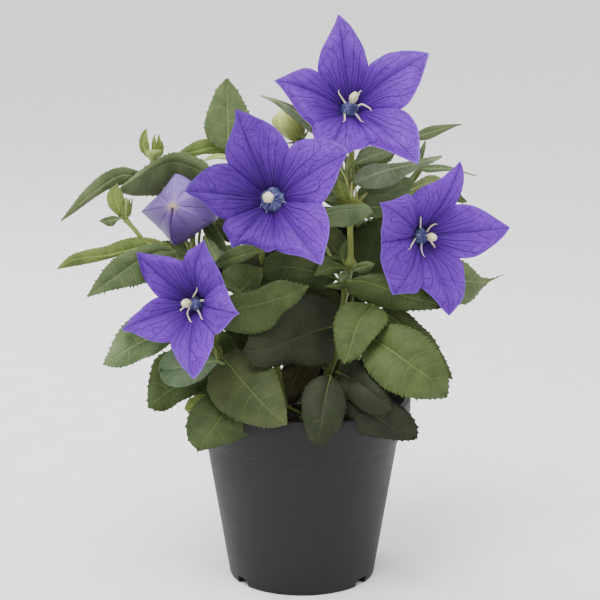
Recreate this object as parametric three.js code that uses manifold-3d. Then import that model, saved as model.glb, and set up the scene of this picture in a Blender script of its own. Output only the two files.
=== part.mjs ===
// Potted balloon flower (Platycodon) in a plastic nursery pot.
// Millimetres, +Z up, origin on the pot's axis at the surface it stands on, -Y towards the side where the open flowers face.
import * as THREE from 'three';
import { mergeVertices } from 'three/addons/utils/BufferGeometryUtils.js';
import Module from 'manifold-3d';

// ---------------------------------------------------------------- driving dimensions
const POT_RIM_R = 52.5;        // outer radius of the lip
const POT_WALL_TOP_R = 50.6;   // outer radius just under the lip
const POT_STEP_R = 47.3;       // outer radius at the bottom of the wider upper band
const POT_STEP_Z = 67.8;
const POT_BASE_R = 35.6;
const POT_HEIGHT = 88.0;
const POT_LIP_H = 6.5;
const POT_WALL = 1.3;
const POT_FOOT_H = 4.2;        // the floor of the pot stands this high on its ring of feet
const FOOT_NOTCH_W = 7.5;
const DRAIN_HOLE_R = 4.0;
const SOIL_R_TOP = 47.0, SOIL_R_STEP = 45.1, SOIL_R_BASE = 32.8, SOIL_Z = 79.0;   // the compost fills the pot to just under the lip
const LEAF_T = 0.9;            // leaf blade
const PETAL_T = 0.8;           // corolla
const GAP = 0.32;              // clearance left where one piece meets another
const SEPAL_TURN = { F1: 0.5, F2: 0.5, F3: 0.5, F4: 0.5 };   // how far the sepals are turned about each flower's axis, radians
const BOWL = 2.0;              // exponent of the corolla's rise from its base

// ---------------------------------------------------------------- grown shapes, in mm
// A leaf: blade midrib M and margins A and B from base to tip, and the point where its stalk meets the stem.
const LEAVES = {
 TL1: {"M":[[-35.4,12.8,205.1],[-35.4,13.7,209.9],[-35.4,14.5,214.7],[-35.4,15.3,219.5],[-35.6,16.1,224.2],[-35.8,16.8,229.0],[-35.9,17.5,233.8],[-35.8,18.1,238.6]],"A":[[-36.3,12.8,205.1],[-41.2,12.8,207.3],[-45.5,13.0,211.3],[-46.6,13.7,217.1],[-45.1,14.7,223.1],[-42.9,15.8,228.9],[-40.3,16.8,234.5],[-36.1,18.1,238.6]],"B":[[-34.5,12.8,205.1],[-29.6,12.7,207.6],[-25.3,12.8,211.7],[-24.2,13.5,217.4],[-25.8,14.5,223.3],[-28.4,15.6,228.9],[-31.5,16.8,234.3],[-35.6,18.1,238.6]],"at":[-34.6,17.2,199.4]},
 TL2: {"M":[[-31.7,15.4,204.5],[-35.9,16.1,205.2],[-40.0,16.4,205.9],[-44.1,16.3,205.9],[-48.2,15.8,205.0],[-52.2,14.9,204.2],[-56.2,13.6,203.5],[-60.2,11.9,202.8]],"A":[[-31.6,15.4,205.4],[-35.2,16.6,207.7],[-39.2,17.2,209.8],[-43.9,17.2,210.4],[-48.6,16.8,209.9],[-52.9,15.7,208.2],[-56.7,14.1,205.7],[-60.2,12.0,203.0]],"B":[[-31.8,15.4,203.6],[-35.5,16.6,202.4],[-39.7,17.1,202.2],[-43.9,16.9,203.1],[-48.0,16.2,202.9],[-52.1,15.4,201.8],[-56.2,14.0,201.6],[-60.2,11.9,202.5]],"at":[-34.6,18.8,194.5]},
 TR0: {"M":[[9.3,0.5,212.2],[5.7,-3.0,215.9],[2.1,-5.9,219.4],[-1.6,-8.2,222.7],[-5.6,-9.8,225.6],[-9.9,-10.8,227.9],[-14.5,-11.3,229.6],[-19.2,-11.1,231.1]],"A":[[9.8,0.4,213.0],[6.3,-2.8,216.5],[3.1,-5.5,220.6],[-0.6,-7.6,224.1],[-4.8,-9.4,226.8],[-9.4,-10.5,228.7],[-14.2,-11.1,230.2],[-19.1,-11.1,231.3]],"B":[[8.9,0.6,211.5],[4.5,-2.5,213.6],[0.5,-5.2,216.6],[-3.3,-7.5,219.8],[-7.2,-9.2,222.9],[-10.9,-10.4,226.1],[-14.8,-11.1,228.8],[-19.3,-11.1,230.8]],"at":[23.4,10.1,205.5]},
 L2: {"M":[[-41.4,1.0,192.6],[-47.7,-0.9,195.9],[-53.9,-3.3,199.1],[-60.3,-6.4,200.4],[-66.7,-10.0,198.4],[-72.5,-14.3,195.4],[-77.9,-19.1,192.2],[-83.1,-24.6,188.8]],"A":[[-41.3,0.7,193.4],[-44.9,-0.1,199.8],[-52.0,-2.5,203.3],[-59.2,-5.5,205.0],[-66.2,-9.3,202.6],[-72.4,-13.8,198.3],[-78.0,-18.9,193.6],[-83.1,-24.7,189.1]],"B":[[-41.6,1.2,191.8],[-47.1,3.5,188.4],[-53.8,3.8,186.8],[-60.4,2.4,185.2],[-66.7,-1.9,184.6],[-72.7,-8.2,185.1],[-78.4,-15.3,185.7],[-83.1,-24.5,188.6]],"at":[-48.9,-12.0,154.6]},
 L3: {"M":[[-70.6,-7.0,192.3],[-76.5,-13.5,194.7],[-82.0,-20.5,195.4],[-87.0,-28.1,192.9],[-91.2,-36.4,189.5],[-95.2,-45.2,186.3],[-98.6,-54.6,182.9],[-101.5,-64.7,179.5]],"A":[[-70.6,-7.2,193.1],[-76.1,-12.7,197.1],[-82.2,-19.4,199.0],[-88.0,-26.7,197.3],[-92.7,-35.0,193.6],[-96.4,-44.2,189.1],[-99.2,-54.2,184.2],[-101.6,-64.7,179.7]],"B":[[-70.7,-6.8,191.4],[-76.2,-11.3,190.0],[-81.8,-18.5,191.0],[-86.7,-26.7,189.8],[-91.0,-35.2,187.2],[-94.6,-44.2,184.4],[-98.1,-53.9,181.6],[-101.4,-64.6,179.2]],"at":[-66.3,-3.8,192.1]},
 L6: {"M":[[-60.3,-22.8,162.9],[-67.3,-25.1,164.3],[-74.4,-28.8,163.2],[-81.0,-33.9,161.9],[-87.4,-40.3,161.2],[-93.5,-48.1,161.6],[-98.9,-57.3,161.6],[-103.2,-67.9,159.5]],"A":[[-60.2,-22.8,163.8],[-67.2,-24.1,166.8],[-74.8,-27.0,167.9],[-81.8,-31.9,166.9],[-87.9,-38.8,165.1],[-94.2,-46.9,164.7],[-99.9,-56.5,163.3],[-103.3,-67.9,159.7]],"B":[[-60.3,-22.8,162.0],[-67.5,-24.1,161.6],[-74.4,-28.2,161.6],[-80.9,-33.4,160.6],[-87.1,-39.6,159.4],[-93.0,-47.0,158.8],[-98.4,-56.2,158.8],[-103.2,-67.9,159.2]],"at":[-57.8,-14.3,148.1]},
 L7: {"M":[[-58.3,-24.9,161.3],[-64.5,-26.9,161.7],[-70.1,-29.8,159.7],[-75.3,-33.8,157.0],[-79.9,-38.8,153.9],[-84.3,-44.8,151.1],[-88.4,-51.8,148.5],[-92.3,-59.8,146.2]],"A":[[-58.8,-25.1,162.1],[-64.2,-27.1,165.0],[-71.1,-30.2,164.5],[-77.6,-34.3,162.5],[-83.4,-39.4,159.9],[-87.3,-45.2,155.9],[-90.2,-52.0,151.2],[-92.4,-59.8,146.4]],"B":[[-57.8,-24.6,160.6],[-58.1,-24.1,156.1],[-63.4,-26.5,151.6],[-69.2,-30.4,148.4],[-75.2,-36.1,147.1],[-81.3,-43.1,146.9],[-87.0,-50.9,146.4],[-92.2,-59.7,145.9]],"at":[-57.0,-11.9,144.2]},
 L7b: {"M":[[-44.1,-8.0,153.5],[-47.6,-7.2,154.5],[-51.0,-6.6,155.6],[-54.4,-6.2,156.8],[-57.7,-5.9,158.2],[-61.0,-5.8,159.7],[-64.3,-5.8,161.2],[-67.6,-6.0,162.7]],"A":[[-43.8,-8.0,154.3],[-46.1,-6.7,156.9],[-48.4,-5.6,160.2],[-51.7,-4.9,162.4],[-55.5,-4.7,163.6],[-59.6,-4.9,163.8],[-63.7,-5.3,163.6],[-67.5,-6.0,162.9]],"B":[[-44.4,-8.0,152.6],[-47.9,-6.5,151.8],[-51.8,-5.4,151.2],[-55.7,-4.9,152.4],[-59.2,-4.7,154.2],[-62.5,-4.8,156.6],[-65.3,-5.2,159.3],[-67.7,-6.0,162.4]],"at":[-42.2,-7.8,125.8]},
 L8: {"M":[[-57.3,-22.0,126.5],[-62.0,-25.4,124.9],[-66.8,-28.9,123.2],[-71.3,-32.3,121.3],[-75.9,-35.7,119.5],[-80.2,-39.1,117.5],[-84.5,-42.6,115.4],[-88.6,-46.0,113.2]],"A":[[-57.7,-22.0,127.3],[-63.2,-24.0,130.3],[-69.5,-26.3,132.7],[-75.7,-29.2,132.4],[-80.5,-33.0,129.0],[-83.8,-37.2,124.0],[-85.9,-41.7,118.4],[-88.7,-46.0,113.4]],"B":[[-56.8,-22.0,125.7],[-57.9,-24.0,120.6],[-62.5,-27.0,116.8],[-67.5,-30.3,114.2],[-72.5,-33.9,113.0],[-77.6,-37.5,111.3],[-83.2,-41.5,111.0],[-88.5,-46.0,113.0]],"at":[-36.9,-18.0,107.8]},
 L9: {"M":[[-38.3,-39.5,113.4],[-42.0,-38.8,112.6],[-45.6,-38.0,111.8],[-49.4,-37.2,110.8],[-53.1,-36.3,110.0],[-56.9,-35.3,109.3],[-60.7,-34.2,108.5],[-64.5,-33.0,107.8]],"A":[[-38.4,-39.5,114.3],[-41.6,-37.9,116.8],[-46.1,-36.6,118.7],[-51.0,-35.4,119.6],[-56.0,-34.4,119.0],[-60.5,-33.6,116.8],[-63.5,-33.2,112.8],[-64.5,-33.0,108.0]],"B":[[-38.2,-39.5,112.5],[-40.9,-38.3,108.7],[-44.4,-37.1,104.6],[-48.9,-36.1,102.0],[-53.8,-35.1,100.5],[-58.9,-34.2,100.8],[-63.1,-33.5,103.1],[-64.5,-33.1,107.5]],"at":[-32.1,-16.0,99.5]},
 L10: {"M":[[-43.0,-18.0,103.9],[-47.4,-19.5,102.2],[-51.7,-21.2,100.5],[-55.9,-23.0,98.8],[-60.0,-25.0,96.9],[-63.9,-27.2,94.9],[-67.4,-29.5,92.3],[-70.7,-32.0,89.7]],"A":[[-43.5,-18.0,104.7],[-49.3,-17.6,108.2],[-56.0,-17.5,111.7],[-63.3,-18.1,113.0],[-68.6,-20.4,109.6],[-70.4,-24.0,103.1],[-71.3,-27.8,96.3],[-70.8,-32.0,89.9]],"B":[[-42.6,-18.0,103.1],[-44.1,-18.1,98.4],[-46.8,-19.0,94.3],[-51.7,-20.8,92.2],[-56.5,-22.9,90.3],[-61.0,-25.1,87.9],[-65.9,-28.1,87.4],[-70.5,-32.0,89.5]],"at":[-29.0,-14.2,95.0]},
 L11: {"M":[[-30.0,-36.4,95.5],[-32.5,-39.9,93.0],[-34.9,-43.0,90.4],[-37.2,-45.8,87.7],[-39.6,-48.1,84.9],[-41.8,-50.0,81.9],[-43.9,-51.6,78.7],[-45.9,-52.7,75.3]],"A":[[-30.9,-36.3,95.8],[-35.9,-37.0,97.8],[-41.9,-38.3,97.1],[-47.0,-40.2,94.2],[-50.5,-42.5,89.5],[-51.9,-45.3,84.0],[-50.4,-48.6,78.8],[-46.1,-52.7,75.4]],"B":[[-29.2,-36.5,95.2],[-23.1,-38.5,93.3],[-18.2,-40.5,89.8],[-20.1,-43.1,83.8],[-25.7,-45.9,80.0],[-32.2,-48.5,78.0],[-39.0,-50.7,76.4],[-45.6,-52.7,75.3]],"at":[1.2,-17.0,81.9]},
 M0a: {"M":[[-46.7,-7.5,173.7],[-44.7,-8.3,171.8],[-42.6,-9.8,169.9],[-40.7,-12.1,168.1],[-38.8,-15.1,166.3],[-37.0,-18.9,164.5],[-35.2,-23.4,162.8],[-33.5,-28.7,161.2]],"A":[[-47.3,-7.4,173.1],[-46.7,-7.5,170.6],[-45.9,-8.6,167.8],[-44.2,-10.7,165.5],[-42.0,-13.8,163.6],[-39.6,-17.7,161.9],[-36.7,-22.8,161.3],[-33.6,-28.7,161.0]],"B":[[-46.0,-7.6,174.2],[-43.7,-7.9,173.3],[-41.2,-9.3,172.0],[-39.3,-11.6,169.8],[-37.5,-14.7,167.7],[-35.8,-18.6,165.5],[-34.6,-23.3,163.3],[-33.3,-28.8,161.3]],"at":[-44.9,-9.9,140.3]},
 M0b: {"M":[[-44.6,-24.0,168.1],[-43.5,-25.1,166.5],[-42.5,-26.3,165.0],[-41.4,-27.4,163.4],[-40.5,-28.6,161.8],[-39.6,-29.7,160.2],[-39.0,-30.9,158.5],[-38.3,-32.0,156.8]],"A":[[-45.4,-24.0,167.8],[-44.8,-24.9,166.1],[-44.6,-25.8,164.2],[-43.8,-26.9,162.4],[-42.8,-28.1,160.7],[-41.5,-29.3,159.1],[-40.1,-30.6,157.7],[-38.5,-32.0,156.7]],"B":[[-43.8,-24.0,168.4],[-42.6,-24.9,167.0],[-40.6,-25.9,165.8],[-38.9,-26.9,164.5],[-37.6,-27.9,162.8],[-37.2,-29.2,160.8],[-37.6,-30.6,158.8],[-38.1,-32.0,156.9]],"at":[-43.8,-9.0,134.1]},
 M1: {"M":[[-39.2,-38.8,156.9],[-35.7,-44.1,158.7],[-32.3,-48.3,160.4],[-29.1,-51.3,161.8],[-25.8,-53.2,163.1],[-22.7,-53.9,164.0],[-19.5,-53.5,164.6],[-16.3,-51.9,164.8]],"A":[[-39.4,-39.0,157.7],[-36.6,-44.0,160.7],[-33.6,-48.0,163.7],[-30.1,-51.0,165.9],[-26.6,-52.9,167.5],[-23.0,-53.6,167.9],[-19.6,-53.3,166.6],[-16.4,-51.9,165.1]],"B":[[-39.0,-38.7,156.0],[-35.7,-43.4,156.3],[-32.1,-47.4,157.4],[-28.8,-50.5,159.1],[-25.5,-52.3,160.3],[-22.3,-53.2,161.7],[-19.4,-53.1,163.5],[-16.3,-51.9,164.6]],"at":[-37.2,-18.1,127.6]},
 M2: {"M":[[-30.0,-30.0,141.9],[-28.3,-30.0,143.6],[-26.6,-30.0,145.3],[-24.9,-30.0,147.0],[-23.2,-30.0,148.7],[-21.5,-30.0,150.4],[-19.9,-30.0,152.2],[-18.3,-30.0,154.0]],"A":[[-30.8,-29.9,142.2],[-34.0,-28.8,144.4],[-36.5,-27.9,148.2],[-35.9,-27.5,152.4],[-32.6,-27.7,155.2],[-27.8,-28.3,155.9],[-23.0,-29.1,155.3],[-18.5,-30.0,154.2]],"B":[[-29.1,-30.1,141.6],[-27.1,-29.6,142.1],[-24.3,-29.3,142.5],[-21.8,-29.1,143.8],[-19.8,-29.1,145.7],[-18.5,-29.3,148.3],[-18.0,-29.6,151.1],[-18.1,-30.0,153.9]],"at":[-40.1,-17.5,115.7]},
 M4: {"M":[[-42.0,-38.0,150.0],[-39.8,-37.8,149.5],[-37.7,-37.8,149.0],[-35.5,-37.9,148.5],[-33.4,-38.2,147.7],[-31.4,-38.6,146.9],[-29.4,-39.2,145.9],[-27.4,-40.0,144.9]],"A":[[-41.9,-38.0,150.9],[-40.3,-37.3,151.7],[-38.2,-37.2,151.8],[-35.9,-37.4,150.6],[-33.7,-37.8,149.2],[-31.5,-38.4,147.9],[-29.2,-39.1,146.7],[-27.4,-40.0,145.1]],"B":[[-42.1,-38.0,149.1],[-40.8,-37.4,147.9],[-39.2,-37.2,146.4],[-36.9,-37.3,145.8],[-34.6,-37.6,145.3],[-32.2,-38.2,144.8],[-29.9,-39.0,144.6],[-27.5,-40.0,144.7]],"at":[-39.8,-17.4,120.9]},
 M5: {"M":[[-39.6,-36.1,134.7],[-33.1,-40.2,136.7],[-26.8,-43.4,138.4],[-20.6,-45.8,140.2],[-14.6,-47.2,142.0],[-8.6,-47.7,143.7],[-2.9,-47.3,146.0],[2.8,-45.9,148.3]],"A":[[-39.5,-36.2,135.6],[-36.1,-39.3,141.5],[-30.1,-42.4,144.4],[-23.1,-44.8,145.7],[-16.7,-46.1,148.6],[-10.4,-46.5,151.2],[-3.9,-46.6,150.1],[2.8,-46.0,148.6]],"B":[[-39.7,-36.0,133.8],[-37.2,-38.0,128.1],[-29.1,-40.7,126.7],[-20.6,-42.7,126.8],[-13.4,-44.4,129.9],[-8.3,-46.0,136.8],[-2.0,-46.3,141.9],[2.9,-45.9,148.1]],"at":[-38.4,-18.0,111.9]},
 M6: {"M":[[15.8,-13.8,147.2],[10.9,-15.5,148.9],[6.0,-17.1,150.6],[1.2,-18.4,152.0],[-3.7,-19.7,153.0],[-8.7,-20.7,153.4],[-13.6,-21.6,152.5],[-18.4,-22.3,151.3]],"A":[[15.8,-13.8,148.1],[11.7,-14.7,152.2],[7.0,-15.7,156.3],[1.1,-16.9,158.3],[-5.0,-18.1,159.6],[-11.2,-19.1,159.6],[-16.2,-20.4,156.8],[-18.4,-22.3,151.6]],"B":[[15.8,-13.7,146.3],[11.9,-14.4,143.4],[7.0,-15.5,142.3],[1.4,-16.8,143.3],[-4.2,-18.0,144.2],[-9.7,-19.2,145.2],[-15.1,-20.4,146.8],[-18.3,-22.3,151.1]],"at":[20.4,-7.2,139.9]},
 M8: {"M":[[19.4,-21.3,126.9],[12.5,-26.6,126.3],[5.8,-31.2,125.5],[-0.5,-35.2,123.7],[-6.8,-38.4,121.8],[-13.0,-40.9,119.8],[-19.5,-42.7,119.0],[-26.1,-43.8,118.4]],"A":[[19.3,-21.1,127.8],[14.8,-23.8,135.4],[7.2,-26.7,140.5],[-1.5,-30.1,140.4],[-8.6,-34.1,135.6],[-14.8,-37.8,129.7],[-22.4,-40.4,125.7],[-26.2,-43.7,118.7]],"B":[[19.5,-21.4,126.0],[16.1,-26.9,119.0],[12.6,-31.7,111.8],[4.7,-35.6,110.1],[-3.2,-38.7,112.3],[-11.5,-41.1,111.7],[-20.6,-42.9,112.1],[-26.1,-43.8,118.2]],"at":[16.7,-4.3,112.9]},
 M9: {"M":[[-36.5,-31.4,113.5],[-32.2,-36.7,110.0],[-28.2,-41.7,106.3],[-24.1,-46.5,102.8],[-20.0,-50.9,99.3],[-15.8,-55.0,96.0],[-11.4,-58.7,92.9],[-6.6,-62.2,90.3]],"A":[[-37.1,-31.7,112.9],[-41.2,-35.8,107.4],[-42.3,-40.3,100.0],[-38.5,-44.9,93.6],[-31.4,-49.5,89.7],[-23.2,-53.9,87.9],[-14.8,-58.1,87.6],[-6.8,-62.2,90.1]],"B":[[-35.9,-31.0,114.0],[-30.0,-30.2,117.1],[-22.9,-32.2,115.8],[-16.4,-35.9,112.1],[-11.6,-40.8,107.3],[-9.0,-47.3,101.6],[-7.1,-54.2,95.8],[-6.4,-62.1,90.5]],"at":[-29.8,-14.7,96.1]},
 C1: {"M":[[7.3,-16.0,175.9],[10.8,-17.6,177.4],[14.2,-18.8,178.8],[17.7,-19.7,179.7],[21.3,-20.2,180.1],[24.9,-20.5,180.3],[28.6,-20.4,179.9],[32.1,-20.0,179.1]],"A":[[7.5,-16.3,176.8],[10.3,-17.1,178.7],[13.7,-18.1,180.8],[17.6,-19.1,181.6],[21.6,-19.7,182.0],[25.6,-19.9,182.2],[29.5,-19.8,181.8],[32.2,-20.1,179.3]],"B":[[7.2,-15.7,175.1],[9.4,-15.0,172.1],[13.2,-15.2,171.1],[17.4,-15.8,171.5],[21.6,-16.3,171.8],[25.4,-17.4,173.7],[29.0,-18.6,176.1],[32.1,-19.9,178.8]],"at":[22.5,-3.7,181.9]},
 C2: {"M":[[21.9,-8.4,180.3],[20.9,-9.7,182.2],[20.0,-10.8,184.0],[19.1,-11.8,185.8],[18.2,-12.6,187.6],[17.4,-13.2,189.4],[16.9,-13.7,191.3],[16.5,-13.9,193.2]],"A":[[21.1,-8.3,179.8],[19.6,-9.3,181.1],[17.9,-10.3,182.4],[16.6,-11.2,184.5],[15.7,-12.0,186.6],[15.2,-12.7,188.9],[15.7,-13.4,191.1],[16.3,-13.9,193.1]],"B":[[22.6,-8.4,180.7],[22.1,-9.4,182.5],[22.1,-10.4,184.6],[21.4,-11.3,186.7],[20.6,-12.0,188.7],[19.6,-12.7,190.7],[18.4,-13.3,192.3],[16.7,-13.9,193.3]],"at":[22.6,-3.3,182.6]},
 C3: {"M":[[21.5,-5.7,179.6],[20.1,-6.3,180.4],[18.7,-6.9,181.3],[17.4,-7.5,182.2],[15.9,-8.1,182.7],[14.3,-8.7,182.8],[12.7,-9.4,183.0],[11.1,-10.1,183.2]],"A":[[21.8,-5.7,180.4],[20.4,-6.1,181.1],[19.2,-6.6,182.6],[17.8,-7.1,183.7],[16.1,-7.7,184.4],[14.3,-8.4,184.7],[12.6,-9.2,184.2],[11.2,-10.1,183.5]],"B":[[21.2,-5.7,178.7],[19.8,-6.1,179.6],[18.1,-6.5,179.7],[16.5,-7.0,179.8],[14.8,-7.5,180.1],[13.2,-8.3,180.7],[11.9,-9.1,181.7],[11.1,-10.1,183.0]],"at":[22.5,-4.2,180.5]},
 W1: {"M":[[21.0,-12.0,151.4],[18.6,-14.0,152.0],[16.3,-15.8,152.4],[14.0,-17.2,152.5],[11.8,-18.4,152.3],[9.7,-19.4,151.5],[7.7,-20.0,150.4],[5.7,-20.4,149.4]],"A":[[20.8,-12.0,152.3],[18.6,-13.8,153.2],[16.0,-15.4,154.5],[13.3,-16.7,155.2],[10.7,-17.9,155.0],[8.3,-18.8,153.9],[6.8,-19.7,151.8],[5.6,-20.4,149.6]],"B":[[21.1,-12.0,150.5],[18.9,-13.8,150.7],[16.8,-15.4,150.2],[14.5,-16.8,150.2],[12.3,-18.1,150.1],[10.1,-19.1,149.8],[7.9,-19.9,149.6],[5.8,-20.4,149.2]],"at":[22.2,-7.9,151.9]},
 W2: {"M":[[23.8,-11.0,150.6],[25.2,-12.0,151.3],[26.5,-12.8,151.9],[27.9,-13.6,152.5],[29.3,-14.3,153.0],[30.7,-15.0,153.5],[32.1,-15.5,153.8],[33.5,-16.0,154.1]],"A":[[23.5,-11.0,151.4],[24.6,-11.7,152.2],[25.6,-12.5,153.6],[27.2,-13.2,154.4],[28.8,-14.0,154.9],[30.5,-14.6,155.2],[32.0,-15.3,154.8],[33.5,-16.0,154.3]],"B":[[24.1,-11.0,149.7],[25.4,-11.7,149.9],[27.0,-12.4,149.6],[28.8,-13.1,149.5],[30.4,-13.7,150.0],[31.9,-14.4,151.0],[32.9,-15.2,152.4],[33.6,-16.0,153.9]],"at":[22.3,-7.9,152.7]},
 W3: {"M":[[20.6,-10.0,152.3],[19.7,-9.7,154.0],[19.0,-9.4,155.7],[18.7,-9.1,157.4],[18.7,-8.9,159.3],[19.1,-8.6,161.0],[20.0,-8.3,162.7],[20.8,-8.0,164.3]],"A":[[19.7,-10.0,152.0],[18.7,-9.6,153.3],[17.6,-9.3,154.8],[17.3,-9.0,156.9],[17.5,-8.7,159.0],[18.1,-8.5,161.1],[19.3,-8.2,162.8],[20.6,-8.0,164.3]],"B":[[21.4,-10.0,152.6],[20.8,-9.6,154.0],[21.0,-9.2,155.7],[20.9,-8.9,157.4],[20.9,-8.7,159.2],[20.9,-8.4,160.9],[21.0,-8.2,162.6],[21.1,-8.0,164.3]],"at":[22.4,-8.0,153.4]},
 W4: {"M":[[22.3,-13.6,148.1],[21.4,-15.8,148.5],[20.4,-17.6,148.7],[19.6,-19.0,148.6],[18.8,-20.2,148.4],[18.1,-20.9,148.0],[17.4,-21.4,147.6],[16.8,-21.4,147.0]],"A":[[22.2,-13.6,149.0],[21.5,-15.5,149.6],[20.6,-17.1,150.8],[19.4,-18.6,150.9],[18.2,-19.7,150.4],[17.3,-20.6,149.5],[16.9,-21.2,148.3],[16.7,-21.4,147.2]],"B":[[22.4,-13.6,147.2],[21.8,-15.6,147.5],[21.2,-17.3,147.0],[20.4,-18.7,146.6],[19.4,-19.8,146.4],[18.5,-20.6,146.3],[17.5,-21.2,146.3],[16.8,-21.4,146.8]],"at":[21.6,-7.6,147.4]},
 N4: {"M":[[21.6,-21.8,147.1],[27.9,-23.5,147.5],[34.0,-24.6,145.8],[39.9,-25.0,143.4],[45.9,-24.8,141.0],[52.2,-23.9,139.0],[58.6,-22.3,137.1],[65.1,-20.1,134.9]],"A":[[22.1,-22.0,147.8],[27.9,-22.8,149.7],[34.8,-23.1,150.5],[41.8,-22.9,149.8],[48.5,-22.5,147.8],[55.1,-21.8,145.0],[61.0,-21.0,140.8],[65.2,-20.1,135.1]],"B":[[21.1,-21.6,146.3],[21.6,-20.2,140.9],[28.1,-20.9,137.3],[35.1,-21.4,134.7],[42.5,-21.9,133.7],[50.0,-21.8,133.7],[57.5,-21.2,134.2],[65.0,-20.1,134.7]],"at":[20.9,-7.4,142.9]},
 N4b: {"M":[[21.8,-16.9,144.4],[20.1,-17.2,144.5],[18.5,-17.8,144.6],[16.9,-18.7,144.7],[15.3,-19.7,144.7],[13.7,-21.1,144.8],[12.1,-22.6,144.8],[10.5,-24.4,144.9]],"A":[[21.6,-16.9,145.3],[20.2,-17.1,145.2],[18.7,-17.6,145.9],[16.9,-18.4,146.1],[15.3,-19.5,146.0],[13.6,-20.8,145.8],[12.0,-22.5,145.4],[10.5,-24.4,145.2]],"B":[[21.9,-16.8,143.5],[20.5,-17.0,143.3],[19.1,-17.4,142.4],[17.4,-18.3,142.5],[15.6,-19.4,142.9],[13.9,-20.8,143.4],[12.2,-22.5,144.1],[10.5,-24.4,144.7]],"at":[20.7,-7.3,141.4]},
 N5: {"M":[[33.0,-23.9,136.2],[29.4,-30.5,134.3],[26.4,-36.1,132.0],[24.4,-40.7,128.9],[22.8,-44.4,125.5],[21.6,-47.2,121.8],[20.2,-49.0,118.1],[18.5,-49.9,114.3]],"A":[[33.9,-24.0,135.9],[37.3,-29.5,134.0],[38.5,-34.6,130.7],[35.0,-39.4,126.9],[31.1,-43.4,123.5],[27.5,-46.4,119.7],[23.6,-48.5,116.2],[18.7,-49.9,114.2]],"B":[[32.2,-23.9,136.6],[26.5,-29.0,138.0],[20.3,-33.3,138.4],[15.9,-37.4,135.2],[14.1,-41.3,130.0],[14.4,-44.8,124.5],[15.5,-47.5,119.0],[18.3,-49.8,114.4]],"at":[19.2,-6.4,130.9]},
 N6: {"M":[[29.3,-27.3,123.3],[34.5,-35.1,121.2],[39.8,-41.0,118.7],[44.8,-44.7,115.5],[50.0,-46.5,111.9],[55.5,-46.2,108.1],[60.6,-43.9,102.9],[65.3,-39.5,96.5]],"A":[[29.9,-27.0,124.0],[36.6,-32.4,128.4],[44.4,-36.7,129.3],[52.0,-39.8,126.6],[58.2,-41.9,121.4],[62.8,-42.7,114.2],[65.6,-41.9,105.7],[65.5,-39.5,96.7]],"B":[[28.7,-27.6,122.7],[26.7,-38.1,117.5],[28.6,-45.5,111.5],[33.8,-49.7,106.2],[40.1,-51.4,101.9],[48.0,-50.3,99.2],[56.4,-46.3,97.4],[65.1,-39.6,96.3]],"at":[26.6,-2.0,108.9]},
 N7: {"M":[[36.3,-16.0,132.5],[42.0,-17.9,129.3],[47.3,-19.7,125.8],[52.2,-21.3,121.5],[56.9,-22.7,117.0],[61.3,-24.0,112.2],[65.5,-25.1,107.2],[69.5,-26.0,101.9]],"A":[[36.9,-16.0,133.2],[43.1,-16.9,134.4],[49.4,-18.5,131.0],[54.5,-20.2,126.1],[59.8,-21.7,121.2],[63.5,-23.2,115.1],[67.0,-24.6,108.7],[69.6,-26.0,102.1]],"B":[[35.7,-16.0,131.8],[35.1,-16.4,125.3],[38.4,-17.6,120.0],[44.4,-19.4,115.7],[50.4,-21.0,111.4],[56.4,-22.6,107.3],[62.6,-24.2,103.5],[69.3,-26.0,101.7]],"at":[30.4,-0.2,118.5]},
 P1: {"M":[[12.9,-44.0,107.5],[11.5,-48.8,104.3],[10.5,-53.0,100.8],[9.6,-56.5,97.2],[8.9,-59.4,93.5],[8.2,-61.5,89.6],[7.3,-63.1,85.6],[6.9,-64.0,81.4]],"A":[[12.1,-44.0,107.8],[6.9,-47.2,108.1],[2.2,-50.5,105.5],[-0.1,-53.8,100.7],[-0.2,-56.9,95.3],[0.7,-59.6,89.8],[2.7,-61.9,84.7],[6.7,-64.0,81.4]],"B":[[13.8,-44.0,107.2],[17.0,-47.4,104.8],[19.0,-50.8,100.3],[19.4,-54.0,95.5],[17.9,-57.0,90.8],[15.6,-59.5,86.2],[12.0,-61.7,82.7],[7.1,-64.0,81.3]],"at":[3.6,-18.9,86.8]},
 P2: {"M":[[16.3,-35.2,107.3],[20.0,-39.2,106.4],[23.6,-42.7,105.2],[27.0,-45.6,103.5],[30.2,-48.1,101.5],[33.3,-50.0,99.2],[36.4,-51.3,96.7],[39.6,-52.1,94.2]],"A":[[16.6,-34.8,108.1],[19.6,-36.1,112.2],[24.6,-38.2,113.7],[28.8,-41.5,111.1],[32.1,-44.8,107.2],[35.7,-47.4,103.4],[38.7,-49.5,99.1],[39.7,-52.0,94.4]],"B":[[16.1,-35.5,106.5],[16.9,-39.8,103.3],[19.3,-43.6,99.7],[22.2,-46.8,96.4],[25.9,-49.3,93.7],[30.4,-51.0,92.1],[35.2,-51.9,92.1],[39.5,-52.2,94.0]],"at":[21.7,-1.0,95.2]},
 P3: {"M":[[20.7,-42.1,96.9],[24.6,-45.1,94.6],[28.8,-47.3,92.3],[33.0,-48.7,89.9],[37.1,-49.4,87.1],[41.3,-49.3,84.2],[45.9,-48.4,81.6],[50.9,-46.8,79.4]],"A":[[21.3,-42.1,97.5],[26.5,-44.3,98.2],[32.4,-46.0,98.1],[38.2,-47.1,97.2],[43.5,-47.5,94.9],[48.1,-47.5,91.0],[50.9,-47.2,85.5],[51.1,-46.7,79.6]],"B":[[20.0,-42.0,96.3],[18.8,-43.6,91.0],[20.3,-45.0,85.3],[25.3,-46.4,81.8],[31.4,-47.5,80.2],[37.9,-48.1,79.6],[44.4,-47.8,79.0],[50.7,-46.8,79.2]],"at":[1.2,-17.0,81.9]},
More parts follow.
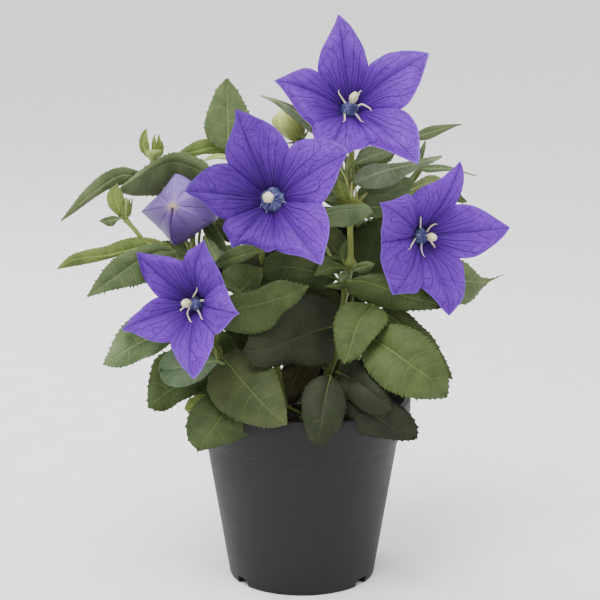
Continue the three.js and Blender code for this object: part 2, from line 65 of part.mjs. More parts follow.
 R0: {"M":[[25.2,-2.0,199.8],[27.9,-0.9,200.8],[30.6,0.3,201.8],[33.3,1.4,202.8],[36.0,2.6,203.7],[38.8,3.7,204.5],[41.6,4.9,205.2],[44.5,6.0,205.9]],"A":[[24.8,-2.0,200.6],[25.9,-0.3,203.1],[27.4,1.3,205.8],[30.7,2.4,207.1],[34.1,3.5,207.8],[37.6,4.4,207.8],[41.1,5.2,207.1],[44.4,6.0,206.2]],"B":[[25.7,-2.0,199.0],[28.2,-0.5,199.0],[31.3,0.9,198.9],[34.3,2.1,199.4],[37.1,3.2,200.6],[39.8,4.2,202.0],[42.2,5.1,203.9],[44.5,6.0,205.7]],"at":[23.6,3.6,195.2]},
 R1: {"M":[[52.3,10.0,210.9],[55.8,11.3,211.9],[59.3,12.5,212.9],[62.7,13.6,213.9],[66.2,14.4,214.8],[69.7,15.1,215.7],[73.2,15.6,216.5],[76.7,16.0,217.2]],"A":[[52.1,10.0,211.8],[54.9,11.7,213.6],[58.1,13.1,215.3],[61.7,14.1,216.5],[65.4,14.8,217.0],[69.2,15.4,217.2],[73.0,15.8,217.3],[76.7,16.0,217.4]],"B":[[52.5,10.0,210.1],[55.9,11.8,209.7],[59.6,13.1,209.9],[63.1,14.1,211.1],[66.5,14.8,212.8],[69.8,15.3,214.4],[73.2,15.7,215.9],[76.7,16.0,217.0]],"at":[56.9,20.1,195.5]},
 R2: {"M":[[24.2,-6.0,191.2],[30.0,-4.7,193.2],[35.7,-3.1,195.4],[41.6,-1.1,197.1],[47.8,1.2,198.2],[54.0,3.8,199.3],[60.2,6.7,200.8],[66.5,10.0,202.3]],"A":[[23.9,-6.1,192.1],[27.0,-3.8,196.9],[32.4,-2.0,199.5],[39.1,-0.4,199.6],[45.8,1.7,199.9],[52.6,4.2,200.8],[59.5,7.0,201.8],[66.4,10.0,202.6]],"B":[[24.5,-5.9,190.4],[30.0,-3.0,187.9],[36.7,-0.4,187.5],[43.1,1.5,189.2],[48.4,2.9,193.1],[54.1,4.8,196.3],[60.4,7.3,199.1],[66.6,10.0,202.1]],"at":[23.4,1.0,190.6]},
 R4: {"M":[[27.6,4.5,180.0],[31.4,5.5,181.2],[35.2,6.5,182.5],[39.0,7.5,183.9],[42.6,8.6,185.5],[46.3,9.7,187.1],[50.0,10.8,188.7],[53.7,12.0,190.4]],"A":[[27.2,4.6,180.8],[29.3,6.2,184.3],[31.7,7.8,188.0],[36.0,8.8,190.0],[40.5,9.9,191.7],[45.1,10.9,193.0],[49.5,11.6,192.6],[53.6,12.0,190.6]],"B":[[27.9,4.5,179.2],[32.0,6.1,178.2],[36.6,7.4,177.7],[41.3,8.7,178.1],[45.6,9.8,179.8],[49.5,10.7,182.3],[52.0,11.4,186.1],[53.8,12.0,190.1]],"at":[40.8,21.6,166.3]},
 R5: {"M":[[45.5,16.0,182.8],[48.8,16.6,184.1],[52.1,17.1,185.4],[55.3,17.7,186.8],[58.5,18.3,188.3],[61.9,18.9,189.2],[65.5,19.4,189.6],[69.0,20.0,190.0]],"A":[[45.3,16.0,183.7],[48.4,16.9,185.4],[51.7,17.6,187.5],[55.1,18.2,189.4],[58.4,18.9,191.4],[62.0,19.5,192.7],[65.8,19.9,192.2],[69.0,20.0,190.3]],"B":[[45.7,16.0,181.9],[49.1,16.9,182.1],[52.7,17.7,182.5],[56.1,18.3,183.6],[59.6,18.9,184.9],[62.9,19.4,186.3],[66.3,19.8,187.7],[69.0,20.0,189.8]],"at":[42.8,22.0,171.5]},
 R7: {"M":[[56.7,14.0,196.5],[60.8,15.1,196.3],[64.9,16.3,196.1],[69.0,17.4,196.1],[73.0,18.6,195.7],[77.0,19.7,194.6],[81.0,20.9,193.3],[85.0,22.0,192.1]],"A":[[56.8,14.0,197.3],[60.6,15.4,197.8],[64.7,16.7,198.1],[68.9,17.7,197.6],[73.0,18.7,196.6],[77.0,19.8,195.1],[81.0,20.9,193.6],[85.1,22.0,192.3]],"B":[[56.6,14.0,195.6],[60.1,15.6,194.2],[64.3,16.6,194.3],[68.4,17.7,194.7],[72.6,18.8,194.6],[76.7,19.9,193.9],[80.9,20.9,193.0],[85.0,22.0,191.8]],"at":[50.1,22.0,183.5]},
 R8: {"M":[[23.7,1.7,178.8],[26.8,1.5,178.9],[29.9,1.5,178.9],[33.1,1.6,178.9],[36.3,1.9,178.8],[39.4,2.5,179.1],[42.5,3.2,179.8],[45.6,4.1,180.5]],"A":[[23.6,1.7,179.8],[26.2,2.0,181.4],[29.0,2.4,183.5],[32.5,2.7,184.4],[36.1,3.1,184.7],[39.8,3.5,184.5],[42.9,3.8,183.1],[45.6,4.1,180.8]],"B":[[23.7,1.8,178.0],[26.3,2.1,176.0],[29.6,2.4,174.2],[33.4,2.6,173.7],[37.3,2.9,173.8],[40.8,3.3,174.7],[43.3,3.6,177.4],[45.6,4.1,180.3]],"at":[22.5,-4.4,179.0]},
 R9: {"M":[[61.2,12.0,146.3],[66.6,14.1,144.4],[72.1,16.3,142.7],[77.8,18.7,141.2],[83.5,21.3,140.2],[89.3,24.0,139.5],[95.0,26.9,140.5],[100.5,30.0,142.1]],"A":[[61.3,12.0,147.2],[65.7,15.2,150.5],[71.4,18.2,152.4],[77.6,20.6,151.1],[83.2,22.6,147.3],[88.0,24.7,142.3],[94.0,27.1,140.7],[100.6,30.0,142.4]],"B":[[61.1,12.0,145.4],[64.7,15.1,139.1],[69.4,18.2,132.8],[76.4,20.9,129.0],[83.5,23.3,129.0],[88.6,25.1,133.8],[93.7,27.3,138.8],[100.5,30.0,141.9]],"at":[39.7,3.2,139.3]},
 R10: {"M":[[67.7,16.0,187.7],[69.4,16.9,186.4],[71.2,17.7,185.2],[73.0,18.6,184.0],[74.8,19.4,182.7],[76.6,20.3,181.5],[78.5,21.1,180.4],[80.5,22.0,179.4]],"A":[[68.2,16.0,188.4],[70.0,17.1,187.6],[72.2,18.2,187.3],[74.2,19.1,186.3],[76.0,19.9,184.8],[77.6,20.6,183.1],[79.0,21.3,181.2],[80.6,22.0,179.6]],"B":[[67.1,16.0,186.9],[68.4,17.1,185.3],[69.4,18.2,183.2],[71.4,19.1,181.7],[73.4,19.9,180.4],[75.7,20.7,179.6],[78.0,21.4,179.3],[80.3,22.0,179.2]],"at":[45.7,22.0,176.3]},
 B1: {"M":[[24.1,4.0,135.8],[26.3,5.9,141.2],[28.5,7.7,146.8],[30.8,9.3,152.3],[33.1,10.7,157.8],[35.6,12.0,163.3],[38.1,13.1,168.8],[40.6,14.0,174.3]],"A":[[23.2,4.0,136.2],[21.8,6.6,142.3],[20.1,8.9,149.0],[20.5,10.8,155.8],[23.8,12.2,162.0],[28.1,13.2,167.7],[33.9,13.8,171.6],[40.4,14.0,174.4]],"B":[[24.9,4.0,135.4],[31.7,6.8,137.2],[38.0,9.2,141.0],[43.0,11.1,146.8],[46.5,12.7,153.5],[47.5,13.7,161.0],[45.3,14.1,168.0],[40.9,14.0,174.2]],"at":[25.2,16.2,118.6]},
 B2: {"M":[[20.9,0.0,152.8],[18.6,1.4,155.4],[16.2,2.5,158.1],[13.9,3.5,160.8],[11.5,4.4,163.5],[9.0,5.1,166.2],[6.4,5.6,168.7],[3.8,6.0,171.3]],"A":[[20.3,0.0,152.2],[16.7,1.9,151.9],[12.6,3.4,153.0],[9.1,4.6,155.2],[6.4,5.4,158.6],[4.8,5.9,162.5],[4.2,6.0,166.8],[3.7,6.0,171.1]],"B":[[21.5,-0.0,153.5],[21.5,1.8,157.0],[21.3,3.4,161.1],[19.1,4.5,164.9],[16.1,5.3,168.0],[12.5,5.9,170.5],[8.3,6.1,171.2],[4.0,6.0,171.5]],"at":[22.5,-7.9,154.9]},
 B3: {"M":[[-19.0,-8.0,107.0],[-17.1,-7.4,111.7],[-15.1,-6.9,116.5],[-12.5,-6.3,120.8],[-9.3,-5.7,124.7],[-5.7,-5.1,128.4],[-1.9,-4.6,131.8],[1.9,-4.0,135.2]],"A":[[-19.8,-8.0,107.3],[-23.6,-6.5,112.0],[-24.4,-5.5,118.4],[-22.1,-4.8,124.8],[-17.4,-4.3,130.0],[-11.6,-4.0,133.9],[-5.1,-3.9,135.6],[1.7,-4.0,135.3]],"B":[[-18.1,-8.0,106.7],[-12.8,-6.7,108.2],[-7.0,-5.5,110.5],[-1.9,-4.5,114.1],[2.4,-3.9,118.7],[5.2,-3.5,124.3],[5.8,-3.4,130.3],[2.1,-4.0,135.1]],"at":[-20.0,16.2,98.3]},
 B4: {"M":[[-18.7,-12.0,136.6],[-20.7,-12.2,139.6],[-22.6,-12.2,142.7],[-24.2,-12.1,146.0],[-25.4,-11.8,149.4],[-26.3,-11.4,152.9],[-26.9,-10.8,156.4],[-27.5,-10.0,159.9]],"A":[[-19.6,-12.0,136.3],[-23.4,-11.7,137.3],[-27.2,-11.5,139.7],[-30.0,-11.2,143.4],[-31.8,-10.9,147.7],[-32.2,-10.5,152.4],[-31.1,-10.2,156.8],[-27.8,-10.0,159.8]],"B":[[-17.9,-12.0,136.8],[-15.2,-11.4,139.6],[-13.4,-10.9,143.4],[-14.3,-10.6,148.0],[-16.1,-10.4,152.3],[-19.1,-10.2,155.9],[-23.0,-10.1,158.6],[-27.3,-10.0,159.9]],"at":[-16.8,-8.9,130.6]},
 B5: {"M":[[-32.9,-16.0,98.1],[-34.9,-15.6,102.1],[-36.9,-15.1,106.0],[-39.0,-14.4,109.8],[-41.2,-13.6,113.5],[-42.9,-12.5,117.5],[-44.0,-11.3,121.6],[-45.2,-10.0,125.7]],"A":[[-33.7,-16.0,97.8],[-38.0,-15.1,99.3],[-42.2,-14.2,102.0],[-45.2,-13.4,106.2],[-47.3,-12.6,111.0],[-48.5,-11.7,116.0],[-47.2,-10.9,120.8],[-45.5,-10.0,125.6]],"B":[[-32.1,-16.0,98.5],[-29.9,-14.9,102.4],[-28.6,-13.9,107.2],[-29.8,-13.0,112.3],[-32.1,-12.1,117.1],[-35.7,-11.4,120.8],[-40.3,-10.7,123.4],[-45.0,-10.0,125.8]],"at":[-23.0,17.0,105.3]},
 B6: {"M":[[39.2,-6.0,92.8],[40.1,-5.6,96.8],[41.0,-5.1,100.7],[41.9,-4.4,104.6],[42.8,-3.5,108.5],[43.6,-2.5,112.3],[44.3,-1.4,116.1],[45.1,0.0,119.9]],"A":[[38.4,-6.0,93.0],[36.1,-5.1,96.7],[33.9,-4.1,100.9],[33.2,-3.2,105.7],[34.4,-2.3,110.4],[36.7,-1.5,114.7],[40.6,-0.8,117.6],[44.9,0.0,120.0]],"B":[[40.1,-6.0,92.7],[43.5,-5.1,95.2],[47.1,-4.2,98.2],[49.2,-3.3,102.5],[50.3,-2.5,107.2],[50.1,-1.6,111.8],[47.8,-0.8,115.9],[45.3,-0.0,119.9]],"at":[17.2,16.0,97.7]},
 L4: {"M":[[-80.3,-27.6,176.2],[-81.3,-28.5,178.4],[-82.2,-29.5,180.7],[-82.9,-30.7,183.0],[-83.5,-32.0,185.4],[-83.4,-33.4,187.8],[-82.6,-34.9,190.2],[-81.8,-36.5,192.7]],"A":[[-81.1,-27.8,176.0],[-82.8,-28.9,177.8],[-84.9,-30.3,179.9],[-86.5,-31.6,182.4],[-87.0,-32.9,185.4],[-86.4,-34.2,188.5],[-84.5,-35.4,190.9],[-82.0,-36.6,192.7]],"B":[[-79.5,-27.3,176.4],[-79.5,-27.9,178.6],[-79.3,-28.6,181.0],[-79.4,-29.6,183.5],[-79.6,-30.7,185.9],[-80.0,-32.3,188.3],[-80.8,-34.3,190.5],[-81.5,-36.5,192.6]],"at":[-79.6,-28.0,176.0]},
 L5: {"M":[[-81.6,-31.2,177.1],[-82.7,-32.0,176.8],[-83.9,-32.8,176.5],[-85.1,-33.5,176.3],[-86.3,-34.1,176.2],[-87.6,-34.7,176.1],[-88.8,-35.1,176.1],[-90.1,-35.5,176.2]],"A":[[-81.6,-31.2,177.9],[-82.7,-31.9,177.8],[-83.9,-32.5,178.2],[-85.3,-33.2,178.2],[-86.6,-33.8,177.9],[-87.9,-34.4,177.6],[-89.1,-35.0,177.0],[-90.1,-35.5,176.4]],"B":[[-81.5,-31.2,176.2],[-82.6,-31.9,175.8],[-83.6,-32.4,174.5],[-84.7,-33.0,173.5],[-86.1,-33.6,173.5],[-87.5,-34.3,174.1],[-88.8,-34.9,175.1],[-90.1,-35.5,175.9]],"at":[-79.2,-27.9,175.6]},
 H1: {"M":[[-71.0,-6.0,202.8],[-72.0,-6.8,204.6],[-72.8,-7.4,206.3],[-73.2,-7.8,208.2],[-73.3,-8.1,210.2],[-72.9,-8.2,212.1],[-72.3,-8.2,214.0],[-71.8,-8.0,215.9]],"A":[[-71.9,-6.0,202.5],[-73.0,-7.0,203.9],[-74.5,-7.8,205.5],[-75.1,-8.2,207.7],[-75.2,-8.5,210.1],[-74.6,-8.6,212.4],[-73.5,-8.5,214.4],[-72.0,-8.0,216.0]],"B":[[-70.2,-6.0,203.1],[-70.5,-7.0,204.8],[-70.5,-7.8,206.6],[-70.7,-8.3,208.5],[-70.9,-8.6,210.4],[-71.2,-8.6,212.2],[-71.4,-8.4,214.1],[-71.5,-8.0,215.9]],"at":[-69.1,-5.0,200.0]},
 H2: {"M":[[-68.9,-3.9,203.2],[-68.8,-4.5,204.6],[-68.8,-4.9,206.1],[-68.7,-5.2,207.5],[-68.7,-5.4,208.9],[-68.6,-5.4,210.3],[-68.5,-5.4,211.8],[-68.3,-5.2,213.2]],"A":[[-69.8,-3.9,203.2],[-69.6,-4.6,204.5],[-69.9,-5.1,205.9],[-69.8,-5.4,207.4],[-69.6,-5.6,208.9],[-69.4,-5.6,210.4],[-68.9,-5.5,211.8],[-68.6,-5.2,213.2]],"B":[[-68.0,-3.9,203.2],[-67.9,-4.7,204.4],[-67.3,-5.2,205.8],[-67.3,-5.5,207.3],[-67.4,-5.6,208.8],[-67.6,-5.6,210.3],[-68.0,-5.5,211.7],[-68.1,-5.2,213.2]],"at":[-69.1,-5.0,200.0]},
 H3: {"M":[[-67.8,-1.6,203.5],[-67.5,-1.8,204.9],[-67.2,-2.0,206.2],[-67.1,-2.1,207.6],[-66.9,-2.3,209.0],[-66.8,-2.5,210.3],[-66.7,-2.7,211.7],[-66.5,-2.9,213.1]],"A":[[-68.7,-1.6,203.7],[-68.0,-1.9,204.9],[-68.1,-2.1,206.3],[-67.9,-2.3,207.7],[-67.7,-2.5,209.1],[-67.5,-2.7,210.4],[-67.1,-2.8,211.8],[-66.8,-2.9,213.1]],"B":[[-66.9,-1.6,203.4],[-66.9,-1.9,204.7],[-66.1,-2.2,206.0],[-65.9,-2.4,207.4],[-65.8,-2.6,208.8],[-65.8,-2.7,210.3],[-66.1,-2.8,211.7],[-66.3,-2.9,213.1]],"at":[-69.1,-5.0,200.0]},
 H4: {"M":[[-67.0,-4.4,202.8],[-66.2,-4.6,203.7],[-65.5,-4.8,204.6],[-64.9,-5.0,205.6],[-64.7,-5.3,206.8],[-64.6,-5.6,207.9],[-64.8,-5.9,209.1],[-65.0,-6.2,210.2]],"A":[[-67.8,-4.4,203.2],[-67.0,-4.7,203.9],[-66.9,-5.1,205.0],[-66.7,-5.4,206.1],[-66.4,-5.6,207.2],[-66.1,-5.9,208.3],[-65.7,-6.1,209.3],[-65.3,-6.2,210.3]],"B":[[-66.2,-4.4,202.3],[-65.7,-4.7,203.1],[-64.8,-5.0,204.0],[-64.4,-5.2,205.2],[-64.1,-5.4,206.5],[-64.0,-5.7,207.9],[-64.4,-6.0,209.1],[-64.8,-6.2,210.2]],"at":[-69.1,-5.0,200.0]},
 K00: {"M":[[-54.2,-7.6,149.5],[-50.6,-1.7,153.0],[-46.7,4.8,154.8],[-42.7,11.4,154.8],[-38.8,17.9,153.0],[-35.2,23.8,149.5],[-32.1,28.9,144.5],[-29.7,32.8,138.2]],"A":[[-54.9,-7.0,149.1],[-58.0,4.5,149.1],[-58.4,12.8,148.6],[-56.6,18.9,147.9],[-52.6,23.6,146.9],[-46.5,27.4,145.3],[-38.8,30.5,142.5],[-30.0,32.9,138.2]],"B":[[-53.5,-8.0,149.5],[-42.5,-6.5,152.9],[-34.6,-2.5,154.7],[-29.2,3.2,154.7],[-26.1,10.2,152.9],[-25.3,17.8,149.4],[-26.5,25.4,144.4],[-29.5,32.7,138.2]],"at":[-57.1,-12.3,144.8]},
 K01: {"M":[[48.2,9.1,156.1],[48.6,15.8,156.0],[49.0,22.4,155.2],[49.4,28.9,153.8],[49.8,35.3,151.8],[50.2,41.5,149.3],[50.6,47.4,146.2],[50.9,53.0,142.5]],"A":[[47.3,9.1,156.1],[41.4,16.2,156.0],[38.2,23.1,155.3],[37.4,29.7,153.9],[38.6,36.0,151.9],[41.4,42.1,149.3],[45.6,47.7,146.2],[50.7,53.0,142.5]],"B":[[49.1,9.0,155.7],[55.8,15.1,152.7],[59.8,20.9,150.3],[61.4,26.8,148.5],[61.0,32.9,147.0],[58.9,39.2,145.6],[55.5,45.9,144.2],[51.2,52.9,142.4]],"at":[47.8,2.3,155.7]},
 K02: {"M":[[35.5,25.6,164.0],[32.0,30.2,166.8],[28.3,35.1,168.8],[24.4,40.2,170.0],[20.5,45.3,170.3],[16.6,50.5,169.8],[12.8,55.5,168.4],[9.1,60.3,166.1]],"A":[[34.8,25.1,163.8],[26.1,26.5,165.4],[19.7,29.3,166.6],[15.0,33.4,167.5],[11.9,38.7,168.0],[10.1,45.1,168.0],[9.2,52.3,167.4],[8.9,60.1,166.1]],"B":[[36.2,26.2,163.8],[37.2,34.9,165.4],[36.2,41.9,166.6],[33.5,47.5,167.4],[29.2,51.9,167.9],[23.6,55.4,167.9],[16.8,58.2,167.3],[9.3,60.4,166.1]],"at":[38.9,21.2,160.3]},
 K03: {"M":[[-23.2,22.7,123.6],[-18.5,25.8,124.6],[-13.8,29.0,124.9],[-9.2,32.2,124.5],[-4.5,35.3,123.4],[-0.1,38.3,121.6],[4.2,41.2,119.2],[8.1,43.9,116.2]],"A":[[-23.6,23.5,123.4],[-22.4,32.0,122.6],[-19.9,38.0,121.9],[-16.3,42.0,121.2],[-11.6,44.2,120.4],[-5.8,45.1,119.4],[0.8,45.0,118.0],[8.0,44.1,116.1]],"B":[[-22.6,22.0,123.5],[-14.4,19.9,123.4],[-7.8,20.0,123.1],[-2.6,22.0,122.5],[1.4,25.6,121.6],[4.4,30.7,120.3],[6.7,36.8,118.5],[8.3,43.7,116.2]],"at":[-28.2,19.3,121.7]},
 K04: {"M":[[26.1,22.1,123.7],[26.1,27.1,125.3],[26.2,32.3,126.0],[26.3,37.6,125.8],[26.3,42.8,124.6],[26.4,47.6,122.6],[26.5,52.1,119.8],[26.5,56.0,116.2]],"A":[[25.2,22.2,123.3],[19.5,27.8,122.6],[16.2,32.6,121.9],[15.1,37.2,121.2],[15.9,41.6,120.5],[18.2,46.2,119.7],[21.8,51.0,118.3],[26.3,56.0,116.2]],"B":[[26.9,22.1,123.7],[32.8,27.1,125.0],[36.2,32.2,125.6],[37.4,37.4,125.4],[36.8,42.5,124.3],[34.5,47.4,122.4],[31.1,52.0,119.7],[26.8,56.0,116.2]],"at":[26.0,16.5,120.8]},
 K05: {"M":[[19.5,20.9,114.8],[16.4,25.6,116.3],[13.1,30.4,116.9],[9.8,35.3,116.4],[6.6,40.0,115.0],[3.5,44.5,112.7],[0.8,48.6,109.5],[-1.7,52.2,105.6]],"A":[[18.8,20.4,114.6],[10.6,22.1,114.4],[4.8,24.8,114.0],[0.8,28.6,113.2],[-1.6,33.4,112.2],[-2.6,39.0,110.6],[-2.6,45.3,108.5],[-1.9,52.0,105.5]],"B":[[20.3,21.4,114.7],[21.8,29.5,115.3],[21.4,36.1,115.3],[19.2,41.4,114.7],[15.5,45.5,113.5],[10.6,48.6,111.6],[4.9,50.8,109.0],[-1.5,52.3,105.6]],"at":[22.9,16.0,112.2]},
 K06: {"M":[[-51.0,-3.7,128.2],[-50.1,1.6,130.3],[-49.1,7.1,131.2],[-48.2,12.7,130.8],[-47.3,18.1,129.2],[-46.4,23.0,126.4],[-45.7,27.2,122.6],[-45.2,30.4,117.9]],"A":[[-51.8,-3.4,127.9],[-55.8,3.2,127.8],[-57.8,8.8,127.2],[-58.0,13.6,126.4],[-56.6,18.1,125.4],[-53.8,22.4,123.8],[-50.0,26.5,121.4],[-45.4,30.4,117.9]],"B":[[-50.1,-3.8,128.2],[-44.3,0.6,130.4],[-40.5,5.6,131.3],[-38.5,11.1,130.9],[-38.2,16.6,129.2],[-39.4,21.8,126.4],[-41.7,26.5,122.6],[-44.9,30.4,117.9]],"at":[-51.9,-8.9,124.6]},
 K07: {"M":[[21.0,0.6,111.2],[15.4,3.2,112.2],[9.7,5.8,111.8],[4.2,8.3,110.1],[-0.7,10.6,107.2],[-5.0,12.5,103.1],[-8.5,14.1,98.1],[-10.8,15.2,92.5]],"A":[[20.6,-0.2,111.1],[12.1,-4.0,111.5],[5.0,-5.0,110.9],[-0.8,-3.8,109.1],[-5.3,-0.8,106.4],[-8.5,3.6,102.6],[-10.4,9.0,97.9],[-10.9,14.9,92.5]],"B":[[21.3,1.4,110.9],[18.5,10.4,109.3],[15.2,16.2,107.6],[11.3,19.5,105.7],[6.7,20.7,103.5],[1.2,20.2,100.7],[-4.7,18.3,97.1],[-10.7,15.4,92.4]],"at":[26.6,-1.9,108.8]},
 K08: {"M":[[48.2,24.2,173.6],[53.4,26.2,174.2],[58.6,28.2,173.4],[63.4,30.1,171.5],[67.7,31.8,168.3],[71.2,33.1,164.2],[73.7,34.1,159.3],[75.0,34.6,153.9]],"A":[[48.0,25.0,173.2],[50.9,32.7,171.8],[54.0,37.6,170.1],[57.5,40.3,168.0],[61.5,41.1,165.6],[66.0,40.2,162.6],[70.5,38.1,158.7],[74.9,34.8,153.9]],"B":[[48.6,23.3,173.4],[56.0,19.7,173.4],[62.1,18.4,172.3],[67.1,19.0,170.3],[70.9,21.3,167.4],[73.6,24.9,163.7],[75.0,29.4,159.1],[75.1,34.4,153.9]],"at":[42.7,22.0,171.4]},
 K10: {"M":[[30.8,20.9,132.6],[33.7,24.6,136.3],[36.9,28.8,139.2],[40.4,33.4,140.9],[44.0,38.2,141.6],[47.6,43.0,141.2],[51.2,47.6,139.6],[54.4,51.9,137.0]],"A":[[30.3,21.6,132.2],[28.9,30.7,133.3],[29.2,37.2,134.2],[31.2,41.9,135.1],[34.8,45.3,136.1],[40.0,47.9,136.9],[46.5,50.1,137.3],[54.2,52.0,136.9]],"B":[[31.5,20.3,132.6],[39.6,20.0,136.5],[45.7,22.0,139.4],[50.3,25.8,141.2],[53.3,31.1,141.9],[54.9,37.5,141.4],[55.3,44.5,139.7],[54.6,51.8,137.0]],"at":[28.3,17.5,127.6]},
 K11: {"M":[[-21.4,20.8,105.0],[-21.8,24.8,108.4],[-22.2,29.1,111.4],[-22.7,33.7,114.0],[-23.2,38.5,116.2],[-23.6,43.5,117.9],[-24.2,48.6,119.2],[-24.7,53.8,120.0]],"A":[[-22.3,20.9,104.7],[-27.4,25.4,106.9],[-30.6,29.8,109.0],[-32.0,34.2,111.2],[-31.9,38.8,113.5],[-30.4,43.5,115.7],[-28.0,48.5,117.9],[-24.9,53.8,119.9]],"B":[[-20.5,20.9,104.9],[-16.3,25.7,107.9],[-14.0,30.4,110.7],[-13.5,35.1,113.2],[-14.6,39.7,115.4],[-16.9,44.4,117.3],[-20.4,49.1,118.8],[-24.4,53.9,119.9]],"at":[-21.0,16.4,100.5]},
 K12: {"M":[[-35.4,26.6,186.7],[-36.3,31.8,189.6],[-37.3,37.4,191.4],[-38.4,43.2,192.2],[-39.4,49.0,191.9],[-40.4,54.8,190.5],[-41.4,60.1,188.0],[-42.2,64.9,184.6]],"A":[[-36.3,26.7,186.4],[-42.7,31.8,186.9],[-46.7,36.7,187.2],[-48.6,41.5,187.4],[-48.9,46.7,187.4],[-47.7,52.3,187.2],[-45.5,58.4,186.3],[-42.5,64.8,184.5]],"B":[[-34.5,26.8,186.7],[-30.2,32.9,189.7],[-28.1,39.0,191.6],[-28.1,45.0,192.3],[-29.8,50.8,192.0],[-32.9,56.1,190.6],[-37.1,60.9,188.1],[-42.0,65.0,184.6]],"at":[-34.5,21.7,182.6]},
 K13: {"M":[[-21.7,-6.5,151.2],[-24.7,-3.0,154.5],[-28.0,1.0,157.0],[-31.6,5.2,158.6],[-35.2,9.6,159.2],[-38.9,13.9,158.9],[-42.5,18.2,157.6],[-45.9,22.2,155.5]],"A":[[-22.4,-7.0,151.1],[-30.6,-7.2,153.6],[-36.6,-5.5,155.4],[-41.0,-2.3,156.8],[-43.9,2.3,157.5],[-45.5,8.1,157.6],[-46.2,14.8,156.9],[-46.1,22.1,155.4]],"B":[[-21.1,-5.8,151.0],[-19.8,2.5,152.8],[-20.4,8.8,154.1],[-22.8,13.5,155.2],[-26.6,16.9,156.0],[-31.9,19.3,156.4],[-38.4,21.1,156.3],[-45.7,22.4,155.4]],"at":[-18.7,-10.0,146.7]},
 K14: {"M":[[52.3,28.2,181.3],[56.0,34.6,179.8],[59.4,40.6,176.9],[62.5,45.9,172.6],[65.1,50.4,167.2],[67.1,53.9,160.8],[68.4,56.2,153.8],[69.0,57.2,146.4]],"A":[[51.5,28.6,180.9],[47.7,38.1,176.2],[46.5,44.9,171.9],[47.5,49.8,167.8],[50.7,53.4,163.6],[55.6,55.8,158.8],[61.8,57.1,153.1],[68.7,57.2,146.4]],"B":[[53.0,27.8,181.2],[63.7,30.1,179.6],[70.9,33.8,176.6],[75.3,38.2,172.3],[77.1,43.2,167.0],[76.4,48.2,160.7],[73.7,52.9,153.8],[69.2,57.0,146.4]],"at":[48.7,22.0,181.2]},
 K15: {"M":[[-32.4,24.9,127.5],[-36.5,30.6,129.1],[-40.7,36.5,128.9],[-44.7,42.1,127.2],[-48.4,47.4,123.8],[-51.6,51.8,119.1],[-54.0,55.2,113.2],[-55.5,57.4,106.5]],"A":[[-33.2,24.4,127.5],[-43.6,25.6,128.8],[-51.2,28.9,128.5],[-56.4,33.6,126.7],[-59.3,39.3,123.4],[-60.0,45.4,118.8],[-58.8,51.5,113.1],[-55.8,57.2,106.5]],"B":[[-31.8,25.4,127.2],[-29.7,35.9,125.5],[-29.7,43.4,123.7],[-31.7,48.8,121.6],[-35.6,52.6,119.2],[-41.1,55.2,116.2],[-47.8,56.9,112.0],[-55.3,57.4,106.5]],"at":[-28.8,19.7,124.4]},
 K16: {"M":[[35.0,23.8,167.0],[30.0,25.6,166.3],[25.1,27.3,164.7],[20.7,28.9,162.1],[16.7,30.4,158.7],[13.4,31.6,154.6],[10.9,32.5,149.9],[9.3,33.0,144.8]],"A":[[34.7,22.9,166.9],[27.9,19.4,166.0],[22.1,18.1,164.2],[17.3,18.6,161.6],[13.7,20.7,158.3],[11.1,23.9,154.4],[9.7,28.1,149.8],[9.2,32.8,144.8]],"B":[[35.4,24.6,166.6],[32.7,31.6,163.9],[29.8,36.0,161.2],[26.6,38.4,158.6],[22.8,39.0,155.9],[18.5,38.2,152.9],[14.0,36.1,149.2],[9.5,33.2,144.8]],"at":[40.9,21.7,166.6]},
 K17: {"M":[[17.9,-3.5,154.9],[13.5,0.9,155.6],[9.0,5.3,155.0],[4.8,9.5,153.1],[0.9,13.3,149.9],[-2.3,16.6,145.6],[-4.8,19.1,140.4],[-6.5,20.8,134.6]],"A":[[17.2,-4.1,154.7],[8.8,-3.8,154.0],[2.4,-2.1,152.6],[-2.2,0.9,150.6],[-5.3,4.9,147.8],[-6.9,9.8,144.3],[-7.4,15.1,139.9],[-6.7,20.6,134.6]],"B":[[18.5,-2.9,154.7],[18.1,5.6,154.4],[16.3,12.1,153.2],[13.2,16.8,151.1],[9.1,19.8,148.3],[4.2,21.5,144.6],[-1.1,21.8,140.0],[-6.3,20.9,134.6]],"at":[22.3,-7.9,152.7]},
 K18: {"M":[[43.5,26.6,180.6],[41.3,31.6,184.4],[38.9,36.9,187.5],[36.4,42.5,189.9],[33.8,48.3,191.7],[31.1,54.2,192.6],[28.4,60.3,192.9],[25.7,66.3,192.4]],"A":[[42.7,26.3,180.5],[34.0,28.8,183.6],[28.0,32.6,186.3],[24.3,37.5,188.5],[22.5,43.5,190.3],[22.4,50.4,191.6],[23.4,58.0,192.3],[25.4,66.2,192.3]],"B":[[44.3,27.2,180.4],[47.9,36.0,182.2],[48.9,43.2,184.0],[47.7,49.1,185.8],[44.5,54.1,187.7],[39.6,58.4,189.5],[33.3,62.5,191.1],[25.9,66.4,192.3]],"at":[45.6,22.0,176.2]},
 K19: {"M":[[21.1,0.2,174.4],[19.8,5.4,175.7],[18.5,10.8,176.5],[17.2,16.2,176.7],[15.9,21.6,176.4],[14.6,27.0,175.6],[13.4,32.3,174.2],[12.1,37.4,172.4]],"A":[[20.2,-0.1,174.4],[13.5,3.9,175.7],[9.1,8.6,176.4],[6.7,13.7,176.7],[6.1,19.3,176.4],[7.0,25.2,175.6],[9.0,31.2,174.2],[11.9,37.3,172.4]],"B":[[21.9,0.5,174.0],[26.0,7.5,172.9],[27.8,13.4,172.2],[27.7,18.7,171.9],[25.9,23.6,171.9],[22.5,28.2,172.1],[17.9,32.8,172.3],[12.4,37.4,172.3]],"at":[22.5,-5.7,172.4]},
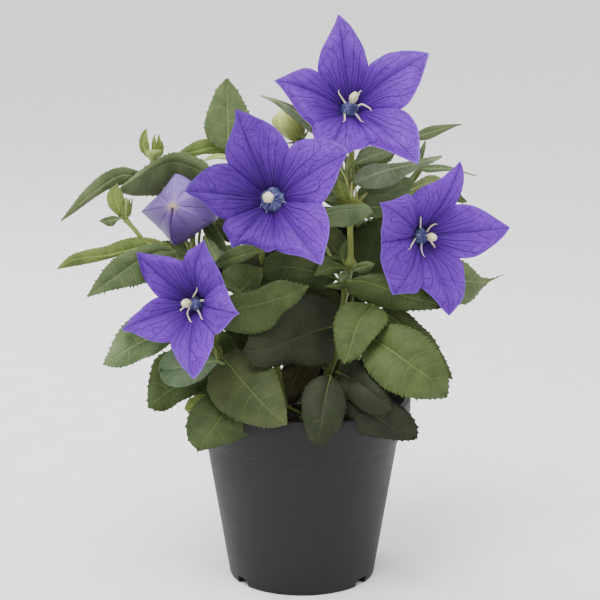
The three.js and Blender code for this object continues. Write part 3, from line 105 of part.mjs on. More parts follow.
 X1: {"M":[[24.3,8.0,123.3],[21.4,6.9,126.4],[18.5,6.0,129.4],[15.4,5.3,132.0],[12.0,4.7,134.2],[8.5,4.3,136.0],[4.7,4.1,137.4],[1.0,4.0,138.7]],"A":[[24.7,8.0,124.1],[22.8,7.3,128.2],[20.4,6.6,132.7],[17.0,6.0,136.4],[13.2,5.5,139.5],[8.9,5.2,141.8],[4.2,4.8,142.1],[1.1,4.0,138.9]],"B":[[23.9,8.0,122.5],[20.0,7.5,122.1],[15.6,7.0,123.2],[11.4,6.4,125.1],[7.6,5.8,127.8],[4.1,5.3,130.8],[0.9,4.8,134.2],[0.9,4.0,138.5]],"at":[24.3,16.0,116.0]},
 X2: {"M":[[-19.3,4.0,108.3],[-22.0,4.0,110.0],[-24.6,4.0,111.8],[-27.2,4.0,113.5],[-29.8,4.0,115.3],[-32.4,4.0,117.1],[-35.0,4.0,118.9],[-37.6,4.0,120.6]],"A":[[-19.1,4.0,109.2],[-20.7,4.3,111.8],[-22.3,4.6,115.1],[-25.0,4.7,117.7],[-27.9,4.7,120.0],[-31.1,4.7,121.8],[-34.4,4.5,122.2],[-37.5,4.0,120.9]],"B":[[-19.6,4.0,107.4],[-22.3,4.6,105.7],[-26.1,4.8,106.0],[-29.8,4.9,107.4],[-33.0,4.9,109.7],[-35.4,4.7,112.8],[-36.6,4.4,116.6],[-37.7,4.0,120.4]],"at":[-23.0,17.0,105.3]},
 X3: {"M":[[1.0,5.0,105.1],[-0.3,5.1,101.9],[-1.5,5.1,98.7],[-2.9,5.1,95.5],[-4.3,4.9,92.4],[-5.7,4.7,89.2],[-7.0,4.4,86.1],[-8.2,4.0,82.9]],"A":[[0.1,5.0,105.2],[-3.3,5.6,104.0],[-7.0,6.0,101.9],[-9.6,6.1,98.2],[-11.5,6.0,94.2],[-12.2,5.6,89.9],[-11.4,5.0,85.6],[-8.5,4.0,83.0]],"B":[[1.9,5.0,105.1],[5.7,6.0,103.4],[7.6,6.4,100.1],[6.0,6.3,95.1],[3.5,6.0,90.7],[0.3,5.6,86.7],[-3.5,5.0,83.3],[-8.0,4.0,82.8]],"at":[12.3,-2.1,100.2]},
 X4: {"M":[[-30.4,12.0,160.4],[-32.1,12.0,162.5],[-33.7,12.0,164.6],[-35.5,12.0,166.5],[-37.3,12.0,168.4],[-39.2,12.0,170.3],[-41.0,12.0,172.2],[-42.9,12.0,174.0]],"A":[[-29.8,12.0,161.1],[-29.9,12.4,163.9],[-30.1,12.6,167.1],[-32.2,12.7,170.0],[-34.5,12.7,172.6],[-37.0,12.7,175.0],[-39.8,12.5,175.5],[-42.7,12.0,174.2]],"B":[[-31.1,12.0,159.8],[-33.6,12.4,160.4],[-36.6,12.6,161.0],[-39.0,12.7,163.0],[-41.1,12.7,165.2],[-42.9,12.6,167.8],[-43.2,12.3,170.8],[-43.0,12.0,173.8]],"at":[-33.1,23.1,152.6]},
 X5: {"M":[[-22.0,5.0,149.2],[-19.8,5.0,151.4],[-17.6,5.0,153.6],[-15.2,5.0,155.5],[-12.6,5.0,157.2],[-9.9,5.0,158.7],[-7.1,5.0,160.0],[-4.3,5.0,161.3]],"A":[[-22.6,5.0,149.9],[-21.7,5.3,152.9],[-20.4,5.5,156.2],[-17.6,5.6,158.7],[-14.5,5.6,160.7],[-11.2,5.6,162.5],[-7.8,5.4,162.4],[-4.4,5.0,161.5]],"B":[[-21.4,5.0,148.6],[-18.6,5.3,149.5],[-15.2,5.6,150.2],[-12.0,5.7,151.6],[-8.8,5.8,153.2],[-5.8,5.8,155.0],[-4.4,5.5,157.8],[-4.1,5.0,161.1]],"at":[-18.1,-9.6,137.3]},
 X6: {"M":[[-41.8,-24.0,91.5],[-43.7,-24.6,91.2],[-45.5,-25.1,90.8],[-47.3,-25.7,90.4],[-49.1,-26.3,90.0],[-50.9,-26.9,89.4],[-52.6,-27.4,88.8],[-54.3,-28.0,88.2]],"A":[[-42.0,-24.0,92.3],[-43.6,-24.3,93.3],[-45.6,-24.6,94.3],[-48.1,-25.2,94.0],[-50.4,-25.7,93.4],[-52.5,-26.4,92.4],[-53.6,-27.1,90.4],[-54.4,-28.0,88.4]],"B":[[-41.7,-24.0,90.6],[-42.9,-24.3,89.4],[-44.2,-24.6,87.6],[-46.4,-25.2,86.8],[-48.5,-25.8,86.2],[-50.7,-26.3,85.7],[-52.7,-27.1,86.4],[-54.2,-28.0,87.9]],"at":[-33.4,-3.8,89.2]},
 X7: {"M":[[-41.2,-11.0,102.3],[-41.9,-11.6,100.4],[-42.7,-12.1,98.6],[-43.5,-12.7,96.7],[-44.2,-13.3,94.9],[-45.1,-13.9,93.0],[-46.1,-14.4,91.3],[-47.2,-15.0,89.7]],"A":[[-42.1,-11.0,102.4],[-44.0,-11.2,101.8],[-46.6,-11.5,100.9],[-48.4,-11.9,98.7],[-49.8,-12.4,96.3],[-50.4,-13.1,93.6],[-49.4,-14.0,91.4],[-47.4,-15.0,89.7]],"B":[[-40.3,-11.0,102.2],[-37.8,-11.0,101.1],[-35.6,-11.1,99.2],[-36.3,-11.7,95.8],[-38.0,-12.3,92.8],[-40.4,-13.1,90.6],[-43.7,-14.0,89.9],[-47.0,-15.0,89.6]],"at":[-41.2,-6.0,100.9]},
 X8: {"M":[[25.0,14.0,194.5],[27.5,13.8,196.4],[30.0,13.8,198.2],[32.8,13.9,199.7],[35.6,14.2,200.9],[38.6,14.6,202.0],[41.7,15.2,202.8],[44.8,16.0,203.5]],"A":[[24.5,14.0,195.3],[25.8,14.2,198.4],[27.2,14.4,201.8],[30.4,14.6,204.2],[33.9,14.9,205.8],[37.8,15.3,206.6],[41.4,15.6,205.6],[44.7,16.0,203.8]],"B":[[25.5,14.0,193.8],[28.4,14.1,194.3],[31.6,14.3,194.6],[34.9,14.6,195.5],[37.9,14.8,196.8],[40.8,15.2,198.5],[43.2,15.6,200.6],[44.8,16.0,203.3]],"at":[23.4,8.5,202.9]},
 X9: {"M":[[25.6,15.0,179.5],[28.3,15.6,181.4],[31.1,16.1,183.2],[34.0,16.7,184.7],[37.0,17.3,186.1],[40.1,17.9,187.1],[43.4,18.4,187.7],[46.6,19.0,188.4]],"A":[[25.2,15.0,180.3],[26.3,16.0,183.3],[27.9,16.8,186.6],[31.2,17.4,188.5],[35.0,17.9,189.7],[38.9,18.3,190.1],[42.7,18.7,189.4],[46.5,19.0,188.6]],"B":[[26.1,15.0,178.8],[29.2,15.9,178.8],[32.6,16.8,179.1],[36.1,17.4,180.1],[39.5,18.0,181.3],[42.8,18.6,182.7],[44.9,18.8,185.3],[46.7,19.0,188.2]],"at":[22.5,-3.7,181.9]},
 X10: {"M":[[21.7,12.0,177.9],[19.4,12.6,180.1],[17.3,13.1,182.3],[15.6,13.7,184.9],[14.1,14.3,187.7],[13.8,14.9,190.6],[14.1,15.4,193.7],[14.5,16.0,196.8]],"A":[[22.5,12.0,178.3],[23.1,13.1,180.9],[23.8,14.1,184.1],[22.9,14.8,187.4],[21.7,15.4,190.6],[20.2,15.9,193.7],[17.7,16.0,195.7],[14.7,16.0,196.9]],"B":[[20.9,12.0,177.4],[17.3,13.0,177.6],[13.3,13.9,178.5],[10.3,14.6,181.4],[9.2,15.1,185.3],[9.7,15.4,189.5],[11.9,15.8,193.2],[14.2,16.0,196.7]],"at":[22.5,-4.3,179.7]},
 X11: {"M":[[-33.3,9.0,201.8],[-35.3,8.7,202.1],[-37.3,8.4,202.4],[-39.3,8.1,202.4],[-41.3,7.9,202.2],[-43.2,7.6,201.8],[-45.1,7.3,201.0],[-47.0,7.0,200.2]],"A":[[-33.3,9.0,202.3],[-35.1,8.8,203.0],[-37.2,8.6,203.4],[-39.4,8.3,203.6],[-41.5,8.0,203.4],[-43.6,7.7,202.8],[-45.4,7.4,201.7],[-47.0,7.0,200.5]],"B":[[-33.3,9.0,201.3],[-35.1,8.9,200.8],[-37.0,8.7,200.8],[-39.0,8.3,201.1],[-41.0,8.0,201.2],[-43.0,7.7,200.8],[-45.0,7.4,200.4],[-46.9,7.0,200.0]],"at":[-34.5,21.1,187.1]},
 X12: {"M":[[57.4,22.0,196.9],[57.5,21.2,198.7],[57.7,20.6,200.5],[57.9,20.2,202.3],[58.3,19.9,204.0],[58.7,19.8,205.7],[59.2,19.8,207.4],[59.7,20.0,209.1]],"A":[[57.0,22.0,197.0],[56.9,21.3,198.8],[56.6,20.8,200.7],[56.6,20.4,202.5],[57.0,20.1,204.4],[57.6,19.9,206.1],[58.5,19.9,207.7],[59.5,20.0,209.2]],"B":[[57.8,22.0,196.8],[58.1,21.3,198.6],[58.7,20.8,200.3],[59.0,20.3,202.1],[59.4,20.0,203.8],[59.8,19.9,205.6],[59.9,19.9,207.3],[60.0,20.0,209.0]],"at":[56.9,20.1,195.5]},
 Y1: {"M":[[23.7,-1.0,190.4],[23.3,-0.9,192.2],[22.9,-0.7,194.1],[23.0,-0.3,195.9],[23.3,0.3,197.8],[24.1,1.0,199.4],[25.2,1.9,200.9],[26.4,3.0,202.3]],"A":[[24.2,-1.0,190.4],[23.8,-0.8,192.2],[23.9,-0.5,194.0],[24.1,-0.1,195.8],[24.3,0.5,197.5],[24.8,1.1,199.2],[25.6,2.0,200.8],[26.6,3.0,202.3]],"B":[[23.2,-1.0,190.4],[22.8,-0.8,192.2],[22.0,-0.5,194.1],[21.9,-0.1,196.0],[22.4,0.5,197.9],[23.3,1.1,199.6],[24.8,2.0,201.0],[26.1,3.0,202.4]],"at":[23.5,1.7,191.9]},
 Y2: {"M":[[22.6,0.0,189.9],[21.8,-1.0,192.1],[21.2,-1.6,194.3],[20.9,-2.0,196.5],[21.1,-2.0,198.8],[21.4,-1.6,201.0],[21.9,-1.0,203.2],[22.5,0.0,205.3]],"A":[[23.1,0.0,189.9],[22.3,-0.9,192.1],[22.0,-1.5,194.4],[21.9,-1.8,196.6],[22.0,-1.8,198.8],[22.1,-1.5,201.0],[22.3,-0.9,203.2],[22.7,-0.0,205.3]],"B":[[22.1,-0.0,189.8],[21.4,-0.9,192.0],[20.4,-1.5,194.2],[19.9,-1.8,196.4],[20.2,-1.8,198.8],[20.6,-1.5,201.0],[21.5,-0.9,203.2],[22.2,0.0,205.3]],"at":[23.5,1.3,191.3]},
 Y3: {"M":[[22.4,0.0,188.9],[21.1,-1.3,191.2],[19.9,-2.2,193.4],[19.0,-2.8,195.7],[18.4,-3.1,198.0],[18.3,-3.1,200.3],[18.9,-2.7,202.7],[19.6,-2.0,204.9]],"A":[[22.8,-0.0,189.1],[21.6,-1.2,191.3],[20.8,-2.1,193.6],[20.1,-2.7,195.8],[19.3,-3.0,198.1],[19.1,-3.0,200.4],[19.3,-2.6,202.7],[19.9,-2.0,204.9]],"B":[[21.9,0.0,188.8],[20.7,-1.2,191.0],[19.1,-2.1,193.1],[18.0,-2.7,195.4],[17.4,-3.0,197.9],[17.6,-3.0,200.3],[18.5,-2.6,202.7],[19.4,-2.0,204.9]],"at":[23.4,1.0,190.6]},
 Y4: {"M":[[22.6,-1.0,187.1],[22.0,-2.0,188.7],[21.5,-2.8,190.3],[20.9,-3.6,191.8],[20.1,-4.3,193.3],[19.4,-5.0,194.8],[18.5,-5.5,196.2],[17.6,-6.0,197.5]],"A":[[23.0,-1.0,187.3],[22.2,-1.9,188.8],[21.9,-2.8,190.5],[21.4,-3.5,192.1],[20.7,-4.3,193.6],[19.8,-4.9,195.0],[18.8,-5.5,196.3],[17.9,-6.0,197.6]],"B":[[22.1,-1.0,186.9],[21.8,-1.9,188.6],[21.0,-2.8,190.1],[20.3,-3.5,191.6],[19.6,-4.3,193.1],[18.9,-4.9,194.5],[18.3,-5.5,196.0],[17.4,-6.0,197.4]],"at":[23.3,0.2,189.2]},
 Y5: {"M":[[24.5,0.0,188.0],[25.3,1.1,189.6],[26.0,2.0,191.3],[26.5,2.7,193.1],[26.6,3.3,194.9],[26.5,3.7,196.8],[26.1,3.9,198.6],[25.5,4.0,200.4]],"A":[[25.0,-0.0,187.9],[25.6,1.1,189.5],[26.8,2.1,191.1],[27.4,2.8,192.9],[27.4,3.4,194.9],[27.2,3.8,196.8],[26.4,4.0,198.6],[25.8,4.0,200.4]],"B":[[24.0,0.0,188.1],[24.9,1.1,189.7],[25.3,2.1,191.4],[25.6,2.8,193.2],[25.8,3.4,195.0],[25.9,3.8,196.8],[25.7,4.0,198.6],[25.2,4.0,200.4]],"at":[23.3,0.6,189.9]},
 Y6: {"M":[[23.7,4.0,193.3],[22.8,4.6,195.3],[22.0,5.1,197.4],[21.2,5.7,199.4],[20.7,6.3,201.6],[19.9,6.9,203.6],[18.8,7.4,205.4],[17.6,8.0,207.2]],"A":[[24.1,4.0,193.5],[23.2,4.6,195.5],[22.8,5.3,197.7],[22.2,5.9,199.9],[21.6,6.4,202.0],[20.6,7.0,204.0],[19.1,7.5,205.6],[17.8,8.0,207.4]],"B":[[23.2,4.0,193.1],[22.4,4.6,195.2],[21.2,5.3,197.0],[20.3,5.9,198.9],[19.8,6.4,201.1],[19.3,7.0,203.2],[18.4,7.5,205.2],[17.3,8.0,207.1]],"at":[23.5,4.5,196.5]},
 Y7: {"M":[[22.1,-3.0,179.3],[21.0,-4.2,180.2],[20.0,-5.4,181.1],[19.1,-6.5,182.1],[18.3,-7.5,183.1],[17.5,-8.4,184.2],[16.9,-9.2,185.3],[16.2,-10.0,186.5]],"A":[[22.4,-3.0,179.7],[21.3,-4.2,180.4],[20.5,-5.3,181.5],[19.6,-6.4,182.5],[18.8,-7.4,183.5],[17.9,-8.3,184.5],[17.1,-9.2,185.5],[16.4,-10.0,186.6]],"B":[[21.7,-3.0,178.9],[20.8,-4.2,180.0],[19.6,-5.3,180.7],[18.6,-6.4,181.6],[17.8,-7.4,182.7],[17.1,-8.3,183.9],[16.6,-9.2,185.2],[16.0,-10.0,186.3]],"at":[22.5,-4.1,180.8]},
 Y8: {"M":[[23.5,-3.0,179.3],[24.4,-4.0,180.3],[25.4,-4.8,181.3],[26.4,-5.6,182.3],[27.4,-6.3,183.3],[28.3,-7.0,184.3],[29.3,-7.5,185.3],[30.2,-8.0,186.3]],"A":[[23.8,-3.0,178.9],[24.7,-3.9,180.0],[25.9,-4.7,180.8],[27.1,-5.5,181.6],[28.0,-6.2,182.6],[28.9,-6.9,183.8],[29.6,-7.5,185.0],[30.4,-8.0,186.1]],"B":[[23.1,-3.0,179.7],[24.2,-3.9,180.6],[24.9,-4.7,181.9],[25.7,-5.5,183.0],[26.7,-6.2,184.0],[27.8,-6.9,184.9],[29.0,-7.5,185.6],[30.0,-8.0,186.5]],"at":[22.5,-4.1,180.8]},
 Y9: {"M":[[23.7,-4.0,179.9],[24.2,-4.9,181.2],[24.8,-5.5,182.4],[25.2,-5.9,183.7],[25.3,-6.0,185.0],[25.3,-5.9,186.3],[25.0,-5.6,187.6],[24.7,-5.0,188.8]],"A":[[24.1,-4.0,179.8],[24.6,-4.8,181.1],[25.4,-5.4,182.2],[26.1,-5.8,183.5],[26.1,-5.9,184.9],[25.9,-5.8,186.3],[25.4,-5.5,187.6],[25.0,-5.0,188.8]],"B":[[23.2,-4.0,180.0],[23.9,-4.8,181.2],[24.1,-5.4,182.5],[24.4,-5.8,183.8],[24.5,-5.9,185.1],[24.7,-5.8,186.3],[24.7,-5.5,187.6],[24.5,-5.0,188.8]],"at":[22.5,-4.0,181.2]},
 Y10: {"M":[[22.4,-5.0,180.0],[22.8,-5.9,181.6],[23.1,-6.5,183.3],[23.1,-6.9,184.9],[22.9,-7.0,186.5],[22.9,-6.9,188.1],[23.1,-6.6,189.7],[23.3,-6.0,191.2]],"A":[[22.9,-5.0,179.9],[23.2,-5.8,181.5],[23.8,-6.4,183.1],[24.0,-6.8,184.7],[23.7,-6.9,186.3],[23.5,-6.8,188.0],[23.4,-6.5,189.6],[23.5,-6.0,191.2]],"B":[[22.0,-5.0,180.1],[22.4,-5.8,181.7],[22.4,-6.4,183.3],[22.3,-6.8,185.0],[22.1,-6.9,186.6],[22.3,-6.8,188.2],[22.8,-6.5,189.8],[23.0,-6.0,191.3]],"at":[22.5,-4.2,180.5]},
 X13: {"M":[[34.7,17.0,157.9],[31.6,16.3,159.7],[28.5,15.7,161.5],[25.5,15.2,163.3],[22.4,14.8,165.1],[19.3,14.4,166.4],[15.9,14.2,167.5],[12.6,14.0,168.5]],"A":[[35.0,17.0,158.7],[32.2,16.6,161.3],[29.8,16.2,164.7],[26.8,15.8,167.4],[23.2,15.4,169.5],[19.3,15.1,170.9],[15.6,14.7,171.0],[12.7,14.0,168.7]],"B":[[34.4,17.0,157.0],[30.9,16.6,157.5],[27.1,16.3,157.3],[23.6,15.9,158.6],[20.3,15.5,160.5],[17.0,15.1,162.6],[14.2,14.6,165.0],[12.6,14.0,168.2]],"at":[38.3,21.0,158.3]},
 X14: {"M":[[30.0,15.0,125.5],[28.0,14.7,127.7],[26.1,14.4,129.9],[23.9,14.1,131.8],[21.6,13.9,133.7],[19.3,13.6,135.4],[17.0,13.3,137.1],[14.7,13.0,138.7]],"A":[[30.6,15.0,126.1],[30.5,15.1,129.0],[29.3,15.0,132.1],[26.8,14.7,134.7],[24.0,14.4,137.0],[21.0,14.1,139.1],[17.9,13.7,140.0],[14.8,13.0,138.9]],"B":[[29.3,15.0,125.0],[26.8,15.0,126.0],[23.7,15.0,126.8],[20.9,14.8,128.4],[18.3,14.5,130.4],[15.9,14.2,132.6],[14.8,13.7,135.4],[14.5,13.0,138.5]],"at":[27.0,17.0,123.9]},
 X15: {"M":[[16.3,13.0,93.8],[14.8,13.0,95.2],[13.2,13.0,96.5],[11.7,13.0,98.0],[10.3,13.0,99.5],[8.8,13.0,100.9],[7.4,13.0,102.4],[5.9,13.0,103.9]],"A":[[16.9,13.0,94.5],[16.1,13.2,96.3],[15.7,13.5,98.7],[14.4,13.5,100.7],[12.6,13.5,102.4],[10.5,13.5,103.9],[8.3,13.3,104.5],[6.1,13.0,104.1]],"B":[[15.7,13.0,93.2],[13.8,13.2,93.8],[11.2,13.4,93.9],[9.0,13.6,94.9],[7.1,13.6,96.7],[5.8,13.5,98.9],[5.2,13.3,101.4],[5.8,13.0,103.7]],"at":[14.1,16.0,89.8]},
 X16: {"M":[[23.8,15.0,94.9],[25.4,14.9,96.8],[27.0,14.9,98.7],[28.8,14.9,100.4],[30.6,15.1,102.0],[32.5,15.3,103.5],[34.6,15.6,104.9],[36.6,16.0,106.3]],"A":[[23.2,15.0,95.6],[24.5,15.1,97.7],[25.4,15.2,100.3],[27.1,15.3,102.5],[29.1,15.5,104.5],[31.4,15.7,106.1],[33.9,15.9,107.0],[36.5,16.0,106.5]],"B":[[24.3,15.0,94.2],[26.5,15.2,95.1],[29.2,15.4,95.5],[31.3,15.5,96.9],[33.2,15.6,98.9],[34.8,15.7,101.2],[36.1,15.9,103.6],[36.7,16.0,106.1]],"at":[18.2,16.0,100.3]},
};
// A flower: base point, axis towards the open side, and the margin of the five fused petals.
const FLOWERS = {
 F1: {"P0":[22.4,0.3,221.9],"n":[-0.0502,-0.8634,0.502],"Q":[[16.6,2.1,268.3],[18.9,1.6,266.5],[22.1,0.3,263.5],[24.4,-1.0,260.3],[26.6,-2.6,256.6],[28.4,-4.2,253.0],[29.3,-5.4,249.8],[30.6,-7.7,244.8],[31.5,-7.3,246.6],[32.9,-7.5,247.5],[35.6,-7.3,249.1],[38.8,-7.1,250.7],[43.4,-7.5,251.5],[48.3,-8.2,251.7],[53.7,-9.4,251.3],[57.9,-10.7,250.3],[57.2,-11.5,247.9],[55.7,-13.3,243.4],[53.8,-15.7,238.0],[51.4,-17.7,233.1],[48.6,-19.5,228.7],[46.3,-20.0,226.5],[44.1,-19.8,225.4],[45.8,-20.9,224.7],[48.0,-22.6,223.0],[50.0,-24.8,220.3],[51.6,-27.5,216.9],[52.1,-30.4,213.0],[52.1,-33.6,208.3],[51.9,-36.2,205.0],[50.9,-38.4,202.0],[47.5,-36.7,203.2],[43.2,-34.6,205.1],[38.9,-32.4,207.2],[35.9,-30.7,208.4],[32.9,-29.3,209.2],[30.3,-27.8,210.3],[27.1,-29.5,208.6],[23.5,-30.7,207.8],[19.9,-32.4,206.1],[15.9,-34.3,204.0],[11.0,-36.2,201.9],[8.8,-33.4,204.8],[7.1,-30.4,208.2],[5.8,-27.7,211.2],[4.9,-25.0,214.2],[4.5,-21.8,218.0],[2.7,-21.3,219.8],[0.4,-20.8,221.6],[-1.8,-19.8,224.2],[-4.1,-18.5,227.3],[-6.8,-16.7,231.3],[-9.5,-15.1,234.9],[-12.7,-13.7,238.2],[-8.2,-12.1,240.3],[-4.6,-10.6,242.1],[-0.9,-9.3,243.4],[1.3,-8.6,243.9],[3.6,-8.2,243.7],[5.5,-8.0,243.0],[7.3,-8.1,241.9],[7.1,-7.2,244.4],[7.8,-5.5,248.4],[9.2,-3.7,252.5],[11.5,-2.0,256.6],[13.3,-0.6,260.3],[15.2,0.8,264.0],[16.1,1.8,266.7]],"flags":["T","","","","","","","S","","","","","","","","T","","","","","","","S","","","","","","","","T","","","","","","S","","","","","T","","","","","S","","","","","","","T","","","","","","","S","","","","","","",""]},
 F2: {"P0":[-12.0,-27.2,184.1],"n":[-0.2,-0.9548,0.22],"Q":[[-29.7,-34.8,225.8],[-27.3,-35.0,225.0],[-23.3,-35.7,223.5],[-19.8,-36.4,221.8],[-16.3,-37.0,220.2],[-12.8,-37.8,218.1],[-9.7,-38.6,215.1],[-7.5,-39.3,212.1],[-6.0,-39.9,208.9],[-4.4,-40.2,210.6],[-2.2,-40.8,211.9],[0.4,-41.6,212.8],[3.4,-42.6,213.1],[7.7,-43.9,213.2],[12.0,-45.4,212.3],[15.4,-46.8,211.1],[18.4,-48.2,209.5],[19.5,-49.3,207.4],[18.4,-49.1,204.8],[16.3,-49.0,200.5],[14.6,-49.2,195.4],[12.5,-49.1,191.1],[10.8,-48.8,188.0],[8.4,-48.3,185.3],[9.0,-49.2,184.1],[10.3,-50.5,181.7],[11.4,-52.0,178.3],[11.6,-53.4,174.6],[11.1,-54.6,170.8],[9.8,-56.0,165.8],[8.9,-57.2,161.6],[8.1,-58.0,159.6],[5.5,-56.7,160.5],[2.5,-55.2,161.8],[-0.9,-53.7,162.9],[-4.0,-52.5,163.2],[-7.5,-51.1,163.6],[-9.6,-49.9,164.4],[-12.1,-48.6,165.3],[-14.9,-48.9,164.2],[-18.4,-48.7,164.7],[-22.8,-48.1,166.1],[-25.8,-47.9,167.2],[-28.4,-48.1,166.5],[-30.4,-48.5,165.7],[-31.1,-47.5,166.5],[-32.0,-46.2,168.9],[-33.8,-44.5,171.8],[-35.0,-43.2,173.4],[-34.8,-42.2,175.5],[-34.0,-41.3,177.4],[-36.6,-41.0,178.5],[-39.2,-40.6,180.2],[-41.5,-40.1,182.8],[-43.6,-39.7,185.0],[-46.3,-39.2,186.7],[-49.4,-38.8,188.0],[-52.1,-38.4,189.7],[-50.3,-37.6,192.8],[-48.6,-37.0,194.5],[-45.1,-36.4,197.7],[-41.5,-36.1,200.1],[-38.4,-35.9,201.4],[-34.5,-36.1,201.9],[-32.2,-36.0,201.7],[-33.3,-36.0,202.8],[-34.0,-35.7,205.8],[-33.8,-35.4,209.3],[-32.6,-35.3,212.8],[-31.3,-35.2,216.3],[-30.1,-35.1,219.8],[-29.7,-34.9,223.2]],"flags":["T","","","","","","","","S","","","","","","","","","T","","","","","","S","","","","","","","","T","","","","","","","S","","","","","","T","","","","","","S","","","","","","","T","","","","","","","S","","","","","","",""]},
 F3: {"P0":[-44.2,-32.8,137.9],"n":[-0.5011,-0.8419,0.2004],"Q":[[-74.2,-35.3,162.2],[-70.9,-36.6,161.9],[-66.7,-38.4,161.5],[-63.0,-39.9,161.3],[-58.4,-41.9,160.9],[-54.7,-43.6,159.8],[-51.7,-44.8,158.6],[-51.7,-45.0,162.2],[-50.4,-46.1,164.5],[-48.5,-47.9,165.6],[-45.7,-50.0,167.9],[-42.9,-52.1,169.9],[-42.5,-52.0,167.9],[-41.2,-52.6,165.4],[-39.4,-53.6,162.4],[-37.2,-55.0,158.7],[-35.5,-56.0,155.8],[-34.4,-56.7,152.0],[-33.6,-58.5,150.5],[-32.7,-60.3,149.1],[-31.3,-62.9,145.6],[-29.5,-65.8,142.2],[-27.4,-68.4,140.3],[-29.9,-66.6,138.4],[-31.7,-65.3,136.0],[-33.5,-64.0,133.6],[-35.3,-62.7,131.4],[-37.1,-61.1,130.0],[-38.5,-59.5,129.9],[-38.3,-60.8,128.2],[-38.4,-62.0,125.3],[-39.3,-62.8,122.9],[-41.0,-63.4,119.0],[-43.2,-63.7,115.1],[-45.4,-63.8,112.1],[-47.1,-63.8,110.5],[-49.5,-61.1,112.3],[-52.3,-58.2,114.3],[-55.2,-55.0,117.2],[-57.1,-52.3,120.2],[-58.6,-50.1,122.5],[-58.5,-49.0,124.2],[-61.5,-48.1,123.6],[-64.7,-47.0,123.6],[-68.4,-45.5,124.2],[-72.6,-43.4,125.6],[-76.9,-41.3,127.0],[-81.1,-39.5,127.3],[-80.8,-38.8,128.3],[-78.9,-38.7,130.6],[-76.6,-38.6,133.8],[-73.8,-39.0,136.1],[-71.1,-39.4,138.9],[-67.8,-40.1,141.3],[-64.6,-41.0,142.8],[-66.9,-39.8,144.9],[-68.7,-38.8,147.0],[-70.6,-37.7,149.9],[-72.0,-36.8,153.0],[-72.9,-36.2,156.1],[-73.8,-35.6,159.1]],"flags":["T","","","","","","S","","","","","T","","","","","","S","","","","","T","","","","","","S","","","","","","","T","","","","","","S","","","","","","T","","","","","","","S","","","","","",""]},
 F4: {"P0":[52.4,-4.8,165.7],"n":[0.5225,-0.8441,0.1206],"Q":[[72.7,-13.3,201.4],[74.0,-12.1,198.6],[74.9,-11.3,194.4],[74.8,-11.1,190.7],[73.4,-11.7,187.1],[72.0,-12.2,184.3],[71.1,-12.4,181.1],[74.5,-10.9,181.4],[78.0,-9.5,181.1],[81.9,-7.9,180.0],[86.4,-6.1,177.7],[90.5,-4.7,175.2],[95.0,-2.9,172.2],[99.1,-1.5,169.5],[96.1,-3.1,166.1],[93.1,-4.7,163.4],[89.1,-6.9,160.9],[84.6,-9.3,158.4],[81.1,-11.0,156.9],[77.2,-12.9,156.5],[73.2,-14.6,156.6],[74.7,-14.7,153.9],[75.6,-15.2,150.3],[76.0,-16.3,145.3],[75.7,-17.6,141.3],[74.4,-19.5,137.8],[71.8,-22.1,135.0],[69.3,-24.6,132.6],[67.7,-26.3,131.5],[64.4,-27.0,134.9],[62.0,-27.0,138.2],[59.2,-27.4,141.0],[55.9,-28.1,143.9],[53.8,-28.2,145.7],[53.5,-29.6,144.1],[52.0,-31.6,143.1],[47.6,-35.2,143.4],[43.7,-38.5,143.7],[41.1,-41.1,143.7],[40.0,-40.7,146.4],[38.6,-40.3,150.3],[36.8,-40.1,154.8],[35.5,-39.6,159.2],[35.5,-38.5,162.7],[35.8,-37.2,165.2],[35.8,-36.3,166.6],[35.5,-37.0,168.7],[35.2,-37.5,172.3],[35.9,-37.3,175.9],[35.8,-37.6,179.9],[34.8,-38.5,183.1],[34.1,-39.5,184.8],[36.7,-37.2,184.8],[40.4,-34.0,185.4],[43.8,-31.0,186.2],[46.2,-28.6,187.1],[48.1,-26.5,187.4],[50.6,-24.4,186.3],[53.4,-23.0,189.1],[58.1,-20.6,191.4],[62.9,-18.1,193.3],[66.7,-16.1,196.1],[70.0,-14.5,198.8]],"flags":["T","","","","","","S","","","","","","","T","","","","","","","S","","","","","","","","T","","","","","S","","","","","T","","","","","","","S","","","","","","T","","","","","","S","","","","",""]},
};
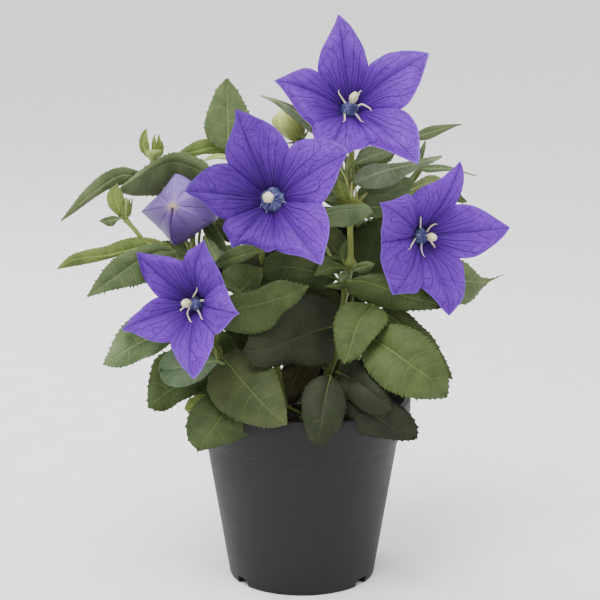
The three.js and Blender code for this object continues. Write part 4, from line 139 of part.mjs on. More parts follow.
// Stamens, stigma and buds.
const PARTS = {
 F1: {"stam":[[[19.9,-3.2,227.6],[18.4,-4.4,230.3],[17.0,-5.5,233.5]],[[25.4,-4.1,225.8],[27.6,-6.5,226.7],[31.4,-14.1,224.1]],[[20.9,-2.1,224.3],[19.4,-5.0,223.0],[18.6,-16.4,219.2]],[[24.1,-3.1,223.4],[26.0,-12.1,221.4],[28.0,-19.0,219.3]],[[25.4,-4.5,229.9],[26.3,-5.2,231.2],[27.6,-6.2,233.1]]],"stig":[24.6,-12.2,232.4],"R":30.4,"h0":20.1,"dome":4.6},
 F2: {"stam":[[[-9.3,-36.2,188.2],[-10.2,-37.9,187.5],[-11.5,-38.5,186.7]],[[-8.5,-37.3,184.3],[-9.3,-39.1,183.2],[-10.6,-39.7,181.9]],[[-15.1,-36.9,180.3],[-14.6,-38.3,181.8],[-13.3,-39.0,182.7]],[[-13.3,-34.9,190.3],[-12.9,-36.9,189.6],[-12.4,-37.9,188.4]],[[-17.8,-35.7,182.9],[-16.4,-37.5,183.5],[-15.1,-38.3,184.0]]],"stig":[-15.7,-40.9,187.5],"R":30.2,"h0":18.1,"dome":5.5},
 F3: {"stam":[[[-48.5,-36.1,141.1],[-48.9,-37.1,142.6],[-46.5,-43.7,147.7]],[[-46.4,-34.9,139.5],[-43.9,-44.0,142.2],[-39.9,-55.8,143.7]],[[-49.9,-36.5,137.5],[-51.0,-39.0,135.7],[-48.7,-46.6,132.5]],[[-47.2,-36.4,137.0],[-45.2,-44.8,136.2],[-43.2,-53.9,135.2]],[[-52.0,-37.5,138.1],[-53.3,-38.7,137.0],[-54.1,-39.5,136.2]]],"stig":[-53.0,-45.9,140.8],"R":25.3,"h0":20.1,"dome":4.1},
 F4: {"stam":[[[55.0,-8.5,169.1],[54.6,-12.8,172.3],[54.1,-17.4,176.1]],[[57.9,-7.7,168.0],[60.1,-9.1,170.6],[62.8,-9.9,171.8]],[[53.4,-6.4,165.5],[50.1,-23.1,164.8],[47.8,-29.4,162.8]],[[55.5,-9.0,163.5],[55.5,-15.0,160.5],[56.6,-18.4,157.7]],[[59.8,-9.0,164.0],[60.6,-10.1,162.7],[61.4,-11.5,161.0]]],"stig":[61.6,-18.0,166.5],"R":29.8,"h0":20.1,"dome":4.1},
 balloon: {"S":[-57.8,-31.0,182.4],"n":[-0.5225,-0.8441,0.1206],"Q":[[-57.9,-18.3,196.0],[-52.3,-19.8,193.4],[-47.1,-23.4,190.5],[-42.6,-29.0,187.6],[-40.9,-28.4,182.6],[-40.5,-29.1,179.1],[-42.2,-30.9,175.7],[-47.1,-26.2,170.6],[-52.9,-23.2,166.6],[-58.7,-22.4,163.8],[-64.6,-15.9,167.1],[-70.0,-11.9,172.0],[-74.7,-10.5,177.9],[-71.0,-9.7,182.7],[-66.5,-11.9,187.3],[-62.0,-13.9,192.3]],"flags":["K","","","K","","","K","","","K","","","K","","",""],"L":26},
 green: {"S":[-8.7,-0.2,223.9],"n":[-0.4192,-0.499,0.7585],"R":7.2,"L":17},
 shoot: {"a":[-79.5,-28.0,176.3],"b":[-79.1,-28.0,186.2],"r":2.4},
 hand: {"a":[-69.1,-5.0,200.5],"b":[-69.2,-5.0,206.2],"r":4.4},
};
// Stems: points with a radius.
const STEMS = {
 s1: [[4.0,2.0,79.4,2.0],[16.3,-4.0,110.0,1.7],[19.8,-7.0,135.7,1.5],[22.5,-8.0,153.9,1.4],[22.5,-6.0,170.7,1.4],[22.5,-4.0,181.3,1.4],[23.6,2.0,192.5,1.2],[23.3,15.0,213.3,1.2],[22.9,7.2,217.8,1.1]],
 s2: [[-8.0,-2.0,79.4,1.9],[-15.1,-8.0,121.5,1.7],[-18.8,-10.0,141.0,1.5],[-18.7,-10.0,159.9,1.4],[-15.8,-10.0,173.0,1.3],[-8.6,-11.0,177.3,1.3],[-10.4,-19.6,182.3,1.2]],
 s3: [[-18.0,-8.0,79.4,1.8],[-35.5,-18.0,104.4,1.6],[-39.2,-18.0,113.9,1.5],[-41.1,-17.0,117.5,1.4],[-35.7,-18.5,131.6,1.4],[-40.2,-26.1,136.3,1.4]],
 s4: [[16.0,0.0,79.4,1.9],[26.9,-2.0,109.6,1.7],[34.6,2.0,129.3,1.6],[43.1,4.0,146.0,1.5],[48.6,2.0,157.4,1.4],[43.5,9.6,160.7,1.3],[48.2,2.0,164.8,1.2]],
 s5: [[-20.0,4.0,79.4,1.8],[-40.0,-6.0,113.8,1.6],[-45.0,-10.0,141.0,1.5],[-48.9,-12.0,154.5,1.4],[-50.5,-14.0,163.2,1.4],[-50.5,-13.0,167.7,1.3],[-49.4,-9.5,171.1,1.2],[-46.6,-6.6,174.6,1.2],[-41.9,-5.4,178.4,1.2]],
 s6: [[-27.0,-2.0,79.4,1.8],[-48.4,-8.0,111.8,1.6],[-56.3,-10.0,141.0,1.5],[-59.7,-20.0,157.5,1.4],[-66.8,-25.0,163.6,1.2],[-70.8,-26.0,165.1,1.1],[-75.5,-27.0,171.2,1.1],[-79.6,-28.0,176.0,1.0]],
 s9: [[-12.0,14.0,79.4,1.9],[-26.6,18.0,113.9,1.7],[-31.6,22.0,138.3,1.6],[-34.4,24.0,165.4,1.4],[-34.5,21.0,187.8,1.2],[-34.6,16.0,203.0,1.0]],
 s10: [[-52.4,-8.0,159.6,1.0],[-58.2,-4.0,172.3,0.9],[-64.6,-3.0,187.3,0.9],[-69.1,-5.0,200.0,0.8]],
 s11: [[21.2,-6.5,140.4,1.0],[16.1,-1.0,150.1,1.0],[7.6,3.0,167.8,1.0],[-0.5,3.0,191.5,1.0],[0.3,10.5,207.5,1.0]],
 s7: [[0.0,-16.0,79.4,1.7],[7.4,-22.0,94.8,1.5],[12.9,-26.0,103.3,1.3]],
 s8: [[10.0,16.0,79.4,1.9],[24.7,16.0,116.8,1.7],[34.5,20.0,146.1,1.6],[42.2,22.0,170.6,1.4],[51.8,22.0,186.2,1.2],[57.3,20.0,196.1,1.0],[53.7,14.0,207.4,0.9]],
};

// ---------------------------------------------------------------- helpers
const wasm = await Module();
wasm.setup();
const V = (a) => new THREE.Vector3(a[0], a[1], a[2]);

function solid(verts, tris) {
  // verts: Vector3[], tris: [a,b,c][]
  const g = new THREE.BufferGeometry();
  g.setAttribute('position', new THREE.Float32BufferAttribute(verts.flatMap((v) => [v.x, v.y, v.z]), 3));
  g.setIndex(tris.flat());
  const m = mergeVertices(g, 1e-4);
  const p = m.getAttribute('position').array, ix = m.getIndex().array;
  const keep = [];
  for (let i = 0; i < ix.length; i += 3) if (ix[i] !== ix[i + 1] && ix[i + 1] !== ix[i + 2] && ix[i] !== ix[i + 2]) keep.push(ix[i], ix[i + 1], ix[i + 2]);
  let vol = 0;
  for (let i = 0; i < keep.length; i += 3) {
    const [a, b, c] = [keep[i] * 3, keep[i + 1] * 3, keep[i + 2] * 3];
    vol += p[a] * (p[b + 1] * p[c + 2] - p[b + 2] * p[c + 1]) - p[a + 1] * (p[b] * p[c + 2] - p[b + 2] * p[c]) + p[a + 2] * (p[b] * p[c + 1] - p[b + 1] * p[c]);
  }
  if (vol < 0) for (let i = 0; i < keep.length; i += 3) [keep[i + 1], keep[i + 2]] = [keep[i + 2], keep[i + 1]];
  return new wasm.Manifold(new wasm.Mesh({ numProp: 3, vertProperties: new Float32Array(p), triVerts: new Uint32Array(keep) }));
}

// Closed sheet from a grid of points (rows x cols), thick in the direction of its normals.
function sheet(rows, t, grow = 0) {
  const R = rows.length, C = rows[0].length, P = rows.map((r) => r.map((v) => v.clone()));
  if (grow) {
    for (let i = 0; i < R; i++) {
      const a = rows[i][0].clone().sub(rows[i][1]).normalize(), b = rows[i][C - 1].clone().sub(rows[i][C - 2]).normalize();
      P[i][0].addScaledVector(a, grow); P[i][C - 1].addScaledVector(b, grow);
    }
    for (let j = 0; j < C; j++) {
      const a = rows[0][j].clone().sub(rows[1][j]).normalize(), b = rows[R - 1][j].clone().sub(rows[R - 2][j]).normalize();
      P[0][j].addScaledVector(a, grow); P[R - 1][j].addScaledVector(b, grow);
    }
  }
  const top = [], bot = [], h = t / 2 + grow;
  for (let i = 0; i < R; i++) for (let j = 0; j < C; j++) {
    const ds = P[Math.min(i + 1, R - 1)][j].clone().sub(P[Math.max(i - 1, 0)][j]);
    const dt = P[i][Math.min(j + 1, C - 1)].clone().sub(P[i][Math.max(j - 1, 0)]);
    const n = ds.cross(dt).normalize();
    top.push(P[i][j].clone().addScaledVector(n, h)); bot.push(P[i][j].clone().addScaledVector(n, -h));
  }
  const N = R * C, tris = [], q = (i, j) => i * C + j;
  for (let i = 0; i < R - 1; i++) for (let j = 0; j < C - 1; j++) {
    const a = q(i, j), b = q(i, j + 1), c = q(i + 1, j + 1), d = q(i + 1, j);
    tris.push([a, b, c], [a, c, d], [N + a, N + c, N + b], [N + a, N + d, N + c]);
  }
  const ring = [];
  for (let j = 0; j < C; j++) ring.push(q(0, j));
  for (let i = 1; i < R; i++) ring.push(q(i, C - 1));
  for (let j = C - 2; j >= 0; j--) ring.push(q(R - 1, j));
  for (let i = R - 2; i > 0; i--) ring.push(q(i, 0));
  for (let k = 0; k < ring.length; k++) {
    const a = ring[k], b = ring[(k + 1) % ring.length];
    tris.push([a, N + b, b], [a, N + a, N + b]);
  }
  return solid([...top, ...bot], tris);
}

// Closed tube through points {p, r}.
function tube(pts, sides = 6, grow = 0) {
  const verts = [], tris = [], n = pts.length;
  let u = null;
  pts.forEach((q, i) => {
    const d = pts[Math.min(i + 1, n - 1)].p.clone().sub(pts[Math.max(i - 1, 0)].p).normalize();
    if (!u) u = Math.abs(d.z) > 0.9 ? new THREE.Vector3(1, 0, 0) : new THREE.Vector3(0, 0, 1);
    u = u.clone().addScaledVector(d, -u.dot(d)).normalize();
    const w = d.clone().cross(u);
    const c = q.p.clone();
    if (grow && i === 0) c.addScaledVector(d, -grow);
    if (grow && i === n - 1) c.addScaledVector(d, grow);
    for (let k = 0; k < sides; k++) {
      const a = (2 * Math.PI * k) / sides;
      verts.push(c.clone().addScaledVector(u, Math.cos(a) * (q.r + grow)).addScaledVector(w, Math.sin(a) * (q.r + grow)));
    }
  });
  for (let i = 0; i < n - 1; i++) for (let k = 0; k < sides; k++) {
    const a = i * sides + k, b = i * sides + ((k + 1) % sides), c = b + sides, d = a + sides;
    tris.push([a, b, c], [a, c, d]);
  }
  for (let k = 1; k < sides - 1; k++) { tris.push([0, k + 1, k]); const o = (n - 1) * sides; tris.push([o, o + k, o + k + 1]); }
  return solid(verts, tris);
}

// Body of revolution about an axis n through p; profile is [radius, height][] from the axis to the axis.
function turned(profile, p, n, sides) {
  const g = new THREE.LatheGeometry(profile.map(([r, h]) => new THREE.Vector2(Math.max(r, 0), h)), sides);
  const q = new THREE.Quaternion().setFromUnitVectors(new THREE.Vector3(0, 1, 0), n);
  g.applyQuaternion(q); g.translate(p.x, p.y, p.z);
  g.deleteAttribute('normal'); g.deleteAttribute('uv');
  const m = mergeVertices(g, 1e-4), a = m.getAttribute('position'), ix = m.getIndex().array, verts = [], tris = [];
  for (let i = 0; i < a.count; i++) verts.push(new THREE.Vector3(a.getX(i), a.getY(i), a.getZ(i)));
  for (let i = 0; i < ix.length; i += 3) tris.push([ix[i], ix[i + 1], ix[i + 2]]);
  return solid(verts, tris);
}

function join(list) { return list.slice(1).reduce((a, b) => a.add(b), list[0]); }
function largest(m) {
  const parts = m.decompose();
  let best = parts[0];
  for (const q of parts) if (q.volume() > best.volume()) best = q;
  return best;
}

// ---------------------------------------------------------------- pieces
// every piece is a function of grow: 0 gives the piece, GAP gives the room that it keeps free around itself
const SMALL_ROWS = [0, 2, 4, 6, 7];   // stations kept on the small leaves that are one piece with a stem
function leafShape(l, grow = 0, petiole = true, small = false) {
  const pick = small ? SMALL_ROWS : l.M.map((_, i) => i);
  const rows = pick.map((i) => [V(l.A[i]), V(l.M[i]), V(l.B[i])]);
  const bodies = [];
  if (petiole) {
    const at = V(l.at), m0 = V(l.M[0]), d = m0.clone().sub(at), L = d.length();
    if (L > 0.6) {
      const m1 = V(l.M[1]), t = m1.clone().sub(m0).normalize();
      const mid = at.clone().lerp(m0, 0.55).addScaledVector(t, -0.10 * L);
      const end = m0.clone().addScaledVector(t, 1.5);
      bodies.push(tube([{ p: at, r: 0.9 }, { p: mid, r: 0.9 }, { p: end, r: 0.8 }], 4, grow));
    }
  }
  bodies.push(sheet(rows, LEAF_T, grow));
  return join(bodies);
}

function corollaRows(f) {
  // outline reduced to tips, notches and two points between each
  const n = V(f.n), P0 = V(f.P0), key = f.flags.map((x, i) => (x ? i : -1)).filter((i) => i >= 0), out = [];
  for (let k = 0; k < key.length; k++) {
    const i0 = key[k], i1 = key[(k + 1) % key.length] + (k === key.length - 1 ? f.Q.length : 0);
    out.push(f.Q[i0]);
    for (const w of [0.34, 0.7]) out.push(f.Q[Math.round(i0 + (i1 - i0) * w) % f.Q.length]);
  }
  const mean = PARTS[f.key].R;
  return out.map((q) => {
    const d = V(q).sub(P0), h = d.dot(n), perp = d.clone().addScaledVector(n, -h), R = perp.length(), e = perp.clone().normalize();
    return { e, R, h, mean };
  });
}
function corollaPoint(o, rho, P0, n) {
  const k = Math.pow(rho, 1.5), r = rho * (o.mean * (1 - k) + o.R * k);
  return P0.clone().addScaledVector(o.e, r).addScaledVector(n, o.h * (1 - Math.pow(1 - rho, BOWL)));
}
function corolla(f, grow = 0) {
  const n = V(f.n), P0 = V(f.P0), O = corollaRows(f), M = O.length, rings = [0.2, 0.52, 1];
  const grid = rings.map((r) => O.map((o) => {
    const p = corollaPoint(o, r, P0, n);
    if (grow && r === 1) p.addScaledVector(o.e, grow);
    return p;
  }));
  const top = [P0.clone()], bot = [P0.clone()], h = PETAL_T / 2 + grow;
  top[0].addScaledVector(n, h); bot[0].addScaledVector(n, -h);
  grid.forEach((g, i) => g.forEach((p, j) => {
    const a = i === 0 ? P0 : grid[i - 1][j], b = i === rings.length - 1 ? p : grid[i + 1][j];
    const ds = b.clone().sub(a), dt = g[(j + 1) % M].clone().sub(g[(j + M - 1) % M]);
    const nn = ds.cross(dt).normalize(); if (nn.dot(n) < 0) nn.negate();
    top.push(p.clone().addScaledVector(nn, h)); bot.push(p.clone().addScaledVector(nn, -h));
  }));
  const N = top.length, tris = [], q = (i, j) => 1 + i * M + (j % M);
  for (let j = 0; j < M; j++) {
    tris.push([0, q(0, j), q(0, j + 1)], [N, N + q(0, j + 1), N + q(0, j)]);
    for (let i = 0; i < rings.length - 1; i++) {
      const a = q(i, j), b = q(i + 1, j), c = q(i + 1, j + 1), d = q(i, j + 1);
      tris.push([a, b, c], [a, c, d], [N + a, N + c, N + b], [N + a, N + d, N + c]);
    }
    const a = q(rings.length - 1, j), b = q(rings.length - 1, j + 1);
    tris.push([a, N + a, N + b], [a, N + b, b]);
  }
  return solid([...top, ...bot], tris);
}
function across(n) { // two unit vectors square to n
  const u = Math.abs(n.z) > 0.9 ? new THREE.Vector3(1, 0, 0) : new THREE.Vector3(0, 0, 1);
  u.addScaledVector(n, -u.dot(n)).normalize();
  return [u, n.clone().cross(u)];
}
function sepals(p, n, r0, h0, r1, h1, w, turn, grow, count = 5) {
  const [u, v] = across(n), out = [];
  for (let k = 0; k < count; k++) {
    const a = turn + (2 * Math.PI * k) / count, e = u.clone().multiplyScalar(Math.cos(a)).addScaledVector(v, Math.sin(a)), s = n.clone().cross(e);
    const at = (r, h, x) => p.clone().addScaledVector(e, r).addScaledVector(n, h).addScaledVector(s, x);
    const rows = [[-1, 0, 1].map((x) => at(r0, h0, x * w)), [-1, 0, 1].map((x) => at(r1, h1, x * 0.25))];
    out.push(sheet(rows, 0.8, grow));
  }
  return out;
}
function calyx(f, grow = 0) {
  const n = V(f.n), P0 = V(f.P0);
  const cup = turned([[0, -7.6 - grow], [1.7 + grow, -7.4 - grow], [3.0 + grow, -4.6], [3.3 + grow, -1.4], [0, -0.9 + grow]], P0, n, 8);
  return join([cup, ...sepals(P0, n, 2.2, -2.4, 9.5, 0.6, 1.7, SEPAL_TURN[f.key], grow)]);
}
function stamens(f, grow = 0) {
  const n = V(f.n), P0 = V(f.P0), r = PARTS[f.key].dome * 0.92, g = grow;
  const dome = turned([[0, 1.5 - g], [r * 0.55 + g, 2.2], [r + g, 4.6], [r * 0.8 + g, 7.6], [0, 9.0 + g]], P0, n, 8);
  const base = P0.clone().addScaledVector(n, 6.0);
  const fil = PARTS[f.key].stam.map((pl) => {
    const p = pl.map(V), a = base.clone().lerp(p[0], 0.45);
    return tube([{ p: a, r: 0.75 }, { p: p[0].clone().lerp(p[1], 0.3), r: 0.75 }, { p: p[2], r: 0.5 }], 4, g);
  });
  return join([dome, ...fil]);
}
function pistil(f, grow = 0) {
  const n = V(f.n), P0 = V(f.P0), tip = V(PARTS[f.key].stig), a = P0.clone().addScaledVector(n, 9.4), d = tip.clone().sub(a), L = d.length(); d.normalize();
  const at = (x) => a.clone().addScaledVector(d, L * x);
  return tube([{ p: at(0), r: 0.9 }, { p: at(0.3), r: 1.0 }, { p: at(0.5), r: 1.9 }, { p: at(0.78), r: 2.3 }, { p: at(1), r: 1.5 }], 8, grow);
}
function bud(b, grow = 0) {
  // inflated five-cornered balloon: S is the point where the petals meet, Q the widest line, and the base lies L behind S
  const S = V(b.S), n = V(b.n), base = S.clone().addScaledVector(n, -b.L), rowsF = [], g = grow;
  const Q = b.Q.map(V), M = Q.length, O = Q.map((q) => { const d = q.clone().sub(S), h = d.dot(n), e = d.clone().addScaledVector(n, -h); const R = e.length(); return { e: e.normalize(), R, h }; });
  const verts = [S.clone().addScaledVector(n, g)], levels = [];
  for (const rho of [0.38, 0.72, 0.93, 1]) levels.push((o) => [o.R * rho + g, o.h * (1 - Math.sqrt(1 - rho * rho))]);
  for (const s of [0.35, 0.65, 0.88]) levels.push((o) => [Math.max(o.R * Math.sqrt(1 - s * s), 2.0) + g, o.h + (-b.L - o.h) * s]);
  levels.push((o) => [2.0 + g, -b.L - g]);
  for (const f of levels) for (const o of O) { const [r, h] = f(o); verts.push(S.clone().addScaledVector(o.e, r).addScaledVector(n, h)); }
  verts.push(base.clone().addScaledVector(n, -g));
  const tris = [], q = (i, j) => 1 + i * M + (j % M), last = verts.length - 1, K = levels.length;
  for (let j = 0; j < M; j++) {
    tris.push([0, q(0, j), q(0, j + 1)], [last, q(K - 1, j + 1), q(K - 1, j)]);
    for (let i = 0; i < K - 1; i++) tris.push([q(i, j), q(i + 1, j), q(i + 1, j + 1)], [q(i, j), q(i + 1, j + 1), q(i, j + 1)]);
  }
  return solid(verts, tris);
}
function budCalyx(b, grow = 0, r = 3.0) {
  const S = V(b.S), n = V(b.n), p = S.clone().addScaledVector(n, -b.L), g = grow;
  const cup = turned([[0, -5.6 - g], [1.3 + g, -5.4 - g], [r + g, -2.6], [r + g, -0.6], [0, -0.5 + g]], p, n, 8);
  return join([cup, ...sepals(p, n, r * 0.7, -1.6, r + 4.6, 2.6, 1.3, 0.3, g)]);
}
function roundOutline(b) {
  const n = V(b.n), [u, v] = across(n), S = V(b.S), Q = [];
  for (let k = 0; k < 15; k++) {
    const a = (2 * Math.PI * k) / 15, R = b.R * (k % 3 === 0 ? 1.04 : 0.97), p = S.clone().addScaledVector(n, -b.L * 0.48).addScaledVector(u, Math.cos(a) * R).addScaledVector(v, Math.sin(a) * R);
    Q.push([p.x, p.y, p.z]);
  }
  return { ...b, Q };
}
function egg(b, sides, grow = 0) {
  const a = V(b.a), d = V(b.b).sub(a), L = d.length(), r = b.r, g = grow; d.normalize();
  return turned([[0, -g], [r * 0.6 + g, L * 0.12], [r + g, L * 0.42], [r * 0.75 + g, L * 0.75], [r * 0.3 + g, L * 0.94], [0, L + g]], a, d, sides);
}
function cone(b, sides, grow = 0) {
  const a = V(b.a), d = V(b.b).sub(a), L = d.length(), r = b.r, g = grow; d.normalize();
  return turned([[0, -g], [1.0 + g, 0.1], [r * 0.7 + g, L * 0.6], [r + g, L * 0.95], [0, L + g]], a, d, sides);
}

// ---------------------------------------------------------------- pot and soil
const POT_SEG = 30;
const up = new THREE.Vector3(0, 1, 0);
function potProfile(g = 0) {
  const H = POT_HEIGHT, t = POT_WALL, zs = POT_STEP_Z;
  if (g) return [[0, -g], [POT_BASE_R + g, -g], [POT_STEP_R - 0.8 + g, zs - 1], [POT_STEP_R + g, zs], [POT_WALL_TOP_R + g, H - POT_LIP_H - g], [POT_RIM_R + g, H - POT_LIP_H - g], [POT_RIM_R + g, H + g], [POT_RIM_R - 3.4 - g, H + g], [POT_RIM_R - 3.6 - g, H - 1], [POT_RIM_R - 4.6 - g, SOIL_Z + g], [0, SOIL_Z + g]];
  return [
    [0, POT_FOOT_H], [POT_BASE_R - 3.2, POT_FOOT_H], [POT_BASE_R - 2.6, 0], [POT_BASE_R - 0.2, 0],
    [POT_STEP_R - 0.9, zs - 0.4], [POT_STEP_R, zs + 0.3], [POT_WALL_TOP_R, H - POT_LIP_H], [POT_RIM_R - 0.1, H - POT_LIP_H + 0.1], [POT_RIM_R, H - 0.6],
    [POT_RIM_R - 0.7, H], [POT_RIM_R - 2.8, H], [POT_STEP_R - t, zs], [POT_BASE_R - t - 0.6, POT_FOOT_H + t], [0, POT_FOOT_H + t],
  ];
}
function zTurned(profile, sides) { return turned(profile, new THREE.Vector3(), new THREE.Vector3(0, 0, 1), sides); }
function block(w, d, h, x, y, z, rz = 0) {
  const g = new THREE.BoxGeometry(w, d, h); g.rotateZ(rz); g.translate(x, y, z); g.deleteAttribute('normal'); g.deleteAttribute('uv');
  const m = mergeVertices(g, 1e-5), a = m.getAttribute('position'), ix = m.getIndex().array, verts = [], tris = [];
  for (let i = 0; i < a.count; i++) verts.push(new THREE.Vector3(a.getX(i), a.getY(i), a.getZ(i)));
  for (let i = 0; i < ix.length; i += 3) tris.push([ix[i], ix[i + 1], ix[i + 2]]);
  return solid(verts, tris);
}
let potBody = zTurned(potProfile(), POT_SEG);
const NOTCH_AZ = [-38, -142, 38, 142, 90];   // gaps between the feet, degrees
for (const az of NOTCH_AZ) {
  const a = (az * Math.PI) / 180;
  potBody = potBody.subtract(block(9, FOOT_NOTCH_W, POT_FOOT_H - 0.6 + 2, Math.cos(a) * POT_BASE_R, Math.sin(a) * POT_BASE_R, (POT_FOOT_H - 0.6) / 2 - 1, a));
}
for (let k = 0; k < 5; k++) {
  const a = ((36 + 72 * k) * Math.PI) / 180;
  const c = new THREE.Vector3(Math.cos(a) * 22, Math.sin(a) * 22, 0);
  potBody = potBody.subtract(turned([[0, POT_FOOT_H - 2], [DRAIN_HOLE_R, POT_FOOT_H - 2], [DRAIN_HOLE_R, POT_FOOT_H + POT_WALL + 2], [0, POT_FOOT_H + POT_WALL + 2]], c, new THREE.Vector3(0, 0, 1), 8));
}
function soilBody() {
  const rings = [0.25, 0.5, 0.75, 1], n = 30, verts = [new THREE.Vector3(0, 0, SOIL_Z)], tris = [];
  rings.forEach((f, i) => { for (let k = 0; k < n; k++) { const a = (2 * Math.PI * k) / n, r = f * SOIL_R_TOP; verts.push(new THREE.Vector3(Math.cos(a) * r, Math.sin(a) * r, SOIL_Z + (i < 3 ? -0.55 + 0.5 * Math.sin(3.1 * k + 2 * i) : -1.2))); } });
  for (const [r, z] of [[SOIL_R_STEP, POT_STEP_Z - 0.5], [SOIL_R_BASE, POT_FOOT_H + POT_WALL + 0.35]])
    for (let k = 0; k < n; k++) { const a = (2 * Math.PI * k) / n; verts.push(new THREE.Vector3(Math.cos(a) * r, Math.sin(a) * r, z)); }
  verts.push(new THREE.Vector3(0, 0, POT_FOOT_H + POT_WALL + 0.35));
  const q = (i, k) => 1 + i * n + (k % n), last = verts.length - 1;
  for (let k = 0; k < n; k++) {
    tris.push([0, q(0, k), q(0, k + 1)]);
    for (let i = 0; i < 5; i++) tris.push([q(i, k), q(i + 1, k), q(i + 1, k + 1)], [q(i, k), q(i + 1, k + 1), q(i, k + 1)]);
    tris.push([last, q(5, k + 1), q(5, k)]);
  }
  return solid(verts, tris);
}

// ---------------------------------------------------------------- assembly
const COLOURS = {
  pot: [0x39393b, 0.62], soil: [0x2e241c, 0.95], stem: [0x7d8c45, 0.6], leaf: [0x5f7142, 0.6], young: [0x8b9b4a, 0.6], calyx: [0x8a9a52, 0.6],
  petal: [0x6a52b4, 0.6], stamen: [0x5a6494, 0.6], pistil: [0xe4ddc4, 0.6], bud: [0x8f80bb, 0.6], green: [0xbcc58c, 0.6],
};
const done = [];                                  // {name, keep: grown solid}
const plant = new THREE.Group();
plant.name = 'potted_balloon_flower';
function addNode(name, kind, shape, keepOut) {
  let m = shape;
  const bb = m.boundingBox();
  for (const d of done) {
    const o = d.bb;
    if (bb.min[0] > o.max[0] || bb.max[0] < o.min[0] || bb.min[1] > o.max[1] || bb.max[1] < o.min[1] || bb.min[2] > o.max[2] || bb.max[2] < o.min[2]) continue;
    m = m.subtract(d.keep);
  }
  m = largest(m);
  const mesh = m.getMesh(), g = new THREE.BufferGeometry();
  g.setAttribute('position', new THREE.BufferAttribute(new Float32Array(mesh.vertProperties), 3));
  g.setIndex(new THREE.BufferAttribute(new Uint32Array(mesh.triVerts), 1));
  g.computeVertexNormals();
  const [color, roughness] = COLOURS[kind];
  const o = new THREE.Mesh(g, new THREE.MeshStandardMaterial({ color, roughness, metalness: 0, side: THREE.FrontSide }));
  o.name = name;
  plant.add(o);
  if (keepOut) done.push({ name, keep: keepOut, bb: keepOut.boundingBox() });
  return m;
}
for (const k of Object.keys(FLOWERS)) FLOWERS[k].key = k;
addNode('pot', 'pot', potBody, zTurned(potProfile(GAP), POT_SEG));
const soil = soilBody();
addNodePlain('soil', 'soil', soil);
function addNodePlain(name, kind, shape) {
  const mesh = shape.getMesh(), g = new THREE.BufferGeometry();
  g.setAttribute('position', new THREE.BufferAttribute(new Float32Array(mesh.vertProperties), 3));
  g.setIndex(new THREE.BufferAttribute(new Uint32Array(mesh.triVerts), 1));
  g.computeVertexNormals();
  const [color, roughness] = COLOURS[kind];
  const o = new THREE.Mesh(g, new THREE.MeshStandardMaterial({ color, roughness, metalness: 0 }));
  o.name = name; plant.add(o);
}
const FLOWER_NAMES = { F1: 'top', F2: 'centre', F3: 'left', F4: 'right' };
for (const [k, nm] of Object.entries(FLOWER_NAMES)) addNode(`corolla_${nm}`, 'petal', corolla(FLOWERS[k]), corolla(FLOWERS[k], GAP));
for (const [k, nm] of Object.entries(FLOWER_NAMES)) addNode(`stamens_${nm}`, 'stamen', stamens(FLOWERS[k]), stamens(FLOWERS[k], GAP));
for (const [k, nm] of Object.entries(FLOWER_NAMES)) addNode(`pistil_${nm}`, 'pistil', pistil(FLOWERS[k]), pistil(FLOWERS[k], GAP));
for (const [k, nm] of Object.entries(FLOWER_NAMES)) addNode(`calyx_${nm}`, 'calyx', calyx(FLOWERS[k]), calyx(FLOWERS[k], GAP));
const green = roundOutline(PARTS.green);
addNode('bud_balloon', 'bud', bud(PARTS.balloon), bud(PARTS.balloon, GAP));
addNode('bud_balloon_calyx', 'calyx', budCalyx(PARTS.balloon), budCalyx(PARTS.balloon, GAP));
addNode('bud_green', 'green', bud(green), bud(green, GAP));
const L = LEAVES;
const FUSED = {
 "stem_front_short": [
  "s7",
  []
 ],
 "stem_left_flower": [
  "s3",
  [
   "M4"
  ]
 ],
 "stem_right_flower": [
  "s4",
  [
   "K01",
   "K07"
  ]
 ],
 "stem_centre_flower": [
  "s2",
  [
   "B4",
   "K13",
   "X5"
  ]
 ],
 "stem_balloon_bud": [
  "s5",
  [
   "L7b",
   "M0a",
   "M0b"
  ]
 ],
 "stem_left_branch": [
  "s6",
  [
   "K00",
   "K06",
   "X6",
   "X7"
  ]
 ],
 "stem_top_flower": [
  "s1",
  [
   "TR0",
   "C2",
   "C3",
   "W1",
   "W2",
   "W3",
   "W4",
   "N4b",
   "R0",
   "R8",
   "B2",
   "K17",
   "K19",
   "X3",
   "X8",
   "X9",
   "X10",
   "Y1",
   "Y2",
   "Y3",
   "Y4",
   "Y5",
   "Y6",
   "Y7",
   "Y8",
   "Y9",
   "Y10"
  ]
 ],
 "stem_back_right": [
  "s8",
  [
   "R1",
   "R4",
   "R5",
   "R7",
   "R10",
   "B1",
   "B6",
   "K02",
   "K04",
   "K05",
   "K08",
   "K10",
   "K14",
   "K16",
   "K18",
   "X1",
   "X12",
   "X13",
   "X14",
   "X15",
   "X16"
  ]
 ],
 "stem_back_left": [
  "s9",
  [
   "B3",
   "B5",
   "K03",
   "K11",
   "K12",
   "K15",
   "X2",
   "X4",
   "X11"
  ]
 ]
};
const core = (k, g) => tube(STEMS[k].map(([x, y, z, r]) => ({ p: new THREE.Vector3(x, y, z), r })), 5, g);
const CORE = {}, CORE_ROOM = {};
for (const k of Object.keys(STEMS)) { CORE[k] = core(k, 0); CORE_ROOM[k] = core(k, GAP); }
